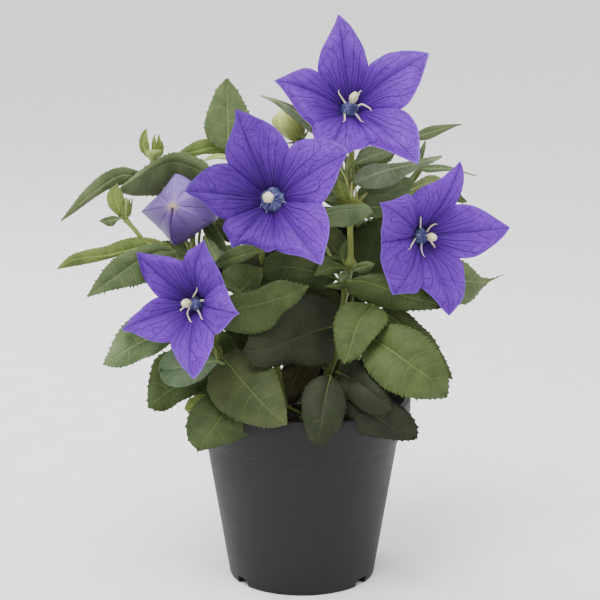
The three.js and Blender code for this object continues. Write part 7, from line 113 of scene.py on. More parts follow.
 'K03': {'M': [[-23.2, 22.7, 123.6], [-18.5, 25.8, 124.6], [-13.8, 29.0, 124.9], [-9.2, 32.2, 124.5], [-4.5, 35.3, 123.4], [-0.1, 38.3, 121.6], [4.2, 41.2, 119.2], [8.1, 43.9, 116.2]], 'A': [[-23.6, 23.5, 123.4], [-22.4, 32.0, 122.6], [-19.9, 38.0, 121.9], [-16.3, 42.0, 121.2], [-11.6, 44.2, 120.4], [-5.8, 45.1, 119.4], [0.8, 45.0, 118.0], [8.0, 44.1, 116.1]], 'B': [[-22.6, 22.0, 123.5], [-14.4, 19.9, 123.4], [-7.8, 20.0, 123.1], [-2.6, 22.0, 122.5], [1.4, 25.6, 121.6], [4.4, 30.7, 120.3], [6.7, 36.8, 118.5], [8.3, 43.7, 116.2]], 'at': [-28.2, 19.3, 121.7], 'stem': 's9', 'col': 'mid2', 'bulge': 0.1, 'serr': 1.0},
 'K04': {'M': [[26.1, 22.1, 123.7], [26.1, 27.1, 125.3], [26.2, 32.3, 126.0], [26.3, 37.6, 125.8], [26.3, 42.8, 124.6], [26.4, 47.6, 122.6], [26.5, 52.1, 119.8], [26.5, 56.0, 116.2]], 'A': [[25.2, 22.2, 123.3], [19.5, 27.8, 122.6], [16.2, 32.6, 121.9], [15.1, 37.2, 121.2], [15.9, 41.6, 120.5], [18.2, 46.2, 119.7], [21.8, 51.0, 118.3], [26.3, 56.0, 116.2]], 'B': [[26.9, 22.1, 123.7], [32.8, 27.1, 125.0], [36.2, 32.2, 125.6], [37.4, 37.4, 125.4], [36.8, 42.5, 124.3], [34.5, 47.4, 122.4], [31.1, 52.0, 119.7], [26.8, 56.0, 116.2]], 'at': [26.0, 16.5, 120.8], 'stem': 's8', 'col': 'mid2', 'bulge': 0.1, 'serr': 1.0},
 'K05': {'M': [[19.5, 20.9, 114.8], [16.4, 25.6, 116.3], [13.1, 30.4, 116.9], [9.8, 35.3, 116.4], [6.6, 40.0, 115.0], [3.5, 44.5, 112.7], [0.8, 48.6, 109.5], [-1.7, 52.2, 105.6]], 'A': [[18.8, 20.4, 114.6], [10.6, 22.1, 114.4], [4.8, 24.8, 114.0], [0.8, 28.6, 113.2], [-1.6, 33.4, 112.2], [-2.6, 39.0, 110.6], [-2.6, 45.3, 108.5], [-1.9, 52.0, 105.5]], 'B': [[20.3, 21.4, 114.7], [21.8, 29.5, 115.3], [21.4, 36.1, 115.3], [19.2, 41.4, 114.7], [15.5, 45.5, 113.5], [10.6, 48.6, 111.6], [4.9, 50.8, 109.0], [-1.5, 52.3, 105.6]], 'at': [22.9, 16.0, 112.2], 'stem': 's8', 'col': 'olive', 'bulge': 0.1, 'serr': 1.0},
 'K06': {'M': [[-51.0, -3.7, 128.2], [-50.1, 1.6, 130.3], [-49.1, 7.1, 131.2], [-48.2, 12.7, 130.8], [-47.3, 18.1, 129.2], [-46.4, 23.0, 126.4], [-45.7, 27.2, 122.6], [-45.2, 30.4, 117.9]], 'A': [[-51.8, -3.4, 127.9], [-55.8, 3.2, 127.8], [-57.8, 8.8, 127.2], [-58.0, 13.6, 126.4], [-56.6, 18.1, 125.4], [-53.8, 22.4, 123.8], [-50.0, 26.5, 121.4], [-45.4, 30.4, 117.9]], 'B': [[-50.1, -3.8, 128.2], [-44.3, 0.6, 130.4], [-40.5, 5.6, 131.3], [-38.5, 11.1, 130.9], [-38.2, 16.6, 129.2], [-39.4, 21.8, 126.4], [-41.7, 26.5, 122.6], [-44.9, 30.4, 117.9]], 'at': [-51.9, -8.9, 124.6], 'stem': 's6', 'col': 'mid', 'bulge': 0.1, 'serr': 1.0},
 'K07': {'M': [[21.0, 0.6, 111.2], [15.4, 3.2, 112.2], [9.7, 5.8, 111.8], [4.2, 8.3, 110.1], [-0.7, 10.6, 107.2], [-5.0, 12.5, 103.1], [-8.5, 14.1, 98.1], [-10.8, 15.2, 92.5]], 'A': [[20.6, -0.2, 111.1], [12.1, -4.0, 111.5], [5.0, -5.0, 110.9], [-0.8, -3.8, 109.1], [-5.3, -0.8, 106.4], [-8.5, 3.6, 102.6], [-10.4, 9.0, 97.9], [-10.9, 14.9, 92.5]], 'B': [[21.3, 1.4, 110.9], [18.5, 10.4, 109.3], [15.2, 16.2, 107.6], [11.3, 19.5, 105.7], [6.7, 20.7, 103.5], [1.2, 20.2, 100.7], [-4.7, 18.3, 97.1], [-10.7, 15.4, 92.4]], 'at': [26.6, -1.9, 108.8], 'stem': 's4', 'col': 'mid2', 'bulge': 0.1, 'serr': 1.0},
 'K08': {'M': [[48.2, 24.2, 173.6], [53.4, 26.2, 174.2], [58.6, 28.2, 173.4], [63.4, 30.1, 171.5], [67.7, 31.8, 168.3], [71.2, 33.1, 164.2], [73.7, 34.1, 159.3], [75.0, 34.6, 153.9]], 'A': [[48.0, 25.0, 173.2], [50.9, 32.7, 171.8], [54.0, 37.6, 170.1], [57.5, 40.3, 168.0], [61.5, 41.1, 165.6], [66.0, 40.2, 162.6], [70.5, 38.1, 158.7], [74.9, 34.8, 153.9]], 'B': [[48.6, 23.3, 173.4], [56.0, 19.7, 173.4], [62.1, 18.4, 172.3], [67.1, 19.0, 170.3], [70.9, 21.3, 167.4], [73.6, 24.9, 163.7], [75.0, 29.4, 159.1], [75.1, 34.4, 153.9]], 'at': [42.7, 22.0, 171.4], 'stem': 's8', 'col': 'mid', 'bulge': 0.1, 'serr': 1.0},
 'K10': {'M': [[30.8, 20.9, 132.6], [33.7, 24.6, 136.3], [36.9, 28.8, 139.2], [40.4, 33.4, 140.9], [44.0, 38.2, 141.6], [47.6, 43.0, 141.2], [51.2, 47.6, 139.6], [54.4, 51.9, 137.0]], 'A': [[30.3, 21.6, 132.2], [28.9, 30.7, 133.3], [29.2, 37.2, 134.2], [31.2, 41.9, 135.1], [34.8, 45.3, 136.1], [40.0, 47.9, 136.9], [46.5, 50.1, 137.3], [54.2, 52.0, 136.9]], 'B': [[31.5, 20.3, 132.6], [39.6, 20.0, 136.5], [45.7, 22.0, 139.4], [50.3, 25.8, 141.2], [53.3, 31.1, 141.9], [54.9, 37.5, 141.4], [55.3, 44.5, 139.7], [54.6, 51.8, 137.0]], 'at': [28.3, 17.5, 127.6], 'stem': 's8', 'col': 'mid', 'bulge': 0.1, 'serr': 1.0},
 'K11': {'M': [[-21.4, 20.8, 105.0], [-21.8, 24.8, 108.4], [-22.2, 29.1, 111.4], [-22.7, 33.7, 114.0], [-23.2, 38.5, 116.2], [-23.6, 43.5, 117.9], [-24.2, 48.6, 119.2], [-24.7, 53.8, 120.0]], 'A': [[-22.3, 20.9, 104.7], [-27.4, 25.4, 106.9], [-30.6, 29.8, 109.0], [-32.0, 34.2, 111.2], [-31.9, 38.8, 113.5], [-30.4, 43.5, 115.7], [-28.0, 48.5, 117.9], [-24.9, 53.8, 119.9]], 'B': [[-20.5, 20.9, 104.9], [-16.3, 25.7, 107.9], [-14.0, 30.4, 110.7], [-13.5, 35.1, 113.2], [-14.6, 39.7, 115.4], [-16.9, 44.4, 117.3], [-20.4, 49.1, 118.8], [-24.4, 53.9, 119.9]], 'at': [-21.0, 16.4, 100.5], 'stem': 's9', 'col': 'dark2', 'bulge': 0.1, 'serr': 1.0},
 'K12': {'M': [[-35.4, 26.6, 186.7], [-36.3, 31.8, 189.6], [-37.3, 37.4, 191.4], [-38.4, 43.2, 192.2], [-39.4, 49.0, 191.9], [-40.4, 54.8, 190.5], [-41.4, 60.1, 188.0], [-42.2, 64.9, 184.6]], 'A': [[-36.3, 26.7, 186.4], [-42.7, 31.8, 186.9], [-46.7, 36.7, 187.2], [-48.6, 41.5, 187.4], [-48.9, 46.7, 187.4], [-47.7, 52.3, 187.2], [-45.5, 58.4, 186.3], [-42.5, 64.8, 184.5]], 'B': [[-34.5, 26.8, 186.7], [-30.2, 32.9, 189.7], [-28.1, 39.0, 191.6], [-28.1, 45.0, 192.3], [-29.8, 50.8, 192.0], [-32.9, 56.1, 190.6], [-37.1, 60.9, 188.1], [-42.0, 65.0, 184.6]], 'at': [-34.5, 21.7, 182.6], 'stem': 's9', 'col': 'olive', 'bulge': 0.1, 'serr': 1.0},
 'K13': {'M': [[-21.7, -6.5, 151.2], [-24.7, -3.0, 154.5], [-28.0, 1.0, 157.0], [-31.6, 5.2, 158.6], [-35.2, 9.6, 159.2], [-38.9, 13.9, 158.9], [-42.5, 18.2, 157.6], [-45.9, 22.2, 155.5]], 'A': [[-22.4, -7.0, 151.1], [-30.6, -7.2, 153.6], [-36.6, -5.5, 155.4], [-41.0, -2.3, 156.8], [-43.9, 2.3, 157.5], [-45.5, 8.1, 157.6], [-46.2, 14.8, 156.9], [-46.1, 22.1, 155.4]], 'B': [[-21.1, -5.8, 151.0], [-19.8, 2.5, 152.8], [-20.4, 8.8, 154.1], [-22.8, 13.5, 155.2], [-26.6, 16.9, 156.0], [-31.9, 19.3, 156.4], [-38.4, 21.1, 156.3], [-45.7, 22.4, 155.4]], 'at': [-18.7, -10.0, 146.7], 'stem': 's2', 'col': 'mid2', 'bulge': 0.1, 'serr': 1.0},
 'K14': {'M': [[52.3, 28.2, 181.3], [56.0, 34.6, 179.8], [59.4, 40.6, 176.9], [62.5, 45.9, 172.6], [65.1, 50.4, 167.2], [67.1, 53.9, 160.8], [68.4, 56.2, 153.8], [69.0, 57.2, 146.4]], 'A': [[51.5, 28.6, 180.9], [47.7, 38.1, 176.2], [46.5, 44.9, 171.9], [47.5, 49.8, 167.8], [50.7, 53.4, 163.6], [55.6, 55.8, 158.8], [61.8, 57.1, 153.1], [68.7, 57.2, 146.4]], 'B': [[53.0, 27.8, 181.2], [63.7, 30.1, 179.6], [70.9, 33.8, 176.6], [75.3, 38.2, 172.3], [77.1, 43.2, 167.0], [76.4, 48.2, 160.7], [73.7, 52.9, 153.8], [69.2, 57.0, 146.4]], 'at': [48.7, 22.0, 181.2], 'stem': 's8', 'col': 'mid2', 'bulge': 0.1, 'serr': 1.0},
 'K15': {'M': [[-32.4, 24.9, 127.5], [-36.5, 30.6, 129.1], [-40.7, 36.5, 128.9], [-44.7, 42.1, 127.2], [-48.4, 47.4, 123.8], [-51.6, 51.8, 119.1], [-54.0, 55.2, 113.2], [-55.5, 57.4, 106.5]], 'A': [[-33.2, 24.4, 127.5], [-43.6, 25.6, 128.8], [-51.2, 28.9, 128.5], [-56.4, 33.6, 126.7], [-59.3, 39.3, 123.4], [-60.0, 45.4, 118.8], [-58.8, 51.5, 113.1], [-55.8, 57.2, 106.5]], 'B': [[-31.8, 25.4, 127.2], [-29.7, 35.9, 125.5], [-29.7, 43.4, 123.7], [-31.7, 48.8, 121.6], [-35.6, 52.6, 119.2], [-41.1, 55.2, 116.2], [-47.8, 56.9, 112.0], [-55.3, 57.4, 106.5]], 'at': [-28.8, 19.7, 124.4], 'stem': 's9', 'col': 'olive', 'bulge': 0.1, 'serr': 1.0},
 'K16': {'M': [[35.0, 23.8, 167.0], [30.0, 25.6, 166.3], [25.1, 27.3, 164.7], [20.7, 28.9, 162.1], [16.7, 30.4, 158.7], [13.4, 31.6, 154.6], [10.9, 32.5, 149.9], [9.3, 33.0, 144.8]], 'A': [[34.7, 22.9, 166.9], [27.9, 19.4, 166.0], [22.1, 18.1, 164.2], [17.3, 18.6, 161.6], [13.7, 20.7, 158.3], [11.1, 23.9, 154.4], [9.7, 28.1, 149.8], [9.2, 32.8, 144.8]], 'B': [[35.4, 24.6, 166.6], [32.7, 31.6, 163.9], [29.8, 36.0, 161.2], [26.6, 38.4, 158.6], [22.8, 39.0, 155.9], [18.5, 38.2, 152.9], [14.0, 36.1, 149.2], [9.5, 33.2, 144.8]], 'at': [40.9, 21.7, 166.6], 'stem': 's8', 'col': 'mid', 'bulge': 0.1, 'serr': 1.0},
 'K17': {'M': [[17.9, -3.5, 154.9], [13.5, 0.9, 155.6], [9.0, 5.3, 155.0], [4.8, 9.5, 153.1], [0.9, 13.3, 149.9], [-2.3, 16.6, 145.6], [-4.8, 19.1, 140.4], [-6.5, 20.8, 134.6]], 'A': [[17.2, -4.1, 154.7], [8.8, -3.8, 154.0], [2.4, -2.1, 152.6], [-2.2, 0.9, 150.6], [-5.3, 4.9, 147.8], [-6.9, 9.8, 144.3], [-7.4, 15.1, 139.9], [-6.7, 20.6, 134.6]], 'B': [[18.5, -2.9, 154.7], [18.1, 5.6, 154.4], [16.3, 12.1, 153.2], [13.2, 16.8, 151.1], [9.1, 19.8, 148.3], [4.2, 21.5, 144.6], [-1.1, 21.8, 140.0], [-6.3, 20.9, 134.6]], 'at': [22.3, -7.9, 152.7], 'stem': 's1', 'col': 'mid', 'bulge': 0.1, 'serr': 1.0},
 'K18': {'M': [[43.5, 26.6, 180.6], [41.3, 31.6, 184.4], [38.9, 36.9, 187.5], [36.4, 42.5, 189.9], [33.8, 48.3, 191.7], [31.1, 54.2, 192.6], [28.4, 60.3, 192.9], [25.7, 66.3, 192.4]], 'A': [[42.7, 26.3, 180.5], [34.0, 28.8, 183.6], [28.0, 32.6, 186.3], [24.3, 37.5, 188.5], [22.5, 43.5, 190.3], [22.4, 50.4, 191.6], [23.4, 58.0, 192.3], [25.4, 66.2, 192.3]], 'B': [[44.3, 27.2, 180.4], [47.9, 36.0, 182.2], [48.9, 43.2, 184.0], [47.7, 49.1, 185.8], [44.5, 54.1, 187.7], [39.6, 58.4, 189.5], [33.3, 62.5, 191.1], [25.9, 66.4, 192.3]], 'at': [45.6, 22.0, 176.2], 'stem': 's8', 'col': 'dark2', 'bulge': 0.1, 'serr': 1.0},
 'K19': {'M': [[21.1, 0.2, 174.4], [19.8, 5.4, 175.7], [18.5, 10.8, 176.5], [17.2, 16.2, 176.7], [15.9, 21.6, 176.4], [14.6, 27.0, 175.6], [13.4, 32.3, 174.2], [12.1, 37.4, 172.4]], 'A': [[20.2, -0.1, 174.4], [13.5, 3.9, 175.7], [9.1, 8.6, 176.4], [6.7, 13.7, 176.7], [6.1, 19.3, 176.4], [7.0, 25.2, 175.6], [9.0, 31.2, 174.2], [11.9, 37.3, 172.4]], 'B': [[21.9, 0.5, 174.0], [26.0, 7.5, 172.9], [27.8, 13.4, 172.2], [27.7, 18.7, 171.9], [25.9, 23.6, 171.9], [22.5, 28.2, 172.1], [17.9, 32.8, 172.3], [12.4, 37.4, 172.3]], 'at': [22.5, -5.7, 172.4], 'stem': 's1', 'col': 'dark2', 'bulge': 0.1, 'serr': 1.0},
 'X1': {'M': [[24.3, 8.0, 123.3], [21.4, 6.9, 126.4], [18.5, 6.0, 129.4], [15.4, 5.3, 132.0], [12.0, 4.7, 134.2], [8.5, 4.3, 136.0], [4.7, 4.1, 137.4], [1.0, 4.0, 138.7]], 'A': [[24.7, 8.0, 124.2], [23.0, 7.3, 128.5], [20.6, 6.6, 133.0], [17.2, 6.1, 136.9], [13.3, 5.6, 140.2], [9.0, 5.3, 142.5], [4.1, 4.8, 142.6], [1.1, 4.0, 139.0]], 'B': [[23.9, 8.0, 122.4], [19.9, 7.6, 121.6], [15.2, 7.1, 122.5], [10.9, 6.5, 124.3], [7.1, 5.9, 127.0], [3.5, 5.4, 130.1], [0.5, 4.9, 133.8], [0.9, 4.0, 138.5]], 'at': [24.3, 16.0, 116.0], 'stem': 's8', 'col': 'mid2', 'bulge': 0.1, 'serr': 0.8},
 'X2': {'M': [[-19.3, 4.0, 108.3], [-22.0, 4.0, 110.0], [-24.6, 4.0, 111.8], [-27.2, 4.0, 113.5], [-29.8, 4.0, 115.3], [-32.4, 4.0, 117.1], [-35.0, 4.0, 118.9], [-37.6, 4.0, 120.6]], 'A': [[-19.1, 4.0, 109.2], [-20.7, 4.3, 111.8], [-22.3, 4.6, 115.1], [-25.0, 4.7, 117.7], [-27.9, 4.7, 120.0], [-31.1, 4.7, 121.8], [-34.4, 4.5, 122.2], [-37.5, 4.0, 120.9]], 'B': [[-19.6, 4.0, 107.4], [-22.3, 4.6, 105.7], [-26.1, 4.8, 106.0], [-29.8, 4.9, 107.4], [-33.0, 4.9, 109.7], [-35.4, 4.7, 112.8], [-36.6, 4.4, 116.6], [-37.7, 4.0, 120.4]], 'at': [-23.0, 17.0, 105.3], 'stem': 's9', 'col': 'dark', 'bulge': 0.1, 'serr': 0.8},
 'X3': {'M': [[1.0, 5.0, 105.1], [-0.3, 5.1, 101.9], [-1.5, 5.1, 98.7], [-2.9, 5.1, 95.5], [-4.3, 4.9, 92.4], [-5.7, 4.7, 89.2], [-7.0, 4.4, 86.1], [-8.2, 4.0, 82.9]], 'A': [[-0.0, 5.0, 105.2], [-3.7, 5.7, 104.2], [-7.6, 6.1, 102.2], [-10.4, 6.2, 98.5], [-12.3, 6.1, 94.4], [-13.0, 5.7, 89.9], [-12.0, 5.1, 85.5], [-8.5, 4.0, 83.0]], 'B': [[2.0, 5.0, 105.1], [6.4, 6.1, 103.6], [8.7, 6.6, 100.3], [7.1, 6.5, 95.1], [4.5, 6.2, 90.4], [1.0, 5.7, 86.3], [-3.1, 5.1, 82.9], [-8.0, 4.0, 82.8]], 'at': [12.3, -2.1, 100.2], 'stem': 's1', 'col': 'brown', 'bulge': 0.1, 'serr': 0.8},
 'X4': {'M': [[-30.4, 12.0, 160.4], [-32.1, 12.0, 162.5], [-33.7, 12.0, 164.6], [-35.5, 12.0, 166.5], [-37.3, 12.0, 168.4], [-39.2, 12.0, 170.3], [-41.0, 12.0, 172.2], [-42.9, 12.0, 174.0]], 'A': [[-29.8, 12.0, 161.1], [-29.9, 12.4, 163.9], [-30.1, 12.6, 167.1], [-32.2, 12.7, 170.0], [-34.5, 12.7, 172.6], [-37.0, 12.7, 175.0], [-39.8, 12.5, 175.5], [-42.7, 12.0, 174.2]], 'B': [[-31.1, 12.0, 159.8], [-33.6, 12.4, 160.4], [-36.6, 12.6, 161.0], [-39.0, 12.7, 163.0], [-41.1, 12.7, 165.2], [-42.9, 12.6, 167.8], [-43.2, 12.3, 170.8], [-43.0, 12.0, 173.8]], 'at': [-33.1, 23.1, 152.6], 'stem': 's9', 'col': 'dark', 'bulge': 0.1, 'serr': 0.8},
 'X5': {'M': [[-22.0, 5.0, 149.2], [-19.8, 5.0, 151.4], [-17.6, 5.0, 153.6], [-15.2, 5.0, 155.5], [-12.6, 5.0, 157.2], [-9.9, 5.0, 158.7], [-7.1, 5.0, 160.0], [-4.3, 5.0, 161.3]], 'A': [[-22.7, 5.0, 150.0], [-21.8, 5.4, 153.0], [-20.6, 5.6, 156.4], [-17.8, 5.6, 158.9], [-14.7, 5.6, 161.0], [-11.4, 5.6, 162.8], [-7.9, 5.4, 162.6], [-4.4, 5.0, 161.5]], 'B': [[-21.4, 5.0, 148.5], [-18.5, 5.4, 149.3], [-15.0, 5.6, 149.9], [-11.7, 5.8, 151.3], [-8.6, 5.8, 152.9], [-5.5, 5.8, 154.7], [-4.2, 5.5, 157.6], [-4.1, 5.0, 161.1]], 'at': [-18.1, -9.6, 137.3], 'stem': 's2', 'col': 'dark', 'bulge': 0.1, 'serr': 0.8},
 'X6': {'M': [[-41.8, -24.0, 91.5], [-43.7, -24.6, 91.2], [-45.5, -25.1, 90.8], [-47.3, -25.7, 90.4], [-49.1, -26.3, 90.0], [-50.9, -26.9, 89.4], [-52.6, -27.4, 88.8], [-54.3, -28.0, 88.2]], 'A': [[-42.0, -24.0, 92.3], [-43.6, -24.3, 93.3], [-45.6, -24.6, 94.3], [-48.1, -25.2, 94.0], [-50.4, -25.7, 93.4], [-52.5, -26.4, 92.4], [-53.6, -27.1, 90.4], [-54.4, -28.0, 88.4]], 'B': [[-41.7, -24.0, 90.6], [-42.9, -24.3, 89.4], [-44.2, -24.6, 87.6], [-46.4, -25.2, 86.8], [-48.5, -25.8, 86.2], [-50.7, -26.3, 85.7], [-52.7, -27.1, 86.4], [-54.2, -28.0, 87.9]], 'at': [-33.4, -3.8, 89.2], 'stem': 's6', 'col': 'young', 'bulge': 0.1, 'serr': 0.3},
 'X7': {'M': [[-41.2, -11.0, 102.3], [-41.9, -11.6, 100.4], [-42.7, -12.1, 98.6], [-43.5, -12.7, 96.7], [-44.2, -13.3, 94.9], [-45.1, -13.9, 93.0], [-46.1, -14.4, 91.3], [-47.2, -15.0, 89.7]], 'A': [[-42.1, -11.0, 102.4], [-44.0, -11.2, 101.8], [-46.6, -11.5, 100.9], [-48.4, -11.9, 98.7], [-49.8, -12.4, 96.3], [-50.4, -13.1, 93.6], [-49.4, -14.0, 91.4], [-47.4, -15.0, 89.7]], 'B': [[-40.3, -11.0, 102.2], [-37.8, -11.0, 101.1], [-35.6, -11.1, 99.2], [-36.3, -11.7, 95.8], [-38.0, -12.3, 92.8], [-40.4, -13.1, 90.6], [-43.7, -14.0, 89.9], [-47.0, -15.0, 89.6]], 'at': [-41.2, -6.0, 100.9], 'stem': 's6', 'col': 'mid', 'bulge': 0.1, 'serr': 0.8},
 'X8': {'M': [[25.0, 14.0, 194.5], [27.5, 13.8, 196.4], [30.0, 13.8, 198.2], [32.8, 13.9, 199.7], [35.6, 14.2, 200.9], [38.6, 14.6, 202.0], [41.7, 15.2, 202.8], [44.8, 16.0, 203.5]], 'A': [[24.5, 14.0, 195.3], [25.8, 14.2, 198.4], [27.2, 14.4, 201.8], [30.4, 14.6, 204.2], [33.9, 14.9, 205.8], [37.8, 15.3, 206.6], [41.4, 15.6, 205.6], [44.7, 16.0, 203.8]], 'B': [[25.5, 14.0, 193.8], [28.4, 14.1, 194.3], [31.6, 14.3, 194.6], [34.9, 14.6, 195.5], [37.9, 14.8, 196.8], [40.8, 15.2, 198.5], [43.2, 15.6, 200.6], [44.8, 16.0, 203.3]], 'at': [23.4, 8.5, 202.9], 'stem': 's1', 'col': 'grey', 'bulge': 0.1, 'serr': 0.8},
 'X9': {'M': [[25.6, 15.0, 179.5], [28.3, 15.6, 181.4], [31.1, 16.1, 183.2], [34.0, 16.7, 184.7], [37.0, 17.3, 186.1], [40.1, 17.9, 187.1], [43.4, 18.4, 187.7], [46.6, 19.0, 188.4]], 'A': [[25.2, 15.0, 180.3], [26.3, 16.0, 183.3], [27.9, 16.8, 186.6], [31.2, 17.4, 188.5], [35.0, 17.9, 189.7], [38.9, 18.3, 190.1], [42.7, 18.7, 189.4], [46.5, 19.0, 188.6]], 'B': [[26.1, 15.0, 178.8], [29.2, 15.9, 178.8], [32.6, 16.8, 179.1], [36.1, 17.4, 180.1], [39.5, 18.0, 181.3], [42.8, 18.6, 182.7], [44.9, 18.8, 185.3], [46.7, 19.0, 188.2]], 'at': [22.5, -3.7, 181.9], 'stem': 's1', 'col': 'grey2', 'bulge': 0.1, 'serr': 0.8},
 'X10': {'M': [[21.7, 12.0, 177.9], [19.4, 12.6, 180.1], [17.3, 13.1, 182.3], [15.6, 13.7, 184.9], [14.1, 14.3, 187.7], [13.8, 14.9, 190.6], [14.1, 15.4, 193.7], [14.5, 16.0, 196.8]], 'A': [[22.5, 12.0, 178.3], [23.1, 13.1, 180.9], [23.8, 14.1, 184.1], [22.9, 14.8, 187.4], [21.7, 15.4, 190.6], [20.2, 15.9, 193.7], [17.7, 16.0, 195.7], [14.7, 16.0, 196.9]], 'B': [[20.9, 12.0, 177.4], [17.3, 13.0, 177.6], [13.3, 13.9, 178.5], [10.3, 14.6, 181.4], [9.2, 15.1, 185.3], [9.7, 15.4, 189.5], [11.9, 15.8, 193.2], [14.2, 16.0, 196.7]], 'at': [22.5, -4.3, 179.7], 'stem': 's1', 'col': 'grey2', 'bulge': 0.1, 'serr': 0.8},
 'X11': {'M': [[-33.3, 9.0, 201.8], [-35.3, 8.7, 202.1], [-37.3, 8.4, 202.4], [-39.3, 8.1, 202.4], [-41.3, 7.9, 202.2], [-43.2, 7.6, 201.8], [-45.1, 7.3, 201.0], [-47.0, 7.0, 200.2]], 'A': [[-33.3, 9.0, 202.3], [-35.1, 8.8, 203.0], [-37.2, 8.6, 203.4], [-39.4, 8.3, 203.6], [-41.5, 8.0, 203.4], [-43.6, 7.7, 202.8], [-45.4, 7.4, 201.7], [-47.0, 7.0, 200.5]], 'B': [[-33.3, 9.0, 201.3], [-35.1, 8.9, 200.8], [-37.0, 8.7, 200.8], [-39.0, 8.3, 201.1], [-41.0, 8.0, 201.2], [-43.0, 7.7, 200.8], [-45.0, 7.4, 200.4], [-46.9, 7.0, 200.0]], 'at': [-34.5, 21.1, 187.1], 'stem': 's9', 'col': 'young3', 'bulge': 0.1, 'serr': 0.1},
 'X12': {'M': [[57.4, 22.0, 196.9], [57.5, 21.2, 198.7], [57.7, 20.6, 200.5], [57.9, 20.2, 202.3], [58.3, 19.9, 204.0], [58.7, 19.8, 205.7], [59.2, 19.8, 207.4], [59.7, 20.0, 209.1]], 'A': [[57.0, 22.0, 197.0], [56.9, 21.3, 198.8], [56.6, 20.8, 200.7], [56.6, 20.4, 202.5], [57.0, 20.1, 204.4], [57.6, 19.9, 206.1], [58.5, 19.9, 207.7], [59.5, 20.0, 209.2]], 'B': [[57.8, 22.0, 196.8], [58.1, 21.3, 198.6], [58.7, 20.8, 200.3], [59.0, 20.3, 202.1], [59.4, 20.0, 203.8], [59.8, 19.9, 205.6], [59.9, 19.9, 207.3], [60.0, 20.0, 209.0]], 'at': [56.9, 20.1, 195.5], 'stem': 's8', 'col': 'grey2', 'bulge': 0.1, 'serr': 0.5},
 'Y1': {'M': [[23.7, -1.0, 190.4], [23.3, -0.9, 192.2], [22.9, -0.7, 194.1], [23.0, -0.3, 195.9], [23.3, 0.3, 197.8], [24.1, 1.0, 199.4], [25.2, 1.9, 200.9], [26.4, 3.0, 202.3]], 'A': [[24.2, -1.0, 190.4], [23.8, -0.8, 192.2], [23.9, -0.5, 194.0], [24.1, -0.1, 195.8], [24.3, 0.5, 197.5], [24.8, 1.1, 199.2], [25.6, 2.0, 200.8], [26.6, 3.0, 202.3]], 'B': [[23.2, -1.0, 190.4], [22.8, -0.8, 192.2], [22.0, -0.5, 194.1], [21.9, -0.1, 196.0], [22.4, 0.5, 197.9], [23.3, 1.1, 199.6], [24.8, 2.0, 201.0], [26.1, 3.0, 202.4]], 'at': [23.5, 1.7, 191.9], 'stem': 's1', 'col': 'young4', 'bulge': 0.2, 'serr': 0.0},
 'Y2': {'M': [[22.6, 0.0, 189.9], [21.8, -1.0, 192.1], [21.2, -1.6, 194.3], [20.9, -2.0, 196.5], [21.1, -2.0, 198.8], [21.4, -1.6, 201.0], [21.9, -1.0, 203.2], [22.5, 0.0, 205.3]], 'A': [[23.1, 0.0, 189.9], [22.3, -0.9, 192.1], [22.0, -1.5, 194.4], [21.9, -1.8, 196.6], [22.0, -1.8, 198.8], [22.1, -1.5, 201.0], [22.3, -0.9, 203.2], [22.7, -0.0, 205.3]], 'B': [[22.1, -0.0, 189.8], [21.4, -0.9, 192.0], [20.4, -1.5, 194.2], [19.9, -1.8, 196.4], [20.2, -1.8, 198.8], [20.6, -1.5, 201.0], [21.5, -0.9, 203.2], [22.2, 0.0, 205.3]], 'at': [23.5, 1.3, 191.3], 'stem': 's1', 'col': 'young4', 'bulge': 0.2, 'serr': 0.0},
 'Y3': {'M': [[22.4, 0.0, 188.9], [21.1, -1.3, 191.2], [19.9, -2.2, 193.4], [19.0, -2.8, 195.7], [18.4, -3.1, 198.0], [18.3, -3.1, 200.3], [18.9, -2.7, 202.7], [19.6, -2.0, 204.9]], 'A': [[22.8, -0.0, 189.1], [21.6, -1.2, 191.3], [20.8, -2.1, 193.6], [20.1, -2.7, 195.8], [19.3, -3.0, 198.1], [19.1, -3.0, 200.4], [19.3, -2.6, 202.7], [19.9, -2.0, 204.9]], 'B': [[21.9, 0.0, 188.8], [20.7, -1.2, 191.0], [19.1, -2.1, 193.1], [18.0, -2.7, 195.4], [17.4, -3.0, 197.9], [17.6, -3.0, 200.3], [18.5, -2.6, 202.7], [19.4, -2.0, 204.9]], 'at': [23.4, 1.0, 190.6], 'stem': 's1', 'col': 'young4', 'bulge': 0.2, 'serr': 0.0},
 'Y4': {'M': [[22.6, -1.0, 187.1], [22.0, -2.0, 188.7], [21.5, -2.8, 190.3], [20.9, -3.6, 191.8], [20.1, -4.3, 193.3], [19.4, -5.0, 194.8], [18.5, -5.5, 196.2], [17.6, -6.0, 197.5]], 'A': [[23.0, -1.0, 187.3], [22.2, -1.9, 188.8], [21.9, -2.8, 190.5], [21.4, -3.5, 192.1], [20.7, -4.3, 193.6], [19.8, -4.9, 195.0], [18.8, -5.5, 196.3], [17.9, -6.0, 197.6]], 'B': [[22.1, -1.0, 186.9], [21.8, -1.9, 188.6], [21.0, -2.8, 190.1], [20.3, -3.5, 191.6], [19.6, -4.3, 193.1], [18.9, -4.9, 194.5], [18.3, -5.5, 196.0], [17.4, -6.0, 197.4]], 'at': [23.3, 0.2, 189.2], 'stem': 's1', 'col': 'young3', 'bulge': 0.2, 'serr': 0.0},
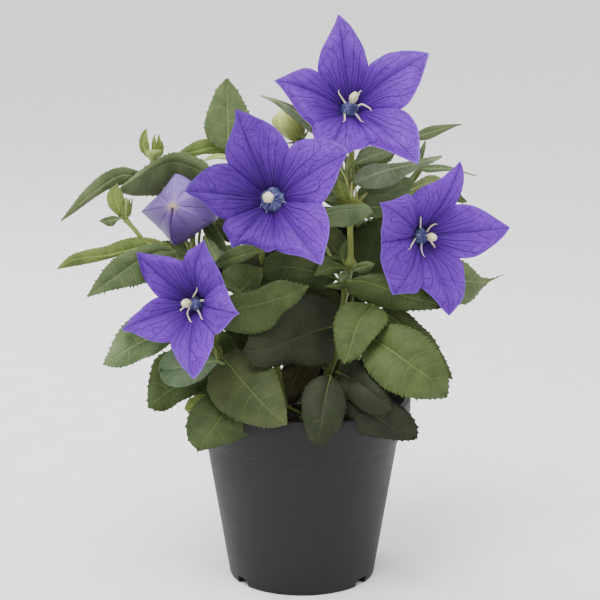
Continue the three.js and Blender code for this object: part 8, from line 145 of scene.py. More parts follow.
 'Y5': {'M': [[24.5, 0.0, 188.0], [25.3, 1.1, 189.6], [26.0, 2.0, 191.3], [26.5, 2.7, 193.1], [26.6, 3.3, 194.9], [26.5, 3.7, 196.8], [26.1, 3.9, 198.6], [25.5, 4.0, 200.4]], 'A': [[25.0, -0.0, 187.9], [25.6, 1.1, 189.5], [26.8, 2.1, 191.1], [27.4, 2.8, 192.9], [27.4, 3.4, 194.9], [27.2, 3.8, 196.8], [26.4, 4.0, 198.6], [25.8, 4.0, 200.4]], 'B': [[24.0, 0.0, 188.1], [24.9, 1.1, 189.7], [25.3, 2.1, 191.4], [25.6, 2.8, 193.2], [25.8, 3.4, 195.0], [25.9, 3.8, 196.8], [25.7, 4.0, 198.6], [25.2, 4.0, 200.4]], 'at': [23.3, 0.6, 189.9], 'stem': 's1', 'col': 'young4', 'bulge': 0.2, 'serr': 0.0},
 'Y6': {'M': [[23.7, 4.0, 193.3], [22.8, 4.6, 195.3], [22.0, 5.1, 197.4], [21.2, 5.7, 199.4], [20.7, 6.3, 201.6], [19.9, 6.9, 203.6], [18.8, 7.4, 205.4], [17.6, 8.0, 207.2]], 'A': [[24.1, 4.0, 193.5], [23.2, 4.6, 195.5], [22.8, 5.3, 197.7], [22.2, 5.9, 199.9], [21.6, 6.4, 202.0], [20.6, 7.0, 204.0], [19.1, 7.5, 205.6], [17.8, 8.0, 207.4]], 'B': [[23.2, 4.0, 193.1], [22.4, 4.6, 195.2], [21.2, 5.3, 197.0], [20.3, 5.9, 198.9], [19.8, 6.4, 201.1], [19.3, 7.0, 203.2], [18.4, 7.5, 205.2], [17.3, 8.0, 207.1]], 'at': [23.5, 4.5, 196.5], 'stem': 's1', 'col': 'grey2', 'bulge': 0.2, 'serr': 0.0},
 'Y7': {'M': [[22.1, -3.0, 179.3], [21.0, -4.2, 180.2], [20.0, -5.4, 181.1], [19.1, -6.5, 182.1], [18.3, -7.5, 183.1], [17.5, -8.4, 184.2], [16.9, -9.2, 185.3], [16.2, -10.0, 186.5]], 'A': [[22.4, -3.0, 179.7], [21.3, -4.2, 180.4], [20.5, -5.3, 181.5], [19.6, -6.4, 182.5], [18.8, -7.4, 183.5], [17.9, -8.3, 184.5], [17.1, -9.2, 185.5], [16.4, -10.0, 186.6]], 'B': [[21.7, -3.0, 178.9], [20.8, -4.2, 180.0], [19.6, -5.3, 180.7], [18.6, -6.4, 181.6], [17.8, -7.4, 182.7], [17.1, -8.3, 183.9], [16.6, -9.2, 185.2], [16.0, -10.0, 186.3]], 'at': [22.5, -4.1, 180.8], 'stem': 's1', 'col': 'young3', 'bulge': 0.2, 'serr': 0.0},
 'Y8': {'M': [[23.5, -3.0, 179.3], [24.4, -4.0, 180.3], [25.4, -4.8, 181.3], [26.4, -5.6, 182.3], [27.4, -6.3, 183.3], [28.3, -7.0, 184.3], [29.3, -7.5, 185.3], [30.2, -8.0, 186.3]], 'A': [[23.8, -3.0, 178.9], [24.7, -3.9, 180.0], [25.9, -4.7, 180.8], [27.1, -5.5, 181.6], [28.0, -6.2, 182.6], [28.9, -6.9, 183.8], [29.6, -7.5, 185.0], [30.4, -8.0, 186.1]], 'B': [[23.1, -3.0, 179.7], [24.2, -3.9, 180.6], [24.9, -4.7, 181.9], [25.7, -5.5, 183.0], [26.7, -6.2, 184.0], [27.8, -6.9, 184.9], [29.0, -7.5, 185.6], [30.0, -8.0, 186.5]], 'at': [22.5, -4.1, 180.8], 'stem': 's1', 'col': 'young3', 'bulge': 0.2, 'serr': 0.0},
 'Y9': {'M': [[23.7, -4.0, 179.9], [24.2, -4.9, 181.2], [24.8, -5.5, 182.4], [25.2, -5.9, 183.7], [25.3, -6.0, 185.0], [25.3, -5.9, 186.3], [25.0, -5.6, 187.6], [24.7, -5.0, 188.8]], 'A': [[24.1, -4.0, 179.8], [24.6, -4.8, 181.1], [25.4, -5.4, 182.2], [26.1, -5.8, 183.5], [26.1, -5.9, 184.9], [25.9, -5.8, 186.3], [25.4, -5.5, 187.6], [25.0, -5.0, 188.8]], 'B': [[23.2, -4.0, 180.0], [23.9, -4.8, 181.2], [24.1, -5.4, 182.5], [24.4, -5.8, 183.8], [24.5, -5.9, 185.1], [24.7, -5.8, 186.3], [24.7, -5.5, 187.6], [24.5, -5.0, 188.8]], 'at': [22.5, -4.0, 181.2], 'stem': 's1', 'col': 'young3', 'bulge': 0.2, 'serr': 0.0},
 'Y10': {'M': [[22.4, -5.0, 180.0], [22.8, -5.9, 181.6], [23.1, -6.5, 183.3], [23.1, -6.9, 184.9], [22.9, -7.0, 186.5], [22.9, -6.9, 188.1], [23.1, -6.6, 189.7], [23.3, -6.0, 191.2]], 'A': [[22.9, -5.0, 179.9], [23.2, -5.8, 181.5], [23.8, -6.4, 183.1], [24.0, -6.8, 184.7], [23.7, -6.9, 186.3], [23.5, -6.8, 188.0], [23.4, -6.5, 189.6], [23.5, -6.0, 191.2]], 'B': [[22.0, -5.0, 180.1], [22.4, -5.8, 181.7], [22.4, -6.4, 183.3], [22.3, -6.8, 185.0], [22.1, -6.9, 186.6], [22.3, -6.8, 188.2], [22.8, -6.5, 189.8], [23.0, -6.0, 191.3]], 'at': [22.5, -4.2, 180.5], 'stem': 's1', 'col': 'young3', 'bulge': 0.2, 'serr': 0.0},
 'X13': {'M': [[34.7, 17.0, 157.9], [31.6, 16.3, 159.7], [28.5, 15.7, 161.5], [25.5, 15.2, 163.3], [22.4, 14.8, 165.1], [19.3, 14.4, 166.4], [15.9, 14.2, 167.5], [12.6, 14.0, 168.5]], 'A': [[35.0, 17.0, 158.7], [32.2, 16.6, 161.3], [29.8, 16.2, 164.7], [26.8, 15.8, 167.4], [23.2, 15.4, 169.5], [19.3, 15.1, 170.9], [15.6, 14.7, 171.0], [12.7, 14.0, 168.7]], 'B': [[34.4, 17.0, 157.0], [30.9, 16.6, 157.5], [27.1, 16.3, 157.3], [23.6, 15.9, 158.6], [20.3, 15.5, 160.5], [17.0, 15.1, 162.6], [14.2, 14.6, 165.0], [12.6, 14.0, 168.2]], 'at': [38.3, 21.0, 158.3], 'stem': 's8', 'col': 'dark2', 'bulge': 0.1, 'serr': 0.8},
 'X14': {'M': [[30.0, 15.0, 125.5], [28.0, 14.7, 127.7], [26.1, 14.4, 129.9], [23.9, 14.1, 131.8], [21.6, 13.9, 133.7], [19.3, 13.6, 135.4], [17.0, 13.3, 137.1], [14.7, 13.0, 138.7]], 'A': [[30.8, 15.0, 126.2], [30.8, 15.2, 129.2], [29.8, 15.1, 132.4], [27.2, 14.8, 135.1], [24.3, 14.5, 137.5], [21.2, 14.2, 139.6], [18.0, 13.8, 140.4], [14.8, 13.0, 139.0]], 'B': [[29.2, 15.0, 124.9], [26.6, 15.0, 125.8], [23.3, 15.0, 126.3], [20.5, 14.9, 127.9], [17.8, 14.6, 129.9], [15.3, 14.3, 132.2], [14.4, 13.7, 135.2], [14.5, 13.0, 138.5]], 'at': [27.0, 17.0, 123.9], 'stem': 's8', 'col': 'dark2', 'bulge': 0.1, 'serr': 0.8},
 'X15': {'M': [[16.3, 13.0, 93.8], [14.8, 13.0, 95.2], [13.2, 13.0, 96.5], [11.7, 13.0, 98.0], [10.3, 13.0, 99.5], [8.8, 13.0, 100.9], [7.4, 13.0, 102.4], [5.9, 13.0, 103.9]], 'A': [[16.9, 13.0, 94.5], [16.1, 13.2, 96.3], [15.7, 13.5, 98.7], [14.4, 13.5, 100.7], [12.6, 13.5, 102.4], [10.5, 13.5, 103.9], [8.3, 13.3, 104.5], [6.1, 13.0, 104.1]], 'B': [[15.7, 13.0, 93.2], [13.8, 13.2, 93.8], [11.2, 13.4, 93.9], [9.0, 13.6, 94.9], [7.1, 13.6, 96.7], [5.8, 13.5, 98.9], [5.2, 13.3, 101.4], [5.8, 13.0, 103.7]], 'at': [14.1, 16.0, 89.8], 'stem': 's8', 'col': 'dark2', 'bulge': 0.1, 'serr': 0.8},
 'X16': {'M': [[23.8, 15.0, 94.9], [25.4, 14.9, 96.8], [27.0, 14.9, 98.7], [28.8, 14.9, 100.4], [30.6, 15.1, 102.0], [32.5, 15.3, 103.5], [34.6, 15.6, 104.9], [36.6, 16.0, 106.3]], 'A': [[23.2, 15.0, 95.6], [24.5, 15.1, 97.7], [25.4, 15.2, 100.3], [27.1, 15.3, 102.5], [29.1, 15.5, 104.5], [31.4, 15.7, 106.1], [33.9, 15.9, 107.0], [36.5, 16.0, 106.5]], 'B': [[24.3, 15.0, 94.2], [26.5, 15.2, 95.1], [29.2, 15.4, 95.5], [31.3, 15.5, 96.9], [33.2, 15.6, 98.9], [34.8, 15.7, 101.2], [36.1, 15.9, 103.6], [36.7, 16.0, 106.1]], 'at': [18.2, 16.0, 100.3], 'stem': 's8', 'col': 'dark2', 'bulge': 0.1, 'serr': 0.8},
}
FLOWERS = {
 'F1': {'P0': [22.45, 0.32, 221.86], 'n': [-0.0502, -0.8634, 0.502], 'Q': [[16.61, 2.14, 268.34], [18.91, 1.6, 266.5], [22.11, 0.33, 263.51], [24.38, -1.01, 260.3], [26.64, -2.61, 256.63], [28.43, -4.18, 252.98], [29.31, -5.42, 249.79], [30.61, -7.74, 244.8], [31.53, -7.32, 246.6], [32.88, -7.46, 247.5], [35.62, -7.28, 249.08], [38.81, -7.12, 250.65], [43.35, -7.45, 251.54], [48.3, -8.2, 251.74], [53.67, -9.36, 251.27], [57.88, -10.72, 250.34], [57.16, -11.46, 247.87], [55.7, -13.32, 243.38], [53.75, -15.67, 238.01], [51.38, -17.72, 233.12], [48.59, -19.47, 228.68], [46.33, -19.97, 226.47], [44.1, -19.78, 225.44], [45.83, -20.89, 224.7], [47.96, -22.6, 222.96], [50.04, -24.81, 220.35], [51.64, -27.49, 216.9], [52.1, -30.35, 213.03], [52.09, -33.65, 208.34], [51.91, -36.18, 204.96], [50.87, -38.41, 202.02], [47.48, -36.74, 203.24], [43.22, -34.64, 205.09], [38.93, -32.41, 207.18], [35.93, -30.74, 208.42], [32.89, -29.32, 209.23], [30.3, -27.8, 210.27], [27.1, -29.52, 208.58], [23.5, -30.71, 207.75], [19.89, -32.4, 206.07], [15.86, -34.31, 203.98], [10.96, -36.17, 201.89], [8.8, -33.42, 204.81], [7.06, -30.43, 208.18], [5.75, -27.7, 211.15], [4.88, -24.99, 214.15], [4.46, -21.77, 218.04], [2.66, -21.3, 219.81], [0.41, -20.8, 221.58], [-1.84, -19.79, 224.24], [-4.1, -18.52, 227.33], [-6.82, -16.7, 231.33], [-9.54, -15.13, 234.89], [-12.73, -13.65, 238.24], [-8.21, -12.08, 240.27], [-4.58, -10.58, 242.07], [-0.94, -9.34, 243.43], [1.34, -8.55, 243.89], [3.63, -8.15, 243.67], [5.46, -7.99, 243.0], [7.29, -8.09, 241.87], [7.07, -7.21, 244.36], [7.77, -5.45, 248.44], [9.16, -3.73, 252.54], [11.48, -2.05, 256.65], [13.34, -0.6, 260.31], [15.21, 0.84, 263.98], [16.14, 1.81, 266.74]], 'flags': ['T', '', '', '', '', '', '', 'S', '', '', '', '', '', '', '', 'T', '', '', '', '', '', '', 'S', '', '', '', '', '', '', '', 'T', '', '', '', '', '', 'S', '', '', '', '', 'T', '', '', '', '', 'S', '', '', '', '', '', '', 'T', '', '', '', '', '', '', 'S', '', '', '', '', '', '', '']},
 'F2': {'P0': [-11.99, -27.23, 184.09], 'n': [-0.2, -0.9548, 0.22], 'Q': [[-29.68, -34.8, 225.84], [-27.26, -35.03, 224.98], [-23.3, -35.73, 223.47], [-19.78, -36.39, 221.75], [-16.26, -37.0, 220.25], [-12.75, -37.76, 218.11], [-9.68, -38.62, 215.1], [-7.5, -39.3, 212.09], [-5.97, -39.89, 208.86], [-4.43, -40.23, 210.61], [-2.25, -40.8, 211.94], [0.37, -41.57, 212.84], [3.4, -42.56, 213.09], [7.73, -43.88, 213.15], [12.03, -45.38, 212.35], [15.45, -46.8, 211.12], [18.43, -48.22, 209.48], [19.48, -49.34, 207.39], [18.43, -49.09, 204.81], [16.3, -49.0, 200.52], [14.6, -49.2, 195.37], [12.46, -49.12, 191.05], [10.75, -48.83, 187.99], [8.38, -48.32, 185.35], [9.02, -49.2, 184.13], [10.3, -50.51, 181.65], [11.36, -51.97, 178.33], [11.56, -53.35, 174.58], [11.12, -54.6, 170.83], [9.82, -55.96, 165.8], [8.95, -57.21, 161.63], [8.08, -57.97, 159.57], [5.52, -56.69, 160.47], [2.51, -55.21, 161.79], [-0.94, -53.7, 162.89], [-3.97, -52.46, 163.17], [-7.45, -51.08, 163.64], [-9.64, -49.92, 164.36], [-12.06, -48.65, 165.3], [-14.89, -48.94, 164.24], [-18.38, -48.74, 164.65], [-22.75, -48.12, 166.11], [-25.81, -47.86, 167.17], [-28.42, -48.09, 166.54], [-30.37, -48.5, 165.72], [-31.07, -47.55, 166.48], [-32.0, -46.16, 168.94], [-33.82, -44.48, 171.83], [-34.97, -43.24, 173.45], [-34.79, -42.16, 175.54], [-33.95, -41.28, 177.43], [-36.59, -41.01, 178.51], [-39.24, -40.6, 180.23], [-41.45, -40.08, 182.83], [-43.65, -39.66, 184.99], [-46.31, -39.25, 186.72], [-49.4, -38.84, 188.01], [-52.06, -38.43, 189.73], [-50.33, -37.56, 192.75], [-48.59, -36.99, 194.47], [-45.06, -36.43, 197.73], [-41.52, -36.08, 200.12], [-38.43, -35.89, 201.43], [-34.45, -36.08, 201.88], [-32.25, -36.05, 201.66], [-33.34, -36.04, 202.76], [-33.99, -35.67, 205.81], [-33.75, -35.39, 209.3], [-32.63, -35.3, 212.79], [-31.28, -35.25, 216.28], [-30.15, -35.15, 219.77], [-29.69, -34.92, 223.24]], 'flags': ['T', '', '', '', '', '', '', '', 'S', '', '', '', '', '', '', '', '', 'T', '', '', '', '', '', 'S', '', '', '', '', '', '', '', 'T', '', '', '', '', '', '', 'S', '', '', '', '', '', 'T', '', '', '', '', '', 'S', '', '', '', '', '', '', 'T', '', '', '', '', '', '', 'S', '', '', '', '', '', '', '']},
 'F3': {'P0': [-44.17, -32.79, 137.95], 'n': [-0.5011, -0.8419, 0.2004], 'Q': [[-74.19, -35.33, 162.24], [-70.92, -36.56, 161.95], [-66.71, -38.38, 161.52], [-63.0, -39.86, 161.27], [-58.37, -41.92, 160.87], [-54.7, -43.58, 159.76], [-51.74, -44.83, 158.6], [-51.67, -44.96, 162.17], [-50.44, -46.08, 164.53], [-48.52, -47.91, 165.64], [-45.7, -50.0, 167.88], [-42.91, -52.13, 169.88], [-42.51, -52.05, 167.91], [-41.2, -52.65, 165.37], [-39.43, -53.6, 162.45], [-37.22, -55.02, 158.72], [-35.46, -55.97, 155.8], [-34.38, -56.73, 151.99], [-33.64, -58.47, 150.52], [-32.69, -60.33, 149.07], [-31.29, -62.94, 145.6], [-29.46, -65.78, 142.19], [-27.44, -68.39, 140.28], [-29.88, -66.58, 138.44], [-31.68, -65.3, 136.04], [-33.49, -64.01, 133.62], [-35.3, -62.66, 131.39], [-37.14, -61.12, 129.99], [-38.54, -59.51, 129.9], [-38.26, -60.77, 128.17], [-38.42, -62.02, 125.34], [-39.26, -62.79, 122.87], [-40.99, -63.35, 119.03], [-43.17, -63.66, 115.13], [-45.36, -63.77, 112.06], [-47.1, -63.77, 110.52], [-49.46, -61.14, 112.35], [-52.3, -58.19, 114.34], [-55.17, -55.01, 117.21], [-57.13, -52.33, 120.22], [-58.64, -50.12, 122.45], [-58.5, -48.98, 124.24], [-61.47, -48.15, 123.62], [-64.69, -47.03, 123.62], [-68.4, -45.47, 124.2], [-72.62, -43.41, 125.6], [-76.87, -41.34, 127.01], [-81.13, -39.51, 127.34], [-80.76, -38.82, 128.35], [-78.93, -38.69, 130.61], [-76.63, -38.63, 133.78], [-73.84, -39.05, 136.13], [-71.06, -39.37, 138.91], [-67.8, -40.06, 141.29], [-64.56, -40.96, 142.8], [-66.88, -39.76, 144.86], [-68.73, -38.84, 146.97], [-70.59, -37.7, 149.95], [-71.97, -36.83, 152.98], [-72.87, -36.24, 156.05], [-73.77, -35.65, 159.13]], 'flags': ['T', '', '', '', '', '', 'S', '', '', '', '', 'T', '', '', '', '', '', 'S', '', '', '', '', 'T', '', '', '', '', '', 'S', '', '', '', '', '', '', 'T', '', '', '', '', '', 'S', '', '', '', '', '', 'T', '', '', '', '', '', '', 'S', '', '', '', '', '', '']},
 'F4': {'P0': [52.43, -4.78, 165.72], 'n': [0.5225, -0.8441, 0.1206], 'Q': [[72.67, -13.28, 201.42], [74.03, -12.05, 198.6], [74.9, -11.32, 194.41], [74.77, -11.14, 190.72], [73.39, -11.72, 187.07], [72.01, -12.18, 184.34], [71.12, -12.4, 181.12], [74.54, -10.92, 181.45], [77.97, -9.52, 181.09], [81.93, -7.9, 180.0], [86.44, -6.11, 177.73], [90.46, -4.65, 175.24], [95.03, -2.93, 172.23], [99.11, -1.47, 169.47], [96.1, -3.14, 166.1], [93.1, -4.7, 163.45], [89.08, -6.88, 160.88], [84.57, -9.35, 158.37], [81.11, -11.03, 156.95], [77.15, -12.87, 156.49], [73.21, -14.62, 156.59], [74.65, -14.7, 153.93], [75.59, -15.23, 150.26], [76.03, -16.26, 145.26], [75.71, -17.62, 141.26], [74.38, -19.53, 137.82], [71.81, -22.11, 134.99], [69.26, -24.62, 132.63], [67.71, -26.33, 131.54], [64.37, -26.97, 134.91], [62.02, -27.01, 138.16], [59.2, -27.41, 141.0], [55.89, -28.1, 143.88], [53.81, -28.18, 145.73], [53.48, -29.56, 144.12], [51.95, -31.6, 143.07], [47.58, -35.2, 143.43], [43.73, -38.49, 143.74], [41.08, -41.07, 143.72], [39.96, -40.71, 146.36], [38.61, -40.3, 150.35], [36.8, -40.11, 154.81], [35.45, -39.64, 159.22], [35.48, -38.46, 162.65], [35.76, -37.25, 165.18], [35.8, -36.34, 166.63], [35.51, -37.01, 168.73], [35.22, -37.46, 172.35], [35.86, -37.34, 175.9], [35.8, -37.59, 179.93], [34.82, -38.53, 183.12], [34.08, -39.54, 184.76], [36.66, -37.16, 184.76], [40.42, -33.96, 185.36], [43.75, -30.98, 186.22], [46.17, -28.57, 187.13], [48.13, -26.53, 187.4], [50.59, -24.37, 186.32], [53.38, -23.03, 189.14], [58.12, -20.56, 191.44], [62.89, -18.12, 193.3], [66.71, -16.14, 196.12], [70.05, -14.49, 198.75]], 'flags': ['T', '', '', '', '', '', 'S', '', '', '', '', '', '', 'T', '', '', '', '', '', '', 'S', '', '', '', '', '', '', '', 'T', '', '', '', '', 'S', '', '', '', '', 'T', '', '', '', '', '', '', 'S', '', '', '', '', '', 'T', '', '', '', '', '', 'S', '', '', '', '', '']},
}
PARTS = {
 'F1': {'stam': [[[19.89, -3.24, 227.56], [18.45, -4.41, 230.32], [17.02, -5.45, 233.51]], [[25.43, -4.08, 225.75], [27.62, -6.47, 226.7], [31.37, -14.1, 224.12]], [[20.88, -2.13, 224.34], [19.39, -5.05, 223.02], [18.58, -16.39, 219.23]], [[24.09, -3.13, 223.44], [26.02, -12.08, 221.37], [27.98, -19.02, 219.3]], [[25.38, -4.47, 229.86], [26.26, -5.21, 231.24], [27.58, -6.2, 233.06]]], 'stig': [24.56, -12.2, 232.42], 'R': 30.45, 'h0': 20.06, 'dome': 4.6},
 'F2': {'stam': [[[-9.35, -36.25, 188.23], [-10.21, -37.92, 187.49], [-11.53, -38.46, 186.65]], [[-8.46, -37.33, 184.34], [-9.32, -39.1, 183.17], [-10.64, -39.74, 181.91]], [[-15.12, -36.87, 180.3], [-14.64, -38.31, 181.77], [-13.29, -39.0, 182.72]], [[-13.35, -34.93, 190.33], [-12.87, -36.87, 189.61], [-12.41, -37.88, 188.36]], [[-17.8, -35.72, 182.86], [-16.42, -37.54, 183.47], [-15.07, -38.33, 183.99]]], 'stig': [-15.65, -40.86, 187.52], 'R': 30.21, 'h0': 18.14, 'dome': 5.52},
 'F3': {'stam': [[[-48.52, -36.09, 141.08], [-48.86, -37.07, 142.61], [-46.48, -43.7, 147.74]], [[-46.39, -34.92, 139.51], [-43.87, -44.02, 142.19], [-39.94, -55.76, 143.73]], [[-49.88, -36.51, 137.51], [-51.04, -39.03, 135.68], [-48.66, -46.59, 132.54]], [[-47.21, -36.36, 137.02], [-45.22, -44.76, 136.25], [-43.22, -53.91, 135.24]], [[-52.03, -37.45, 138.12], [-53.28, -38.69, 136.98], [-54.12, -39.47, 136.21]]], 'stig': [-53.02, -45.85, 140.84], 'R': 25.29, 'h0': 20.06, 'dome': 4.14},
 'F4': {'stam': [[[55.05, -8.48, 169.07], [54.6, -12.77, 172.35], [54.11, -17.39, 176.08]], [[57.94, -7.67, 168.04], [60.09, -9.14, 170.55], [62.78, -9.88, 171.8]], [[53.42, -6.37, 165.54], [50.11, -23.08, 164.77], [47.78, -29.44, 162.83]], [[55.55, -9.04, 163.51], [55.5, -14.99, 160.51], [56.6, -18.45, 157.71]], [[59.75, -9.0, 163.97], [60.59, -10.07, 162.7], [61.4, -11.54, 161.01]]], 'stig': [61.56, -17.98, 166.46], 'R': 29.79, 'h0': 20.06, 'dome': 4.14},
 'balloon': {'S': [-57.76, -31.0, 182.41], 'n': [-0.5225, -0.8441, 0.1206], 'Q': [[-57.87, -18.32, 196.04], [-52.31, -19.76, 193.42], [-47.06, -23.43, 190.53], [-42.63, -28.96, 187.61], [-40.94, -28.35, 182.61], [-40.47, -29.14, 179.09], [-42.18, -30.94, 175.67], [-47.11, -26.25, 170.63], [-52.86, -23.25, 166.63], [-58.68, -22.43, 163.77], [-64.56, -15.94, 167.14], [-70.01, -11.87, 172.02], [-74.69, -10.5, 177.93], [-70.97, -9.74, 182.73], [-66.48, -11.87, 187.31], [-62.03, -13.91, 192.31]], 'flags': ['K', '', '', 'K', '', '', 'K', '', '', 'K', '', '', 'K', '', '', ''], 'L': 26},
 'green': {'S': [-8.73, -0.24, 223.92], 'n': [-0.4192, -0.499, 0.7585], 'R': 7.2, 'L': 17},
 'shoot': {'a': [-79.55, -28.0, 176.26], 'b': [-79.1, -28.0, 186.18], 'r': 2.4},
 'hand': {'a': [-69.08, -5.0, 200.46], 'b': [-69.2, -5.0, 206.25], 'r': 4.4},
}
STEMS = {
 's1': [[4.0, 2.0, 79.4, 2.0], [16.26, -4.0, 110.0, 1.7], [19.83, -7.0, 135.7, 1.5], [22.51, -8.0, 153.94, 1.45], [22.47, -6.0, 170.68, 1.4], [22.48, -4.0, 181.28, 1.35], [23.58, 2.0, 192.53, 1.2], [23.3, 15.0, 213.33, 1.16], [22.85, 7.22, 217.85, 1.1]],
 's2': [[-8.0, -2.0, 79.4, 1.9], [-15.13, -8.0, 121.47, 1.7], [-18.76, -10.0, 140.97, 1.5], [-18.67, -10.0, 159.87, 1.4], [-15.82, -10.0, 172.98, 1.3], [-8.59, -10.99, 177.35, 1.26], [-10.39, -19.59, 182.33, 1.2]],
 's3': [[-18.0, -8.0, 79.4, 1.8], [-35.55, -18.0, 104.36, 1.6], [-39.19, -18.0, 113.91, 1.5], [-41.08, -17.0, 117.51, 1.45], [-35.66, -18.48, 131.55, 1.42], [-40.17, -26.06, 136.35, 1.35]],
 's4': [[16.0, 0.0, 79.4, 1.9], [26.86, -2.0, 109.57, 1.7], [34.57, 2.0, 129.31, 1.6], [43.15, 4.0, 145.99, 1.5], [48.59, 2.0, 157.36, 1.35], [43.55, 9.57, 160.67, 1.26], [48.25, 1.97, 164.75, 1.2]],
 's5': [[-20.0, 4.0, 79.4, 1.8], [-39.95, -6.0, 113.82, 1.6], [-45.03, -10.0, 140.97, 1.5], [-48.91, -12.0, 154.5, 1.4], [-50.49, -14.0, 163.19, 1.35], [-50.51, -13.0, 167.72, 1.3], [-49.35, -9.5, 171.06, 1.25], [-46.6, -6.6, 174.6, 1.25], [-41.9, -5.4, 178.4, 1.25]],
 's6': [[-27.0, -2.0, 79.4, 1.8], [-48.38, -8.0, 111.81, 1.6], [-56.29, -10.0, 140.97, 1.5], [-59.71, -20.0, 157.46, 1.4], [-66.84, -25.0, 163.64, 1.2], [-70.78, -26.0, 165.13, 1.1], [-75.51, -27.0, 171.17, 1.05], [-79.56, -28.0, 176.04, 1.0]],
 's9': [[-12.0, 14.0, 79.4, 1.9], [-26.64, 18.0, 113.93, 1.7], [-31.58, 22.0, 138.31, 1.6], [-34.41, 24.0, 165.4, 1.4], [-34.54, 21.0, 187.76, 1.2], [-34.61, 16.0, 203.04, 1.0]],
 's10': [[-52.44, -8.0, 159.61, 1.0], [-58.23, -4.0, 172.34, 0.95], [-64.64, -3.0, 187.28, 0.9], [-69.09, -5.0, 200.0, 0.85]],
 's11': [[21.24, -6.5, 140.4, 1.0], [16.15, -1.0, 150.1, 1.0], [7.62, 3.0, 167.78, 1.0], [-0.47, 3.0, 191.52, 1.0], [0.32, 10.54, 207.54, 1.0]],
 's7': [[0.0, -16.0, 79.4, 1.7], [7.44, -22.0, 94.77, 1.5], [12.91, -26.0, 103.33, 1.3]],
 's8': [[10.0, 16.0, 79.4, 1.9], [24.66, 16.0, 116.83, 1.7], [34.46, 20.0, 146.09, 1.6], [42.18, 22.0, 170.55, 1.4], [51.75, 22.0, 186.22, 1.2], [57.27, 20.0, 196.07, 1.0], [53.66, 14.0, 207.44, 0.9]],
}
FUSED = {'stem_front_short': ['s7', []], 'stem_left_flower': ['s3', ['M4']], 'stem_right_flower': ['s4', ['K01', 'K07']], 'stem_centre_flower': ['s2', ['B4', 'K13', 'X5']], 'stem_balloon_bud': ['s5', ['L7b', 'M0a', 'M0b']], 'stem_left_branch': ['s6', ['K00', 'K06', 'X6', 'X7']], 'stem_top_flower': ['s1', ['TR0', 'C2', 'C3', 'W1', 'W2', 'W3', 'W4', 'N4b', 'R0', 'R8', 'B2', 'K17', 'K19', 'X3', 'X8', 'X9', 'X10', 'Y1', 'Y2', 'Y3', 'Y4', 'Y5', 'Y6', 'Y7', 'Y8', 'Y9', 'Y10']], 'stem_back_right': ['s8', ['R1', 'R4', 'R5', 'R7', 'R10', 'B1', 'B6', 'K02', 'K04', 'K05', 'K08', 'K10', 'K14', 'K16', 'K18', 'X1', 'X12', 'X13', 'X14', 'X15', 'X16']], 'stem_back_left': ['s9', ['B3', 'B5', 'K03', 'K11', 'K12', 'K15', 'X2', 'X4', 'X11']]}
NAMED = {'TL1': 'leaf_top_upright', 'TL2': 'leaf_top_young', 'L2': 'leaf_left_arching', 'L3': 'leaf_left_upper', 'L6': 'leaf_left_long', 'L7': 'leaf_left_lower', 'L8': 'leaf_left_outer', 'L9': 'leaf_left_round', 'L10': 'leaf_left_hanging', 'L11': 'leaf_rim_left', 'M1': 'leaf_centre_small', 'M2': 'leaf_centre_olive', 'M5': 'leaf_centre_broad', 'M6': 'leaf_centre_rear', 'M8': 'leaf_centre_dark', 'M9': 'leaf_front_broad', 'C1': 'leaf_stem_crossing', 'N4': 'leaf_right_long', 'N5': 'leaf_front_hanging', 'N6': 'leaf_right_broad', 'N7': 'leaf_right_rear', 'P1': 'leaf_rim_front', 'P2': 'leaf_front_right', 'P3': 'leaf_rim_right', 'R2': 'leaf_right_pointed', 'R9': 'leaf_right_outer'}

CAM = np.array([-0.94, -600.0, 236.0])
PITCH = math.radians(9.6)
FOCAL_PX = 1274.0


# ------------------------------------------------------------------ small maths
def unit(v):
    v = np.asarray(v, float)
    return v / np.maximum(np.linalg.norm(v, axis=-1, keepdims=True), 1e-12)


def smooth(a, b, x):
    t = np.clip((np.asarray(x, float) - a) / (b - a), 0, 1)
    return t * t * (3 - 2 * t)


def catmull(P, u):
    """Points on a Catmull-Rom curve through the rows of P, at u from 0 to 1 over evenly numbered stations."""
    P = np.asarray(P, float)
    n = len(P)
    Q = np.vstack([2 * P[0] - P[1], P, 2 * P[-1] - P[-2]])
    x = np.clip(np.asarray(u, float) * (n - 1), 0, n - 1 - 1e-9)
    i = x.astype(int)
    t = (x - i)[:, None]
    a, b, c, d = Q[i], Q[i + 1], Q[i + 2], Q[i + 3]
    return 0.5 * ((2 * b) + (-a + c) * t + (2 * a - 5 * b + 4 * c - d) * t * t + (-a + 3 * b - 3 * c + d) * t ** 3)


def by_length(P, n):
    """n points evenly spaced along the polyline P."""
    P = np.asarray(P, float)
    s = np.r_[0, np.cumsum(np.linalg.norm(np.diff(P[:, :3], axis=0), axis=1))]
    x = np.linspace(0, s[-1], n)
    return np.stack([np.interp(x, s, P[:, k]) for k in range(P.shape[1])], 1)


def curve(P, n):
    P = np.asarray(P, float)
    if len(P) == 2:
        return by_length(P, n)
    return by_length(catmull(P, np.linspace(0, 1, 12 * len(P))), n)


def wobble(rng, n, amount, terms=3):
    """A smooth random function of 0..1, sampled at n points."""
    x = np.linspace(0, 1, n)
    y = np.zeros(n)
    for k in range(1, terms + 1):
        y += rng.normal() * np.sin(2 * np.pi * k * x * 0.7 + rng.uniform(0, 6.28)) / k
    return amount * y


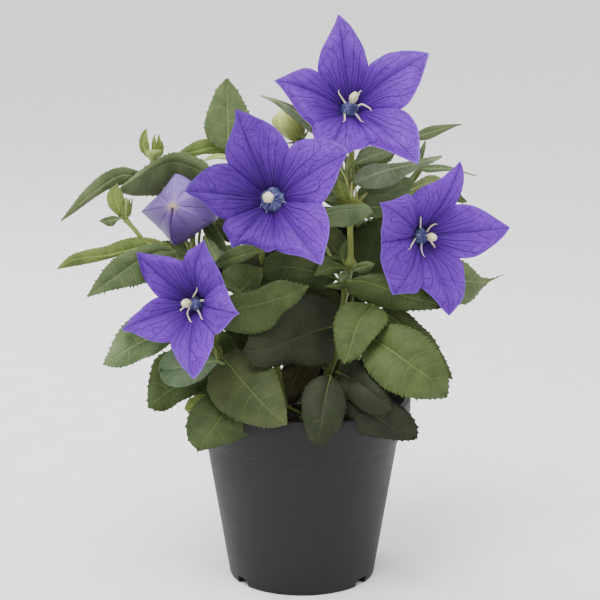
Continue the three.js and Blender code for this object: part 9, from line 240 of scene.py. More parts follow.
# ------------------------------------------------------------------ meshes
class Build:
    """Collects vertices, faces and per-vertex values, then makes one object."""

    def __init__(self):
        self.v, self.f, self.m, self.a, self.n = [], [], [], {}, 0

    def add(self, V, F, mat=0, **attrs):
        V = np.asarray(V, float)
        count = len(V)
        for k in set(self.a) | set(attrs):
            val = attrs.get(k)
            width = 4 if k.startswith("c_") else 1
            if val is None:
                val = np.zeros((count, width)) if width > 1 else np.zeros(count)
            val = np.asarray(val, float)
            if val.ndim == 0 or (width > 1 and val.ndim == 1):
                val = np.broadcast_to(val, (count, width) if width > 1 else (count,))
            if k not in self.a:
                self.a[k] = [np.zeros((self.n, width)) if width > 1 else np.zeros(self.n)] if self.n else []
            self.a[k].append(val)
        for f in F:
            self.f.append(np.asarray(f, int) + self.n)
            self.m.append(np.full(len(f), mat))
        self.v.append(V)
        self.n += count

    def make(self, name, mats, smooth_faces=True):
        V = np.vstack(self.v) * MM
        me = bpy.data.meshes.new(name)
        me.vertices.add(len(V))
        me.vertices.foreach_set("co", V.astype(np.float32).ravel())
        idx = np.concatenate([f.ravel() for f in self.f])
        size = np.concatenate([np.full(len(f), f.shape[1]) for f in self.f])
        start = np.r_[0, np.cumsum(size)[:-1]]
        me.loops.add(len(idx))
        me.loops.foreach_set("vertex_index", idx.astype(np.int32))
        me.polygons.add(len(size))
        me.polygons.foreach_set("loop_start", start.astype(np.int32))
        me.polygons.foreach_set("material_index", np.concatenate(self.m).astype(np.int32))
        me.polygons.foreach_set("use_smooth", np.full(len(size), smooth_faces))
        for k, parts in self.a.items():
            if k.startswith("c_"):
                at = me.attributes.new(k[2:], "FLOAT_COLOR", "POINT")
                at.data.foreach_set("color", np.vstack(parts).astype(np.float32).ravel())
            else:
                at = me.attributes.new(k, "FLOAT", "POINT")
                at.data.foreach_set("value", np.concatenate(parts).astype(np.float32))
        me.update(calc_edges=True)
        me.validate()
        ob = bpy.data.objects.new(name, me)
        bpy.context.scene.collection.objects.link(ob)
        for m in mats:
            me.materials.append(m)
        return ob


def grid_faces(R, C, wrap=False, flip=False, off=0):
    i = np.arange(R - 1)[:, None]
    j = np.arange(C if wrap else C - 1)[None, :]
    j2 = (j + 1) % C
    a, b, c, d = i * C + j, i * C + j2, (i + 1) * C + j2, (i + 1) * C + j
    f = np.stack(np.broadcast_arrays(a, b, c, d), -1).reshape(-1, 4) + off
    return f[:, ::-1] if flip else f


def grid_normals(P, wrap=False):
    ds = np.gradient(P, axis=0)
    if wrap:
        dt = np.roll(P, -1, 1) - np.roll(P, 1, 1)
    else:
        dt = np.gradient(P, axis=1)
    return unit(np.cross(ds, dt))


def tube(points, radii, sides=10, rib=0.0, ribs=5, flat=1.0):
    """Closed tube. Returns vertices, faces and position along it from 0 to 1."""
    P = np.asarray(points, float)
    n = len(P)
    T = unit(np.gradient(P, axis=0))
    u = np.array([0, 0, 1.0]) if abs(T[0][2]) < 0.9 else np.array([1.0, 0, 0])
    U = []
    for k in range(n):
        u = u - T[k] * (u @ T[k])
        u = u / np.linalg.norm(u)
        U.append(u)
    U = np.array(U)
    W = np.cross(T, U)
    a = 2 * np.pi * np.arange(sides) / sides
    r = np.asarray(radii, float)[:, None] * (1 + rib * np.cos(ribs * a)[None, :])
    V = P[:, None] + U[:, None] * (np.cos(a)[None, :] * r)[..., None] + W[:, None] * (np.sin(a)[None, :] * r * flat)[..., None]
    V = V.reshape(-1, 3)
    F = grid_faces(n, sides, wrap=True, flip=False)
    V = np.vstack([V, P[0] - T[0] * radii[0] * 0.5, P[-1] + T[-1] * radii[-1] * 0.7])
    j = np.arange(sides)
    c0 = np.stack([np.full(sides, n * sides), (j + 1) % sides, j], 1)
    o = (n - 1) * sides
    c1 = np.stack([np.full(sides, n * sides + 1), o + j, o + (j + 1) % sides], 1)
    along = np.r_[np.repeat(np.linspace(0, 1, n), sides), 0, 1]
    return V, [F, c0, c1], along


def turned(profile, p, n, sides, lobes=0, lobe=0.0, phase=0.0):
    """Body of revolution: profile rows are (radius, height) from axis to axis along n through p."""
    n = unit(n)
    u = np.array([0, 0, 1.0]) if abs(n[2]) < 0.9 else np.array([1.0, 0, 0])
    u = unit(u - n * (u @ n))
    w = np.cross(n, u)
    prof = np.asarray(profile, float)
    a = 2 * np.pi * np.arange(sides) / sides
    body = prof[1:-1]
    r = body[:, 0][:, None] * (1 + lobe * np.cos(lobes * a + phase)[None, :])
    V = p + u * (np.cos(a)[None, :] * r)[..., None] + w * (np.sin(a)[None, :] * r)[..., None] + n * body[:, 1][:, None, None]
    R = len(body)
    V = V.reshape(-1, 3)
    V = np.vstack([V, p + n * prof[0, 1], p + n * prof[-1, 1]])
    F = grid_faces(R, sides, wrap=True)
    j = np.arange(sides)
    c0 = np.stack([np.full(sides, R * sides), (j + 1) % sides, j], 1)
    o = (R - 1) * sides
    c1 = np.stack([np.full(sides, R * sides + 1), o + j, o + (j + 1) % sides], 1)
    return V, [F, c0, c1], np.r_[np.repeat(np.linspace(0, 1, R), sides), 0, 1]


def closed_sheet(P, N, half, extra_top=0.0, wrap=False, centre=None):
    """Two layers round the grid P, joined at the rim. Returns vertices, faces and which layer each vertex is on."""
    R, C = P.shape[:2]
    half = np.broadcast_to(half, (R, C))[..., None]
    top = P + N * half
    bot = P - N * half
    n = R * C
    F = [grid_faces(R, C, wrap), grid_faces(R, C, wrap, flip=True, off=n)]
    V = np.vstack([top.reshape(-1, 3), bot.reshape(-1, 3)])
    side = np.r_[np.ones(n), np.zeros(n)]
    q = lambda i, j: i * C + j
    if wrap:
        j = np.arange(C)
        j2 = (j + 1) % C
        a, b = q(R - 1, j), q(R - 1, j2)
        F.append(np.stack([a, b, n + b, n + a], 1)[:, ::-1])
    else:
        ring = np.r_[q(0, np.arange(C)), q(np.arange(1, R), C - 1), q(R - 1, np.arange(C - 2, -1, -1)), q(np.arange(R - 2, 0, -1), 0)]
        b = np.roll(ring, -1)
        F.append(np.stack([ring, n + ring, n + b, b], 1))
    return V, F, side


# ------------------------------------------------------------------ materials
def srgb(r, g, b):
    f = lambda c: c / 12.92 if c <= 0.04045 else ((c + 0.055) / 1.055) ** 2.4
    return np.array([f(r / 255), f(g / 255), f(b / 255), 1.0])


class Nodes:
    def __init__(self, name):
        self.mat = bpy.data.materials.new(name)
        self.mat.use_nodes = True
        self.t = self.mat.node_tree
        self.bsdf = self.t.nodes["Principled BSDF"]
        self.x = 0

    def new(self, kind, **inputs):
        n = self.t.nodes.new(kind)
        self.x -= 40
        n.location = (self.x, 0)
        for k, v in inputs.items():
            self.put(n.inputs[k.replace("_", " ")] if not k.startswith("i") or not k[1:].isdigit() else n.inputs[int(k[1:])], v)
        return n

    def put(self, sock, v):
        if isinstance(v, bpy.types.NodeSocket):
            self.t.links.new(v, sock)
        elif isinstance(v, np.ndarray):
            sock.default_value = tuple(float(x) for x in v)
        else:
            sock.default_value = v

    def attr(self, name, what="Fac"):
        n = self.t.nodes.new("ShaderNodeAttribute")
        n.attribute_name = name
        return n.outputs[what]

    def math(self, op, a, b=0.0, c=None, clamp=False):
        n = self.t.nodes.new("ShaderNodeMath")
        n.operation = op
        n.use_clamp = clamp
        self.put(n.inputs[0], a)
        self.put(n.inputs[1], b)
        if c is not None:
            self.put(n.inputs[2], c)
        return n.outputs[0]

    def ramp(self, x, lo, hi, a=0.0, b=1.0, kind="SMOOTHSTEP"):
        n = self.t.nodes.new("ShaderNodeMapRange")
        n.interpolation_type = kind
        for k, v in (("Value", x), ("From Min", lo), ("From Max", hi), ("To Min", a), ("To Max", b)):
            self.put(n.inputs[k], v)
        return n.outputs["Result"]

    def mix(self, f, a, b, mode="MIX"):
        n = self.t.nodes.new("ShaderNodeMix")
        n.data_type = "RGBA"
        n.blend_type = mode
        self.put(n.inputs["Factor"], f)
        self.put(n.inputs[6], a)
        self.put(n.inputs[7], b)
        return n.outputs[2]

    def vec(self, x, y, z=0.0):
        n = self.t.nodes.new("ShaderNodeCombineXYZ")
        for k, v in zip("XYZ", (x, y, z)):
            self.put(n.inputs[k], v)
        return n.outputs[0]

    def noise(self, vec, scale, detail=3.0, rough=0.5, dist=0.0):
        n = self.t.nodes.new("ShaderNodeTexNoise")
        if vec is not None:
            self.put(n.inputs["Vector"], vec)
        n.inputs["Scale"].default_value = scale
        n.inputs["Detail"].default_value = detail
        n.inputs["Roughness"].default_value = rough
        n.inputs["Distortion"].default_value = dist
        return n.outputs[0]

    def cells(self, vec, scale, rand=1.0):
        n = self.t.nodes.new("ShaderNodeTexVoronoi")
        n.feature = "DISTANCE_TO_EDGE"
        self.put(n.inputs["Vector"], vec)
        n.inputs["Scale"].default_value = scale
        n.inputs["Randomness"].default_value = rand
        return n.outputs["Distance"]

    def pos(self):
        n = self.t.nodes.new("ShaderNodeTexCoord")
        return n.outputs["Object"]

    def bump(self, h, strength, dist):
        n = self.t.nodes.new("ShaderNodeBump")
        n.inputs["Strength"].default_value = strength
        n.inputs["Distance"].default_value = dist
        self.put(n.inputs["Height"], h)
        self.t.links.new(n.outputs[0], self.bsdf.inputs["Normal"])

    def out(self, colour, rough, **k):
        self.put(self.bsdf.inputs["Base Color"], colour)
        self.put(self.bsdf.inputs["Roughness"], rough)
        for a, v in k.items():
            self.put(self.bsdf.inputs[a.replace("_", " ")], v)
        return self.mat


COL_PETAL = (srgb(80, 26, 142), srgb(104, 45, 174), srgb(50, 18, 92), srgb(32, 8, 66))


def leaf_material():
    m = Nodes("leaf")
    tint, side = m.attr("tint", "Color"), m.attr("side")
    x, y, s, vq, t = m.attr("xmm"), m.attr("ymm"), m.attr("s"), m.attr("vq"), m.attr("t")
    flat = m.vec(x, y, m.attr("seed"))
    big = m.noise(flat, 0.10, 2.0)
    fine = m.noise(flat, 0.8, 4.0, 0.65)
    grain = m.noise(flat, 2.4, 2.0, 0.6)
    across = m.math("ABSOLUTE", s)
    # side veins: thin pale lines where vq passes whole numbers
    f = m.math("FRACT", vq)
    d = m.math("MULTIPLY", m.math("MINIMUM", f, m.math("SUBTRACT", 1.0, f)), m.attr("vw"))
    wide = m.ramp(across, 0.0, 1.0, 0.34, 0.12, "LINEAR")
    vein = m.ramp(d, m.math("MULTIPLY", wide, 0.2), wide, 1.0, 0.0)
    vein = m.math("MULTIPLY", vein, m.ramp(across, 0.5, 0.98, 1.0, 0.12))
    mid = m.ramp(m.math("ABSOLUTE", x), m.ramp(t, 0.0, 1.0, 0.22, 0.04, "LINEAR"), m.ramp(t, 0.0, 1.0, 0.62, 0.22, "LINEAR"), 1.0, 0.0)
    # fine net between the side veins
    net = m.cells(m.vec(m.math("MULTIPLY", x, 0.56), m.math("MULTIPLY", m.math("ADD", y, m.math("MULTIPLY", m.math("ABSOLUTE", x), -0.6)), 0.70), m.attr("seed")), 1.0, 0.95)
    net = m.ramp(net, 0.0, 0.11, 1.0, 0.0)
    dark = m.mix(1.0, tint, m.vec(0.70, 0.75, 0.68), "MULTIPLY")
    light = m.mix(1.0, tint, m.vec(1.34, 1.29, 1.32), "MULTIPLY")
    pale = m.mix(1.0, tint, m.vec(2.35, 2.25, 2.05), "MULTIPLY")
    base = m.mix(m.ramp(big, 0.3, 0.7), dark, light)
    base = m.mix(m.math("MULTIPLY", m.ramp(fine, 0.38, 0.68), 0.35), base, dark)
    base = m.mix(m.math("MULTIPLY", m.ramp(grain, 0.50, 0.70), 0.45), base, light)
    c = m.mix(m.math("MULTIPLY", net, 0.13), base, pale)
    # painted shade: darker on and beside the side veins, which lie sunken in the blade; the veins themselves are
    # painted pale over it next
    c = m.mix(m.math("MULTIPLY", m.ramp(d, 0.0, 1.3, 1.0, 0.0), 0.16), c, dark)
    c = m.mix(m.math("MULTIPLY", vein, 0.44), c, pale)
    c = m.mix(m.math("MULTIPLY", mid, m.ramp(t, 0.0, 0.9, 0.95, 0.55)), c, pale)
    under = m.mix(0.35, tint, m.mix(1.0, tint, m.vec(2.6, 2.4, 3.0), "MULTIPLY"))
    under = m.mix(m.math("MULTIPLY", m.ramp(big, 0.3, 0.7), 0.25), under, light)
    under = m.mix(m.math("MULTIPLY", net, 0.12), under, pale)
    under = m.mix(m.math("MULTIPLY", m.math("MAXIMUM", vein, mid), 0.45), under, pale)
    c = m.mix(side, under, c)
    edge = m.ramp(across, 0.955, 1.0)
    c = m.mix(m.math("MULTIPLY", edge, 0.30), c, pale)
    h = m.math("ADD", m.math("MULTIPLY", net, -0.25), m.math("MULTIPLY", m.math("MAXIMUM", vein, mid), -0.6))
    h = m.math("ADD", h, m.math("ADD", m.math("MULTIPLY", fine, 0.5), m.math("MULTIPLY", grain, 0.3)))
    m.bump(h, 0.30, 0.0003)
    rough = m.ramp(fine, 0.2, 0.8, 0.52, 0.68)
    return m.out(c, rough, Specular_IOR_Level=0.18)


def petal_material():
    m = Nodes("petal")
    phi, rho, rm, side, lw, tone, seed = (m.attr(k) for k in ("phi", "rho", "rm", "side", "lw", "tone", "seed"))
    p = m.pos()
    n1 = m.noise(p, 170.0, 2.0)
    n2 = m.noise(p, 640.0, 3.0, 0.6)
    n3 = m.noise(p, 2000.0, 3.0, 0.7)
    half = m.math("MULTIPLY", lw, 0.5)       # mm from a lobe's midline to the notch line
    wander = m.math("ADD", m.math("MULTIPLY", m.math("SUBTRACT", n1, 0.5), 1.9), m.math("MULTIPLY", m.math("SUBTRACT", n2, 0.5), 1.1))
    u = m.math("ADD", phi, m.math("DIVIDE", m.math("MULTIPLY", wander, m.ramp(rho, 0.08, 0.4, 0.15, 1.0)), half))
    px = m.math("ABSOLUTE", m.math("SUBTRACT", m.math("MULTIPLY", m.math("FRACT", m.math("MULTIPLY", u, 0.5)), 2.0), 1.0))

    def line(d, w):
        return m.ramp(d, m.math("MULTIPLY", w, 0.2), w, 1.0, 0.0)

    def net(across, along, w0, w1, shift):
        v = m.vec(m.math("MULTIPLY", u, across), m.math("MULTIPLY", m.math("ADD", rho, m.math("MULTIPLY", n2, 0.05)), along), m.math("ADD", seed, shift))
        d = m.math("MULTIPLY", m.cells(v, 1.0, 1.0), m.math("DIVIDE", half, across))
        return line(d, m.ramp(rho, 0.1, 1.0, w0, w1, "LINEAR"))

    rib = m.attr("rib")
    v2 = m.math("MULTIPLY", net(5.6, 7.5, 0.26, 0.20, 11.0), m.ramp(rho, 0.25, 0.60, 0.0, 0.30))
    v3 = m.math("MULTIPLY", net(11.0, 19.0, 0.16, 0.14, 23.0), m.ramp(rho, 0.30, 0.55, 0.0, 0.26))
    mid, lit, deep, dark = COL_PETAL
    # lighter towards the rim in the lit colour and darker deep in the throat by the dome: partly the petals' own
    # colour, partly painted light on the open ends and painted shade deep in the cup
    c = m.mix(m.ramp(rho, 0.30, 0.95), mid, lit)
    c = m.mix(m.math("MULTIPLY", m.ramp(n1, 0.35, 0.65), 0.45), c, mid)
    c = m.mix(m.math("MULTIPLY", m.ramp(rho, 0.55, 0.12), 0.48), c, deep)
    c = m.mix(m.ramp(rm, 9.5, 4.5, 0.0, 0.80), c, dark)
    c = m.mix(m.math("MULTIPLY", m.ramp(px, 0.0, 0.22, 1.0, 0.0), 0.22), c, deep)
    veins = m.math("MAXIMUM", v2, v3)
    front = m.mix(m.math("MULTIPLY", veins, 0.80), c, dark)
    front = m.mix(m.math("MULTIPLY", m.ramp(n3, 0.50, 0.70), 0.26), front, lit)
    front = m.mix(m.math("MULTIPLY", m.ramp(rho, 0.975, 1.0), 0.25), front, srgb(150, 118, 214))
    front = m.mix(m.math("MULTIPLY", rib, m.ramp(rho, 0.2, 0.95, 0.95, 0.70)), front, dark)
    back = m.mix(m.math("MULTIPLY", veins, 0.45), m.mix(0.28, c, srgb(146, 124, 200)), deep)
    back = m.mix(m.math("MULTIPLY", rib, 0.55), back, deep)
    # painted light and shade: the petal colour is scaled by each flower's painted shade, lighter towards one side and
    # darker towards the other
    col = m.mix(1.0, m.mix(side, back, front), m.vec(tone, tone, m.math("POWER", tone, 0.9)), "MULTIPLY")
    h = m.math("SUBTRACT", m.math("MULTIPLY", n3, 0.4), veins)
    m.bump(h, 0.35, 0.0003)
    return m.out(col, m.ramp(n2, 0.2, 0.8, 0.52, 0.66), Specular_IOR_Level=0.14)


def soft_material(name, rough=0.55, mottling=0.25, scale=700.0, spec=0.3, streak=False):
    """Small flower parts and stems: colour per vertex, broken up by noise."""
    m = Nodes(name)
    tint = m.attr("tint", "Color")
    p = m.pos()
    if streak:
        mp = m.t.nodes.new("ShaderNodeMapping")
        mp.inputs["Scale"].default_value = (1.0, 1.0, 0.12)
        m.t.links.new(p, mp.inputs["Vector"])
        p = mp.outputs[0]
    n = m.noise(p, scale, 4.0, 0.6)
    n2 = m.noise(p, scale * 0.22, 2.0)
    dark = m.mix(1.0, tint, m.vec(0.62, 0.62, 0.62), "MULTIPLY")
    light = m.mix(1.0, tint, m.vec(1.25, 1.22, 1.15), "MULTIPLY")
    c = m.mix(m.math("MULTIPLY", m.ramp(n, 0.35, 0.65), mottling), tint, dark)
    c = m.mix(m.math("MULTIPLY", m.ramp(n2, 0.4, 0.7), mottling), c, light)
    m.bump(n, 0.25, 0.0002)
    return m.out(c, m.ramp(n, 0.2, 0.8, rough - 0.07, rough + 0.08), Specular_IOR_Level=spec)


def pot_material():
    m = Nodes("pot_plastic")
    p = m.pos()
    n = m.noise(p, 900.0, 3.0, 0.55)
    n2 = m.noise(p, 22.0, 3.0, 0.6)
    mp = m.t.nodes.new("ShaderNodeMapping")
    mp.inputs["Scale"].default_value = (1.0, 1.0, 0.05)
    m.t.links.new(p, mp.inputs["Vector"])
    streak = m.noise(mp.outputs[0], 260.0, 3.0, 0.6)
    c = m.mix(m.ramp(n2, 0.3, 0.7), srgb(16, 16, 17), srgb(20, 20, 21))
    c = m.mix(m.math("MULTIPLY", m.ramp(streak, 0.45, 0.8), 0.25), c, srgb(31, 30, 30))
    c = m.mix(m.math("MULTIPLY", m.ramp(n, 0.55, 0.8), 0.18), c, srgb(37, 35, 34))
    sep = m.t.nodes.new("ShaderNodeSeparateXYZ")
    m.t.links.new(p, sep.inputs[0])
    # painted shade: the upper band below the rim is darkened, where the leaves shade it
    band_shade = m.math("MULTIPLY", m.ramp(sep.outputs["Z"], 0.0668, 0.0684), m.ramp(sep.outputs["Z"], 0.0812, 0.0822, 1.0, 0.0))
    c = m.mix(m.math("MULTIPLY", band_shade, 0.45), c, srgb(13, 13, 14))
    m.bump(m.math("ADD", m.math("MULTIPLY", n, 0.7), m.math("MULTIPLY", streak, 0.3)), 0.12, 0.0002)
    r = m.ramp(n2, 0.25, 0.75, 0.50, 0.62)
    return m.out(c, r, Specular_IOR_Level=0.27)


def soil_material():
    m = Nodes("compost")
    p = m.pos()
    n = m.noise(p, 420.0, 5.0, 0.7)
    n2 = m.noise(p, 90.0, 3.0, 0.6)
    c = m.mix(m.ramp(n, 0.35, 0.68), srgb(22, 18, 15), srgb(52, 42, 34))
    c = m.mix(m.math("MULTIPLY", m.ramp(n2, 0.5, 0.75), 0.35), c, srgb(70, 56, 43))
    c = m.mix(m.math("MULTIPLY", m.attr("bit"), 0.8), c, m.attr("tint", "Color"))
    m.bump(n, 0.8, 0.0008)
    return m.out(c, m.ramp(n, 0.2, 0.8, 0.82, 0.98), Specular_IOR_Level=0.15)


def floor_material():
    m = Nodes("floor")
    n = m.noise(m.pos(), 40.0, 2.0)
    return m.out(m.mix(m.ramp(n, 0.3, 0.7), srgb(238, 238, 238), srgb(242, 242, 242)), 0.9, Specular_IOR_Level=0.05)


LEAF, PETAL = leaf_material(), petal_material()
STEM = soft_material("stem", 0.5, 0.35, 900.0, 0.35, streak=True)
SOFT = soft_material("flower_parts", 0.6, 0.35, 1300.0, 0.2)
SOFTG = soft_material("green_parts", 0.55, 0.3, 900.0, 0.3)
BUD = soft_material("bud", 0.5, 0.35, 420.0, 0.3)
POT, SOIL, FLOOR = pot_material(), soil_material(), floor_material()


def done(ob, nodes):
    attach(ob, "root")
    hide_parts(*([nodes] if isinstance(nodes, str) else nodes))
    return ob


# ------------------------------------------------------------------ leaves
# Leaf colours by class, set leaf by leaf. Partly painted light and shade: the darkest classes paint the shade deep
# inside the plant and low down by the pot, and the palest classes paint the stronger light and grey sheen on the upper
# leaves; the young classes are also the young leaves' own paler green.
LEAF_COL = {
    "mid": srgb(63, 76, 42), "mid2": srgb(53, 64, 33), "dark": srgb(46, 52, 30), "dark2": srgb(29, 34, 18), "shade": srgb(32, 36, 20), "brown": srgb(84, 80, 58),
    "light": srgb(60, 73, 37), "olive": srgb(66, 74, 38), "blue": srgb(72, 88, 64), "grey": srgb(80, 93, 60), "grey2": srgb(92, 107, 72), "pale": srgb(112, 126, 94),
    "young": srgb(102, 118, 58), "young2": srgb(94, 109, 58), "young3": srgb(156, 168, 104), "young4": srgb(118, 133, 84),
}


def add_leaf(b, l, key, rng, petiole=True):
    M, A, B = (np.array(l[k], float) for k in "MAB")
    length = float(np.linalg.norm(np.diff(M, axis=0), axis=1).sum())
    width = float(np.max(np.linalg.norm(A - B, axis=1)))
    teeth = max(6, int(round(length / 2.2)))
    step = rng.uniform(0.6, 1.5, teeth)
    step, base = step / step.sum(), np.r_[0, np.cumsum(step / step.sum())]
    u, saw, amp = [], [], []
    for k in range(teeth):
        a = rng.choice([0.25, 0.6, 0.9, 1.2, 1.5])
        for f, h in ((0.0, 0.0), (0.40, 0.10), (0.68, 0.36), (0.88, 1.0)):
            u.append(base[k] + f * step[k])
            saw.append(h)
            amp.append(a)
    u, saw, amp = np.array(u + [1.0]), np.array(saw + [0.0]), np.array(amp + [1.0])
    m, a, c = catmull(M, u), catmull(A, u), catmull(B, u)
    T = unit(np.gradient(m, axis=0))
    N = unit(np.cross(T, c - a))
    key_leaf = key.startswith("K")
    seen = (N * unit(CAM - m)).sum(1)
    w = np.linalg.norm(a - c, axis=1)
    if key_leaf:
        out = m.mean(0) - np.array(l["at"])
        out[2] = 0
        sidev = np.cross(unit(out), [0, 0, 1.0])
        turn = (np.cross(np.broadcast_to(sidev, T.shape), T) * N).sum(1)
        flip = (turn * w).sum() < 0
    else:
        flip = (seen * w).sum() < 0
    if flip:
        a, c, N = c, a, -N
    fade = smooth(0.02, 0.14, u) * (1 - 0.6 * smooth(0.93, 1.0, u))
    size = l["serr"] * min(0.66, 0.050 * width) * saw * amp * fade
    ea, ec = unit(a - m), unit(c - m)
    ta = (ea + 0.7 * T) * size[:, None]
    tc = (ec + 0.7 * T) * (size * rng.uniform(0.7, 1.1))[:, None]
    half = np.array([0, 0.05, 0.14, 0.27, 0.41, 0.55, 0.69, 0.82, 0.92, 1.0]) if width > 9 else np.array([0, 0.08, 0.25, 0.45, 0.65, 0.85, 1.0])
    s = np.r_[-half[::-1], half[1:]]
    R, C = len(u), len(s)
    edge = np.where((s < 0)[None, :, None], a[:, None], c[:, None])
    tooth = np.where((s < 0)[None, :, None], ta[:, None], tc[:, None])
    P = m[:, None] + (edge - m[:, None]) * np.abs(s)[None, :, None] + tooth * np.clip((np.abs(s) - 0.80) / 0.20, 0, 1)[None, :, None]
    hw = 0.5 * np.linalg.norm(a - c, axis=1)
    # veins: count by length, running forward towards the margin
    nv = max(4.0, round(length / 6.5))
    q = u[:, None] * nv * (1.0 - 0.08 * u[:, None]) - 0.30 * nv * np.abs(s)[None, :] ** 1.35 * (0.5 * width / length) * 1.5 + 0.25 * (s > 0)[None, :]
    spacing = length / nv
    fr = q - np.floor(q)
    dist = np.minimum(fr, 1 - fr) * spacing
    relief = -0.14 * np.exp(-((dist / 0.60) ** 2)) + 0.08 * (dist / (0.5 * spacing))
    relief = relief * smooth(0.03, 0.2, np.abs(s))[None, :] * smooth(1.0, 0.8, np.abs(s))[None, :] * min(1.0, width / 16)
    bul = l["bulge"] * 0.85 * hw[:, None] * (1 - (2 * np.abs(s)[None, :] - 1) ** 2)
    groove = -0.28 * np.exp(-((np.abs(s)[None, :] * hw[:, None] / 0.8) ** 2)) * (1 - 0.7 * u[:, None])
    wave = np.abs(s)[None, :] ** 2 * np.where(s < 0, 1, 0)[None, :] * wobble(rng, R, 0.045 * width)[:, None] + np.abs(s)[None, :] ** 2 * np.where(s > 0, 1, 0)[None, :] * wobble(rng, R, 0.045 * width)[:, None]
    wave = wave * smooth(0, 0.25, u)[:, None]
    Ng = grid_normals(P)
    Ng = unit(Ng * np.sign((Ng * N[:, None]).sum(-1))[..., None] + 0.3 * N[:, None])
    P = P + Ng * (bul + relief + groove + wave)[..., None]
    Ng = grid_normals(P)
    Ng = Ng * np.sign((Ng * N[:, None]).sum(-1))[..., None]
    thick = 0.17 - 0.09 * np.abs(s)[None, :] ** 3
    V, F, side = closed_sheet(P, Ng, thick)
    # the order of rows and columns decides which way the faces look: test one
    g = np.cross(P[1, C // 2 + 1] - P[0, C // 2], P[1, C // 2] - P[0, C // 2 + 1])
    if (np.cross(P[0, 1] - P[0, 0], P[1, 0] - P[0, 0]) @ Ng[0, 0]) < 0:
        F = [f[:, ::-1] for f in F]
    xm = s[None, :] * hw[:, None]
    ym = np.broadcast_to((u * length)[:, None], (R, C))
    two = lambda z: np.r_[np.broadcast_to(z, (R, C)).ravel(), np.broadcast_to(z, (R, C)).ravel()]
    tint = LEAF_COL[l["col"]].copy()
    tint[:3] *= rng.uniform(0.93, 1.07) * (1 + rng.normal(0, 0.02, 3))
    b.add(V, F, 0, c_tint=tint, side=side, s=two(s[None, :]), t=two(u[:, None]), xmm=two(xm), ymm=two(ym), vq=two(q), vw=np.full(2 * R * C, spacing), seed=np.full(2 * R * C, float(rng.uniform(0, 50))))
    # stalk running on as the raised midrib underneath
    ps, pr = [], []
    if petiole:
        at, m0, t0 = np.array(l["at"], float), m[0], T[0]
        L = np.linalg.norm(m0 - at)
        if L > 0.6:
            way = curve(np.array([at, at + (m0 - at) * 0.55 - t0 * 0.10 * L, m0]), max(4, int(L / 1.2)))
            ps += list(way[:-1])
            pr += list(np.linspace(1.0, 0.80, len(way) - 1) * (0.75 + 0.25 * min(1, width / 22)))
    k = np.linspace(0, R - 6, 22).astype(int)
    ps += list(m[k] - N[k] * (0.30 + 0.20 * (1 - u[k]))[:, None])
    pr += list(np.interp(u[k], [0, 0.15, 1], [0.72, 0.52, 0.14]) * (0.75 + 0.25 * min(1, width / 22)))
    tv, tf, ta = tube(np.array(ps), np.array(pr), 8)
    pet = (0.42 * LEAF_COL["young"] + 0.58 * tint)
    b.add(tv, tf, 0, c_tint=pet, side=0.5, s=0.3, t=ta, xmm=3.0, ymm=ta * 40, vq=0.5, vw=3.0, seed=1.0)


# ------------------------------------------------------------------ stems
def along_stem(S, f):
    d = np.r_[0, np.cumsum(np.linalg.norm(np.diff(S[:, :3], axis=0), axis=1))]
    return d / d[-1]


def add_stem(b, key, rng, nodes_at=(), mat=0, tint=None):
    S = np.array(STEMS[key], float)
    total = np.linalg.norm(np.diff(S[:, :3], axis=0), axis=1).sum()
    n = max(12, int(total / 1.3))
    C = curve(S, n)
    r = C[:, 3].copy()
    for p in nodes_at:
        d = np.linalg.norm(C[:, :3] - np.asarray(p), axis=1)
        k = int(d.argmin())
        if d[k] < 6:
            r *= 1 + 0.22 * np.exp(-(((np.arange(n) - k) / 1.6) ** 2))
    V, F, t = tube(C[:, :3], r, 14, rib=0.035, ribs=5)
    z = V[:, 2]
    g, p = srgb(108, 120, 56), srgb(78, 76, 48)
    f = np.clip((116 - z) / 34, 0, 1)[:, None] * 0.7
    col = (g * (1 - f) + p * f) if tint is None else np.broadcast_to(tint, (len(V), 4))
    if key == "s1":
        f = (smooth(150, 184, z) * smooth(212, 198, z))[:, None] * 0.8
        col = col * (1 - f) + srgb(138, 148, 62) * f
    b.add(V, F, mat, c_tint=col)


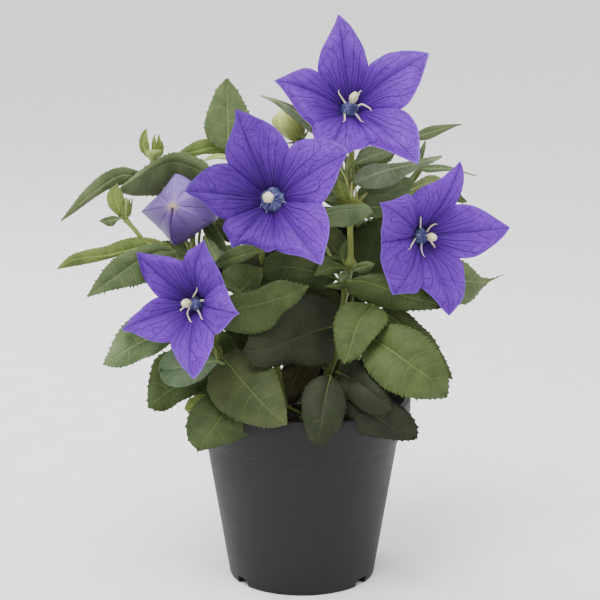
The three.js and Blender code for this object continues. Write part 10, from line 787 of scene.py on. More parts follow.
# ------------------------------------------------------------------ open flowers
def flower_grid(f, key, rng):
    n, P0, Q = np.array(f["n"], float), np.array(f["P0"], float), np.array(f["Q"], float)
    n = unit(n)
    u = np.array([0, 0, 1.0]) - n * n[2]
    u = unit(u)
    w = np.cross(n, u)
    ks = [i for i, x in enumerate(f["flags"]) if x]
    cyc = len(Q)
    per = 28
    pts, px, kind = [], [], []
    D = Q - P0
    H = D @ n
    X, Y = D @ u, D @ w
    for a in range(len(ks)):
        i0 = ks[a]
        i1 = ks[(a + 1) % len(ks)] + (cyc if a == len(ks) - 1 else 0)
        seg = np.array([[X[i % cyc], Y[i % cyc], H[i % cyc]] for i in range(i0, i1 + 1)])
        fine = by_length(catmull(seg, np.linspace(0, 1, 60)), per + 1)[:-1]
        pts.append(fine)
        kind.append(f["flags"][i0])
    O = np.vstack(pts)                       # outline in the flower's own frame
    M = len(O)
    corner = np.arange(0, M, per)
    th = np.unwrap(np.arctan2(O[:, 1], O[:, 0]))
    if th[-1] < th[0]:
        sign = -1
    else:
        sign = 1
    thc = th[corner]
    ext = np.r_[thc, thc[0] + sign * 2 * np.pi]
    even = np.interp(np.arange(M), np.r_[corner, M], ext)
    R = np.hypot(O[:, 0], O[:, 1])
    mean = PARTS[key]["R"]
    rho = np.r_[0.03, np.linspace(0.07, 0.9, 50), 0.93, 0.96, 0.985, 1.0]
    k = (rho ** 1.5)[:, None]
    r = rho[:, None] * (mean * (1 - k) + R[None] * k)
    kk = smooth(0.25, 1.0, rho)[:, None]
    ang = even[None] * (1 - kk) + th[None] * kk
    h = O[:, 2][None] * (1 - (1 - rho[:, None]) ** 2)
    # place across each lobe: 0 on its midline, 1 on the line to the notch
    tips = [i for i, x in enumerate(kind) if x == "T"]
    j = np.arange(M)
    seg = j // per
    frac = (j % per) / per
    pxv = np.where(np.array([kind[q] == "T" for q in seg]), frac, 1 - frac)
    signed = np.where(np.array([kind[q] == "T" for q in seg]), pxv, -pxv)
    lobe_id = np.array([(q // 2 if kind[q] == "T" else (q // 2 + 1)) for q in seg]) if kind[0] == "T" else seg // 2
    keel = -0.55 * np.exp(-((pxv / 0.07) ** 2))[None] * smooth(0.1, 0.4, rho)[:, None] * smooth(1.05, 0.75, rho)[:, None]
    cup = 1.5 * (1 - (1 - pxv) ** 2)[None] * 0 + 1.3 * np.sin(np.pi * np.clip(pxv, 0, 1))[None] * np.sin(np.pi * rho)[:, None]
    seam = -0.5 * np.exp(-(((1 - pxv) / 0.07) ** 2))[None] * smooth(0.08, 0.3, rho)[:, None]
    curl = -0.9 * smooth(0.86, 1.0, rho)[:, None] * (0.4 + 0.6 * rng.uniform(0.4, 1, M))[None] * 0 - 0.8 * smooth(0.84, 1.0, rho)[:, None]
    und = np.zeros((len(rho), M))
    for _ in range(5):
        ka, kr, ph = rng.integers(2, 9), rng.uniform(1, 4), rng.uniform(0, 6.28)
        und += rng.normal() * 0.38 * np.sin(ka * even[None] * sign + kr * np.pi * rho[:, None] + ph)
    und *= smooth(0.15, 0.9, rho)[:, None]
    side_veins = np.zeros((len(rho), M))
    fr = np.abs(((signed * 4 + 0.5) % 1) - 0.5)[None]
    side_veins -= 0.10 * np.exp(-((fr / 0.12) ** 2)) * smooth(0.1, 0.4, rho)[:, None]
    h = h + keel + cup + seam + curl + und * 0.8 + side_veins
    P = P0 + u * (r * np.cos(ang))[..., None] + w * (r * np.sin(ang))[..., None] + n * h[..., None]
    return dict(P=P, n=n, u=u, w=w, rho=rho, r=r, ang=ang, M=M, per=per, P0=P0, first=kind[0], kind=kind)


def spot(A, i, j):
    """Value of the ring grid A at fractional rows i and columns j."""
    R, M = A.shape[:2]
    i = np.clip(i, 0, R - 1.001)
    a, b = i.astype(int), np.floor(j).astype(int)
    fi, fj = (i - a)[:, None], (j - b)[:, None]
    b0, b1 = b % M, (b + 1) % M
    return (A[a, b0] * (1 - fj) + A[a, b1] * fj) * (1 - fi) + (A[a + 1, b0] * (1 - fj) + A[a + 1, b1] * fj) * fi


def relocate(XY, want, i, j):
    """Rows and columns of the plane points want, starting from the guess i, j; also how far off each is left."""
    top = XY.shape[0] - 1.3
    for _ in range(5):
        p = spot(XY, i, j)
        di, dj = (spot(XY, i + 0.25, j) - p) / 0.25, (spot(XY, i, j + 0.25) - p) / 0.25
        det = di[:, 0] * dj[:, 1] - di[:, 1] * dj[:, 0]
        det = np.where(np.abs(det) < 1e-6, 1e-6, det)
        q = want - p
        i = np.clip(i + np.clip((q[:, 0] * dj[:, 1] - q[:, 1] * dj[:, 0]) / det, -3, 3), 0, top)
        j = j + np.clip((di[:, 0] * q[:, 1] - di[:, 1] * q[:, 0]) / det, -4, 4)
    return i, j, np.linalg.norm(spot(XY, i, j) - want, axis=1)


def grow_veins(g, rng):
    """Branching veins of one corolla, grown outward. Returns rows, columns, parents and widths of their points."""
    rho, M, per, R = g["rho"], g["M"], g["per"], len(g["rho"])
    XY = np.stack([g["r"] * np.cos(g["ang"]), g["r"] * np.sin(g["ang"])], -1)
    I, J, par = [], [], []
    STEP, KILL, REACH = 0.55, 0.85, 6.0
    reach_mm = float(g["r"][-1].mean())
    main = []
    for h in range(M // per):
        tip = g["kind"][h] == "T"
        for q, a, e in ((0.0, 0.11, 0.975 if tip else 0.95), (0.17, 0.14, 0.50), (0.34, 0.12, 0.66), (0.51, 0.14, 0.55), (0.67, 0.12, 0.72), (0.84, 0.14, 0.52)):
            if q:
                e *= rng.uniform(0.8, 1.2)
                q += rng.uniform(-0.035, 0.035)
            m = max(8, int((e - a) * reach_mm / STEP))
            rr = np.linspace(a, e, m)
            sway = np.sin(rr * rng.uniform(6, 14) + rng.uniform(0, 6.28)) * (0.012 if q == 0 else 0.035) * per * smooth(0.1, 0.35, rr)
            first = len(I)
            I += list(np.interp(rr, rho, np.arange(R)))
            J += list((h + q) * per + sway)
            par += [-1] + list(range(first, first + m - 1))
            main.append((first, m, 1.0 if (q == 0 and tip) else (0.75 if q == 0 else 0.6)))
    I, J, par = np.array(I), np.array(J), np.array(par)
    X = spot(XY, I, J)
    # points the veins still have to reach, spread evenly over the petals
    e0, e1 = XY[1:] - XY[:-1], np.roll(XY, -1, 1)[:-1] - XY[:-1]
    cell = np.abs(e0[..., 0] * e1[..., 1] - e0[..., 1] * e1[..., 0])
    cell[rho[1:] < 0.16] = 0
    cell[-1] *= 0.3
    K = int(cell.sum() / 0.75)
    pick = rng.choice(cell.size, K, p=cell.ravel() / cell.sum())
    A = spot(XY, pick // M + rng.uniform(size=K), pick % M + rng.uniform(size=K))
    near, who = np.full(K, 1e9), np.zeros(K, int)
    kids = np.bincount(par[par >= 0], minlength=len(par))
    room = np.where(rng.uniform(size=len(par)) < 0.26, 2, 1)        # how many veins may run on from a point

    def note(first):
        nonlocal near, who
        for lo_ in range(first, len(X), 400):
            d = np.linalg.norm(A[:, None] - X[None, lo_:lo_ + 400], axis=2)
            k = d.argmin(1)
            d = d[np.arange(K), k]
            better = d < near
            near = np.where(better, d, near)
            who = np.where(better, k + lo_, who)

    note(0)
    live = near > KILL
    for _ in range(80):
        act = np.nonzero(live & (near < REACH) & (kids[who] < room[who]))[0]
        if not len(act):
            break
        pull = np.zeros((len(X), 2))
        np.add.at(pull, who[act], unit(A[act] - X[who[act]]))
        idx = np.unique(who[act])
        before = np.where(par[idx, None] >= 0, X[idx] - X[np.maximum(par[idx], 0)], X[idx])
        v = unit(unit(pull[idx]) + 0.50 * unit(before) + 0.70 * unit(X[idx]) + rng.normal(0, 0.30, (len(idx), 2)))
        new = X[idx] + v * STEP
        ni, nj, off = relocate(XY, new, I[idx], J[idx])
        clear = np.ones(len(new), bool)
        for lo_ in range(0, len(X), 800):
            clear &= (np.linalg.norm(new[:, None] - X[None, lo_:lo_ + 800], axis=2) > 0.62 * STEP).all(1)
        good = clear & (off < 0.1) & (ni < R - 1.9)
        kids[idx[~good]] = 9
        if not good.any():
            continue
        first = len(X)
        I, J, X = np.r_[I, ni[good]], np.r_[J, nj[good]], np.vstack([X, new[good]])
        par = np.r_[par, idx[good]]
        kids = np.r_[kids, np.zeros(good.sum(), int)]
        room = np.r_[room, np.where(rng.uniform(size=good.sum()) < 0.42, 2, 1)]
        np.add.at(kids, idx[good], 1)
        note(first)
        live &= near > KILL
    load = np.ones(len(par))
    for k in range(len(par) - 1, -1, -1):
        if par[k] >= 0:
            load[par[k]] += load[k]
    width = np.clip(0.11 + 0.034 * load ** 0.45, 0.14, 0.40)
    for first, m, w in main:
        width[first:first + m] = np.maximum(width[first:first + m], np.linspace(0.54, 0.22, m) * w)
    return I, J, par, width


# painted light and shade over a flower: its painted shade, made lighter towards one side and darker towards the other
def painted_shading_at(P, P0, key):
    d = P - P0
    turn, amount = LIGHT_SIDE[key]
    far = smooth(0.0, 14.0, np.hypot(d[:, 0], d[:, 2]))
    return FLOWER_SHADE[key] * (1 + amount * far * np.cos(np.arctan2(d[:, 2], d[:, 0]) - math.radians(turn)))


def add_veins(b, g, N, thick, key, rng):
    """The veins as fine ribs that stand just proud of both faces of the petals."""
    I, J, par, width = grow_veins(g, rng)
    P3, N3 = spot(g["P"], I, J), unit(spot(N, I, J))
    half = np.interp(I, np.arange(len(g["rho"])), thick[:, 0])
    rho = np.interp(I, np.arange(len(g["rho"])), g["rho"])
    best = np.full(len(par), -1)
    for k in range(len(par) - 1, -1, -1):
        p = par[k]
        if p >= 0 and (best[p] < 0 or width[k] > width[best[p]]):
            best[p] = k
    heads = [k for k in range(len(par)) if par[k] < 0 or best[par[k]] != k]
    for h in heads:
        path = [par[h]] if par[h] >= 0 else []
        k = h
        while k >= 0:
            path.append(k)
            k = best[k]
        if len(path) < 3:
            continue
        q = np.array(path)
        p, n, w, t = P3[q].copy(), N3[q], width[q].copy(), half[q] + 0.045
        if par[h] >= 0:
            w[0] = w[1]
        p[1:-1] = 0.5 * p[1:-1] + 0.25 * (p[:-2] + p[2:])
        w[-1] *= 0.6
        t = t.copy()
        t[-1] -= 0.06
        T = unit(np.gradient(p, axis=0))
        S = unit(np.cross(T, n))
        ring = np.stack([p + S * (0.5 * w)[:, None] + n * t[:, None], p - S * (0.5 * w)[:, None] + n * t[:, None],
                         p - S * (0.5 * w)[:, None] - n * t[:, None], p + S * (0.5 * w)[:, None] - n * t[:, None]], 1)
        m = len(q)
        F = grid_faces(m, 4, wrap=True)
        caps = np.array([[3, 2, 1, 0], [4 * m - 4, 4 * m - 3, 4 * m - 2, 4 * m - 1]])
        if np.cross(ring[0, 1] - ring[0, 0], ring[1, 0] - ring[0, 0]) @ n[0] < 0:
            F, caps = F[:, ::-1], caps[:, ::-1]
        four = lambda z: np.repeat(z, 4)
        tn = painted_shading_at(p, g["P0"], key)
        b.add(ring.reshape(-1, 3), [F, caps], 0, phi=1.0, rho=four(rho[q]), rm=9.5, lw=10.0, side=np.tile([1.0, 1, 0, 0], m), seed=0.0, tone=four(tn), rib=1.0)
    return len(par)


FLOWER_SHADE = {"F1": 0.97, "F2": 0.80, "F3": 0.93, "F4": 0.89}      # painted shade: how much darker each whole flower is painted, the centre flower most as it lies in shade
LIGHT_SIDE = {"F1": (-40, 0.10), "F2": (-15, 0.30), "F3": (-60, 0.12), "F4": (30, 0.18)}      # painted light: the side each flower is painted lighter towards, and how strongly; its other side is painted darker


def add_corolla(b, f, key, rng):
    g = flower_grid(f, key, rng)
    P, rho, M = g["P"], g["rho"], g["M"]
    N = grid_normals(P, wrap=True)
    N *= np.sign((N * g["n"]).sum(-1))[..., None]
    thick = (0.20 - 0.10 * smooth(0.85, 1, rho))[:, None]
    V, F, side = closed_sheet(P, N, thick, wrap=True)
    R = len(rho)
    n = R * M
    # close the two small central openings
    V = np.vstack([V, g["P0"] + g["n"] * (P[0] - g["P0"]).dot(g["n"]).mean() + g["n"] * 0.2, g["P0"] + g["n"] * (P[0] - g["P0"]).dot(g["n"]).mean() - g["n"] * 0.2])
    side = np.r_[side, 1, 0]
    j = np.arange(M)
    j2 = (j + 1) % M
    cap1 = np.stack([np.full(M, 2 * n), j2, j], 1)
    cap2 = np.stack([np.full(M, 2 * n + 1), n + j, n + j2], 1)
    F = F + [cap1, cap2]
    t = np.cross(P[3, 1] - P[3, 0], P[4, 0] - P[3, 0]) @ g["n"]
    if t < 0:
        F = [x[:, ::-1] for x in F]
    ring = np.linalg.norm(np.roll(P, -1, 1) - P, axis=2)
    per = g["per"]
    pad = lambda z: np.r_[z.ravel(), z.ravel(), 0, 0]
    w_lobe = ring.reshape(R, M // per, per).sum(2)
    lw = np.broadcast_to(2 * w_lobe.mean(1)[:, None], (R, M))
    # half-lobes counted round the flower, odd on a lobe's midline
    phi = np.broadcast_to((np.arange(M) / per + (1 if g["first"] == "T" else 0))[None], (R, M))
    rm = np.broadcast_to(np.linalg.norm(P - g["P0"], axis=2), (R, M))
    rr = np.broadcast_to(rho[:, None], (R, M))
    b.add(V, F, 0, phi=pad(phi), rho=pad(rr), rm=pad(rm), lw=pad(lw), side=side, seed=float(rng.uniform(0, 60)), tone=pad(painted_shading_at(P.reshape(-1, 3), g["P0"], key)), rib=0.0)
    print(key, "vein points", add_veins(b, g, N, thick, key, np.random.default_rng(31 + ord(key[1]))))
    return g


def unwrap_corners(ob, name, turn):
    """Move a value that counts round the ring to face corners, so that the last column runs on instead of back."""
    me = ob.data
    n = len(me.vertices)
    val = np.zeros(n, np.float32)
    me.attributes[name].data.foreach_get("value", val)
    idx = np.zeros(len(me.loops), np.int32)
    me.loops.foreach_get("vertex_index", idx)
    start = np.zeros(len(me.polygons), np.int32)
    size = np.zeros(len(me.polygons), np.int32)
    me.polygons.foreach_get("loop_start", start)
    me.polygons.foreach_get("loop_total", size)
    poly = np.repeat(np.arange(len(start)), size)
    v = val[idx]
    top = np.full(len(start), -1e9)
    np.maximum.at(top, poly, v)
    v = np.where(top[poly] - v > turn / 2, v + turn, v)
    me.attributes.remove(me.attributes[name])
    at = me.attributes.new(name, "FLOAT", "CORNER")
    at.data.foreach_set("value", v.astype(np.float32))


VIOLET, CREAM, DOME = srgb(96, 84, 168), srgb(226, 216, 186), srgb(56, 54, 98)


def add_stamens(b, f, key, rng):
    n, P0 = unit(f["n"]), np.array(f["P0"], float)
    r = PARTS[key]["dome"] * (1.12 if key == "F2" else 0.95)
    prof = [[0, 1.6], [r * 0.5, 2.0], [r * 0.9, 3.2], [r, 4.6], [r * 0.97, 5.6], [r * 0.86, 6.8], [r * 0.66, 7.8], [r * 0.42, 8.5], [r * 0.2, 8.9], [0, 9.0]]
    V, F, t = turned(prof, P0, n, 60, lobes=5, lobe=0.07, phase=0.6)
    # painted highlights: pale bands by height and pale speckles on the glossy dome
    k = (0.5 + 0.5 * np.sin(t * 9 + rng.uniform(0, 6)))[:, None] * 0.35
    c = DOME * (1 - k) + srgb(104, 112, 158) * k
    c = np.where((rng.uniform(size=len(V)) < 0.12)[:, None], srgb(132, 140, 176), c)
    b.add(V, F, 0, c_tint=c)
    top = P0 + n * 7.6
    for line in PARTS[key]["stam"]:
        p = np.array(line, float)
        a = top + (p[0] - top) * 0.30
        if key == "F2":                       # still lying on the dome
            p = np.array([a, a + (p[0] - a) * 0.8 + n * 0.5, a + (p[0] - a) * 1.25 - n * 1.0])
        e = p[2] - p[1]
        bend = np.cross(n, unit(e)) * rng.choice([-1, 1]) * 0.9
        C = curve(np.array([a, p[0] + n * 0.4, p[1] + bend * 0.5, p[2] - e * 0.25 + bend, p[2]]), 26)
        tt = np.linspace(0, 1, 26)
        rad = np.interp(tt, [0, 0.12, 0.25, 0.5, 0.8, 1.0], [0.62, 0.44, 0.52, 0.43, 0.34, 0.15]) * (0.80 if key == "F2" else 1.0)
        V, F, al = tube(C, rad, 9, rib=0.10, ribs=4)
        if key == "F2":
            V = V.copy()
            k = smooth(0.55, 0.85, al)[:, None] * (rng.uniform(size=(len(V), 1)) < 0.55)
            b.add(V, F, 0, c_tint=srgb(52, 54, 104) * (1 - k) + srgb(168, 172, 200) * k)
            continue
        k = smooth(0.02, 0.22, al)[:, None]
        col = VIOLET * (1 - k) + (CREAM if rng.uniform() < 0.8 else srgb(206, 190, 206)) * k
        k = smooth(0.82, 1.0, al)[:, None] * 0.5
        col = col * (1 - k) + srgb(178, 150, 132) * k
        b.add(V, F, 0, c_tint=col)


def add_pistil(b, f, key, rng):
    n, P0 = unit(f["n"]), np.array(f["P0"], float)
    tip = np.array(PARTS[key]["stig"], float)
    a = P0 + n * 9.0
    C = by_length(np.array([a, tip]), 34)
    t = np.linspace(0, 1, 34)
    rad = np.interp(t, np.linspace(0, 1, 60), catmull(np.array([[0.8], [0.8], [0.85], [1.25], [1.75], [1.95], [1.95], [1.75], [1.35], [0.6]]), np.linspace(0, 1, 60))[:, 0])
    if key == "F2":
        rad = rad * 1.25
    V, F, al = tube(C, rad, 28, rib=0.05, ribs=5)
    k = smooth(0.12, 0.34, al)[:, None]
    V = V + unit(V - C.mean(0)) * (rng.uniform(-1, 1, len(V)) * 0.10 * k[:, 0])[:, None]
    col = srgb(110, 104, 170) * (1 - k) + srgb(228, 218, 184) * k
    grit = (rng.uniform(size=(len(V), 1)) ** 3) * 0.6 * k
    b.add(V, F, 0, c_tint=col * (1 - grit) + srgb(150, 128, 92) * grit)


def add_sepals(b, p, n, r0, h0, r1, h1, w, turn, col, count=5, thick=0.25):
    n = unit(n)
    u = np.array([0, 0, 1.0]) if abs(n[2]) < 0.9 else np.array([1.0, 0, 0])
    u = unit(u - n * (u @ n))
    v = np.cross(n, u)
    for k in range(count):
        a = turn + 2 * np.pi * k / count
        e = u * math.cos(a) + v * math.sin(a)
        s = np.cross(n, e)
        t = np.linspace(0, 1, 14)
        x = np.linspace(-1, 1, 7)
        rr = r0 + (r1 - r0) * t
        hh = h0 + (h1 - h0) * t ** 1.3
        ww = w * np.interp(t, [0, 0.25, 0.6, 0.9, 1], [0.85, 1.0, 0.72, 0.25, 0.06])
        P = p + e * rr[:, None, None] + n * (hh[:, None, None] + 0.35 * (np.abs(x)[None, :, None] ** 2) * ww[:, None, None]) + s * (ww[:, None] * x[None, :])[..., None]
        N = grid_normals(P)
        V, F, side = closed_sheet(P, N, thick)
        if (np.cross(P[0, 1] - P[0, 0], P[1, 0] - P[0, 0]) @ N[0, 0]) < 0:
            F = [f[:, ::-1] for f in F]
        b.add(V, F, 0, c_tint=col)


def add_calyx(b, f, key, rng, turn=0.5):
    n, P0 = unit(f["n"]), np.array(f["P0"], float)
    prof = [[0, -7.7], [1.2, -7.6], [1.8, -7.0], [2.4, -5.8], [2.95, -4.2], [3.2, -2.6], [3.3, -1.5], [2.6, -1.1], [0, -0.9]]
    V, F, t = turned(prof, P0, n, 40, lobes=10, lobe=0.035)
    g = srgb(128, 142, 82)
    b.add(V, F, 0, c_tint=g)
    add_sepals(b, P0, n, 2.4, -1.9, 9.4, -0.2, 1.6, turn, srgb(112, 130, 70))


# ------------------------------------------------------------------ buds
def bud_surface(S, n, L, Qs, levels, flat=0.0):
    """Inflated bud: Qs are points on the widest line; S is its tip and the base lies L behind it along n."""
    S, n = np.array(S, float), unit(n)
    D = Qs - S
    H = D @ n
    E = D - n * H[:, None]
    R = np.linalg.norm(E, axis=1)
    E = unit(E)
    rows = []
    for a in levels:                          # a from 0 (tip) through 1 (widest) to 2 (base)
        if a <= 1:
            rr, hh = R * (flat * a + (1 - flat) * math.sin(a * math.pi / 2) ** 0.9), H * (flat * a ** 1.25 + (1 - flat) * (1 - math.cos(a * math.pi / 2)))
        else:
            k = (a - 1)
            rr, hh = np.maximum(R * math.cos(k * math.pi / 2) ** 0.8, 1.9), H + (-L - H) * math.sin(k * math.pi / 2)
        rows.append(S + E * rr[:, None] + n * hh[:, None])
    return np.array(rows)


def add_balloon(b, rng):
    p = PARTS["balloon"]
    S, n, L = np.array(p["S"], float), unit(p["n"]), p["L"]
    Q = np.array(p["Q"], float)
    ks = [i for i, x in enumerate(p["flags"]) if x]
    cyc = len(Q)
    per = 56
    pts = []
    for a in range(len(ks)):
        i0 = ks[a]
        i1 = ks[(a + 1) % len(ks)] + (cyc if a == len(ks) - 1 else 0)
        seg = np.array([Q[i % cyc] for i in range(i0, i1 + 1)])
        pts.append(by_length(catmull(seg, np.linspace(0, 1, 50)), per + 1)[:-1])
    O = np.vstack(pts)
    M = len(O)
    # draw the edges between the corners in, nearly straight
    axis = S + ((O - S) @ n)[:, None] * n
    f_ = (np.arange(M) % per) / per
    O = axis + (O - axis) * (1 - 0.085 * np.sin(np.pi * f_))[:, None]
    fr = (np.arange(M) % per) / per
    px = np.minimum(fr, 1 - fr) * 2            # 0 at a corner, 1 midway
    levels = np.r_[np.linspace(0.02, 1, 56), np.linspace(1.03, 1.97, 30)]
    P = bud_surface(S, n, L, O, levels, flat=0.6)
    N = grid_normals(P, wrap=True)
    C = P.mean((0, 1))
    N *= np.sign((N * (P - C)).sum(-1))[..., None]
    lv = levels[:, None]
    # the petals meet along lines from the tip to the corners: a sharp crease there, a faint rib between
    crease = -0.70 * np.exp(-((px / 0.04) ** 2))[None] * smooth(0.0, 0.12, lv) * smooth(0.98, 0.70, lv)
    rib = -0.34 * np.exp(-(((1 - px) / 0.05) ** 2))[None] * smooth(0.1, 0.4, lv) * smooth(1.0, 0.8, lv)
    puff = 0.25 * np.sin(np.pi * np.clip(px, 0, 1))[None] * np.sin(np.pi * np.clip(lv, 0, 1))
    # one seam has sprung open: a slit from the tip towards the lowest corner
    low_c = int(np.argmin(O[:, 2]))
    j_ = (np.arange(M) - low_c + M // 2) % M - M // 2
    half = np.clip((0.14 + 0.36 * smooth(0.70, 0.10, lv)) / (0.31 * np.maximum(lv, 0.05)), 1.2, 22)
    crease = crease - 1.1 * np.exp(-((j_ / half) ** 2)) * smooth(0.02, 0.12, lv) * smooth(0.90, 0.50, lv)
    P = P + N * (crease + rib + puff)[..., None]
    R = len(levels)
    V = np.vstack([P.reshape(-1, 3), S, S - n * L])
    F = [grid_faces(R, M, wrap=True)]
    j = np.arange(M)
    F.append(np.stack([np.full(M, R * M), (j + 1) % M, j], 1))
    o = (R - 1) * M
    F.append(np.stack([np.full(M, R * M + 1), o + j, o + (j + 1) % M], 1))
    if (np.cross(P[5, 1] - P[5, 0], P[6, 0] - P[5, 0]) @ N[5, 0]) < 0:
        F = [x[:, ::-1] for x in F]
    z = P[..., 2]
    zz = (z - z.min()) / (z.max() - z.min())
    # painted light: the bud is lighter towards the top and darker towards the bottom, as the light falls from above
    top, low, mid = srgb(124, 98, 174), srgb(76, 50, 102), srgb(166, 146, 118)
    col = low[None, None] * (1 - zz[..., None]) + top[None, None] * zz[..., None]
    k = (smooth(0.20, 0.0, lv) * 0.8 + smooth(0.34, 0.05, lv) * 0.25 * (0.5 + 0.5 * np.sin(px * 23))[None])[..., None]
    col = col * (1 - k) + mid * k
    # painted shade: dark lines along the creases to the corners and along the sunken mid-line of each petal
    k = (np.exp(-((px / 0.040) ** 2))[None] * smooth(0.03, 0.12, lv) * smooth(1.3, 0.95, lv))[..., None] * 0.95
    col = col * (1 - k) + srgb(40, 20, 66) * k
    k = (np.exp(-(((1 - px) / 0.028) ** 2))[None] * smooth(0.08, 0.3, lv))[..., None] * 0.62
    col = col * (1 - k) + srgb(70, 48, 112) * k
    # painted shadow: the slit is darkened to stand for the shade inside the opened seam
    k = np.clip(np.exp(-((j_ / half) ** 2)) * 1.3 * smooth(0.0, 0.05, lv) * smooth(0.98, 0.75, lv), 0, 1)[..., None]
    col = col * (1 - k) + srgb(30, 14, 46) * k
    vein = np.abs(((px * 4.5 + 0.35 * np.sin(lv * 7 + np.arange(M)[None] * 0.9)) % 1) - 0.5)
    k = (np.exp(-((vein / 0.09) ** 2)) * smooth(0.25, 0.6, lv))[..., None] * 0.28
    col = col * (1 - k) + srgb(96, 70, 150) * k
    # painted shade: the lower left facet is darkened
    k = (smooth(0.60, 0.34, zz) * smooth(2.0, -5.0, P[..., 0] - C[0]))[..., None] * 0.5
    col = col * (1 - k) + srgb(74, 46, 116) * k
    glint = np.zeros((R, M))
    for _ in range(46):                       # painted highlights: short glints on the upper left petals, where the light falls
        a0, l0 = rng.integers(0, M), rng.uniform(0.25, 0.92)
        da, dl, run = rng.normal(0, 0.7), rng.uniform(0.006, 0.016), int(rng.integers(5, 16))
        for q in range(run):
            c_, r_ = int(round(a0 + da * q)) % M, int(np.argmin(np.abs(levels - (l0 + dl * q))))
            if P[r_, c_, 0] < C[0] + 2 and zz[r_, c_] > 0.48:
                glint[r_, c_] = 1.0
    glint = np.clip(glint + 0.5 * (np.roll(glint, 1, 1) + np.roll(glint, -1, 1)), 0, 1)
    k = glint[..., None] * 0.20
    col = col * (1 - k) + srgb(212, 200, 232) * k
    k = smooth(1.4, 1.95, lv)[..., None] * 0.7
    col = col * (1 - k) + srgb(150, 156, 130) * k
    col = np.vstack([col.reshape(-1, 4), mid, srgb(140, 150, 110)])
    b.add(V, F, 0, c_tint=col)


def add_green_bud(b, rng):
    p = PARTS["green"]
    S, n, L, Rm = np.array(p["S"], float), unit(p["n"]), p["L"], p["R"]
    u = unit(np.array([-1.0, 0, 0]) + n * n[0])      # one pleat points to the left
    w = np.cross(n, u)
    M = 120
    a = 2 * np.pi * np.arange(M) / M
    px = np.abs(((a * 5 / (2 * np.pi) + 0.5) % 1) * 2 - 1)      # 0 on a pleat's fold, 1 between
    edge = np.cos(np.pi / 5) / np.cos((np.abs(((a * 5 / (2 * np.pi) + 0.5) % 1) - 0.5) * 2 * np.pi / 5) - np.pi / 5)
    R = Rm * (0.34 + 0.72 * edge)
    Q = S - n * L * 0.34 + u * (np.cos(a) * R)[:, None] + w * (np.sin(a) * R)[:, None] + n * (0.9 * (1 - px))[:, None]
    levels = np.r_[np.linspace(0.03, 1, 22), np.linspace(1.06, 1.97, 22)]
    P = bud_surface(S, n, L, Q, levels)
    N = grid_normals(P, wrap=True)
    C = P.mean((0, 1))
    N *= np.sign((N * (P - C)).sum(-1))[..., None]
    lv = levels[:, None]
    P = P + N * (0.28 * np.exp(-((px / 0.10) ** 2))[None] * smooth(0.1, 0.4, lv) - 0.30 * np.exp(-(((1 - px) / 0.16) ** 2))[None] * smooth(0.1, 0.4, lv) + 0.05 * np.sin(px * 40)[None] * smooth(0.3, 0.8, lv))[..., None]
    Rn = len(levels)
    V = np.vstack([P.reshape(-1, 3), S, S - n * L])
    F = [grid_faces(Rn, M, wrap=True)]
    j = np.arange(M)
    F.append(np.stack([np.full(M, Rn * M), (j + 1) % M, j], 1))
    o = (Rn - 1) * M
    F.append(np.stack([np.full(M, Rn * M + 1), o + j, o + (j + 1) % M], 1))
    if (np.cross(P[5, 1] - P[5, 0], P[6, 0] - P[5, 0]) @ N[5, 0]) < 0:
        F = [x[:, ::-1] for x in F]
    light, dark = srgb(180, 190, 104), srgb(92, 102, 40)
    # darker towards the base, the bud's own olive colour, and darker towards the right side, painted shade
    k = np.clip(smooth(0.70, 1.80, lv)[..., None] * 0.80 + (smooth(-3.0, 6.0, (P[..., 0] - C[0])) * 0.55)[..., None], 0, 1)
    col = light * (1 - k) + dark * k
    k = (np.exp(-(((1 - px) / 0.10) ** 2))[None] * smooth(0.1, 0.4, lv))[..., None] * 0.60
    col = col * (1 - k) + srgb(120, 130, 64) * k
    k = np.exp(-((((px * 5) % 1 - 0.5) / 0.12) ** 2))[None, :, None] * smooth(0.3, 0.8, lv)[..., None] * 0.18
    col = col * (1 - k) + srgb(206, 208, 160) * k
    b.add(V, F, 0, c_tint=np.vstack([col.reshape(-1, 4), light, dark]))


def add_bud_calyx(b, S, n, L, r, col, width):
    n = unit(n)
    p = np.array(S, float) - n * L
    prof = [[0, -5.7], [1.0, -5.6], [1.5, -5.0], [r * 0.75, -3.8], [r, -2.4], [r * 1.02, -1.0], [r * 0.8, -0.6], [0, -0.5]]
    V, F, t = turned(prof, p, n, 32, lobes=10, lobe=0.04)
    b.add(V, F, 0, c_tint=col)
    add_sepals(b, p, n, r * 0.75, -1.2, r + 4.4, 2.8, width, 0.3, col)


# ------------------------------------------------------------------ build the plant
def rng_for(name):
    return np.random.default_rng(sum((i + 1) * ord(c) for i, c in enumerate(name)) % 99991)


FNAME = {"F1": "top", "F2": "centre", "F3": "left", "F4": "right"}
for key, nm in FNAME.items():
    f = FLOWERS[key]
    b = Build(); add_corolla(b, f, key, rng_for("corolla" + key))
    ob = b.make("petals_" + nm, [PETAL])
    unwrap_corners(ob, "phi", 10.0)
    done(ob, "corolla_" + nm)
    b = Build(); add_stamens(b, f, key, rng_for("stamens" + key))
    done(b.make("anthers_" + nm, [SOFT]), "stamens_" + nm)
    b = Build(); add_pistil(b, f, key, rng_for("pistil" + key))
    done(b.make("stigma_" + nm, [SOFT]), "pistil_" + nm)
    b = Build(); add_calyx(b, f, key, rng_for("calyx" + key))
    done(b.make("sepals_" + nm, [SOFTG]), "calyx_" + nm)

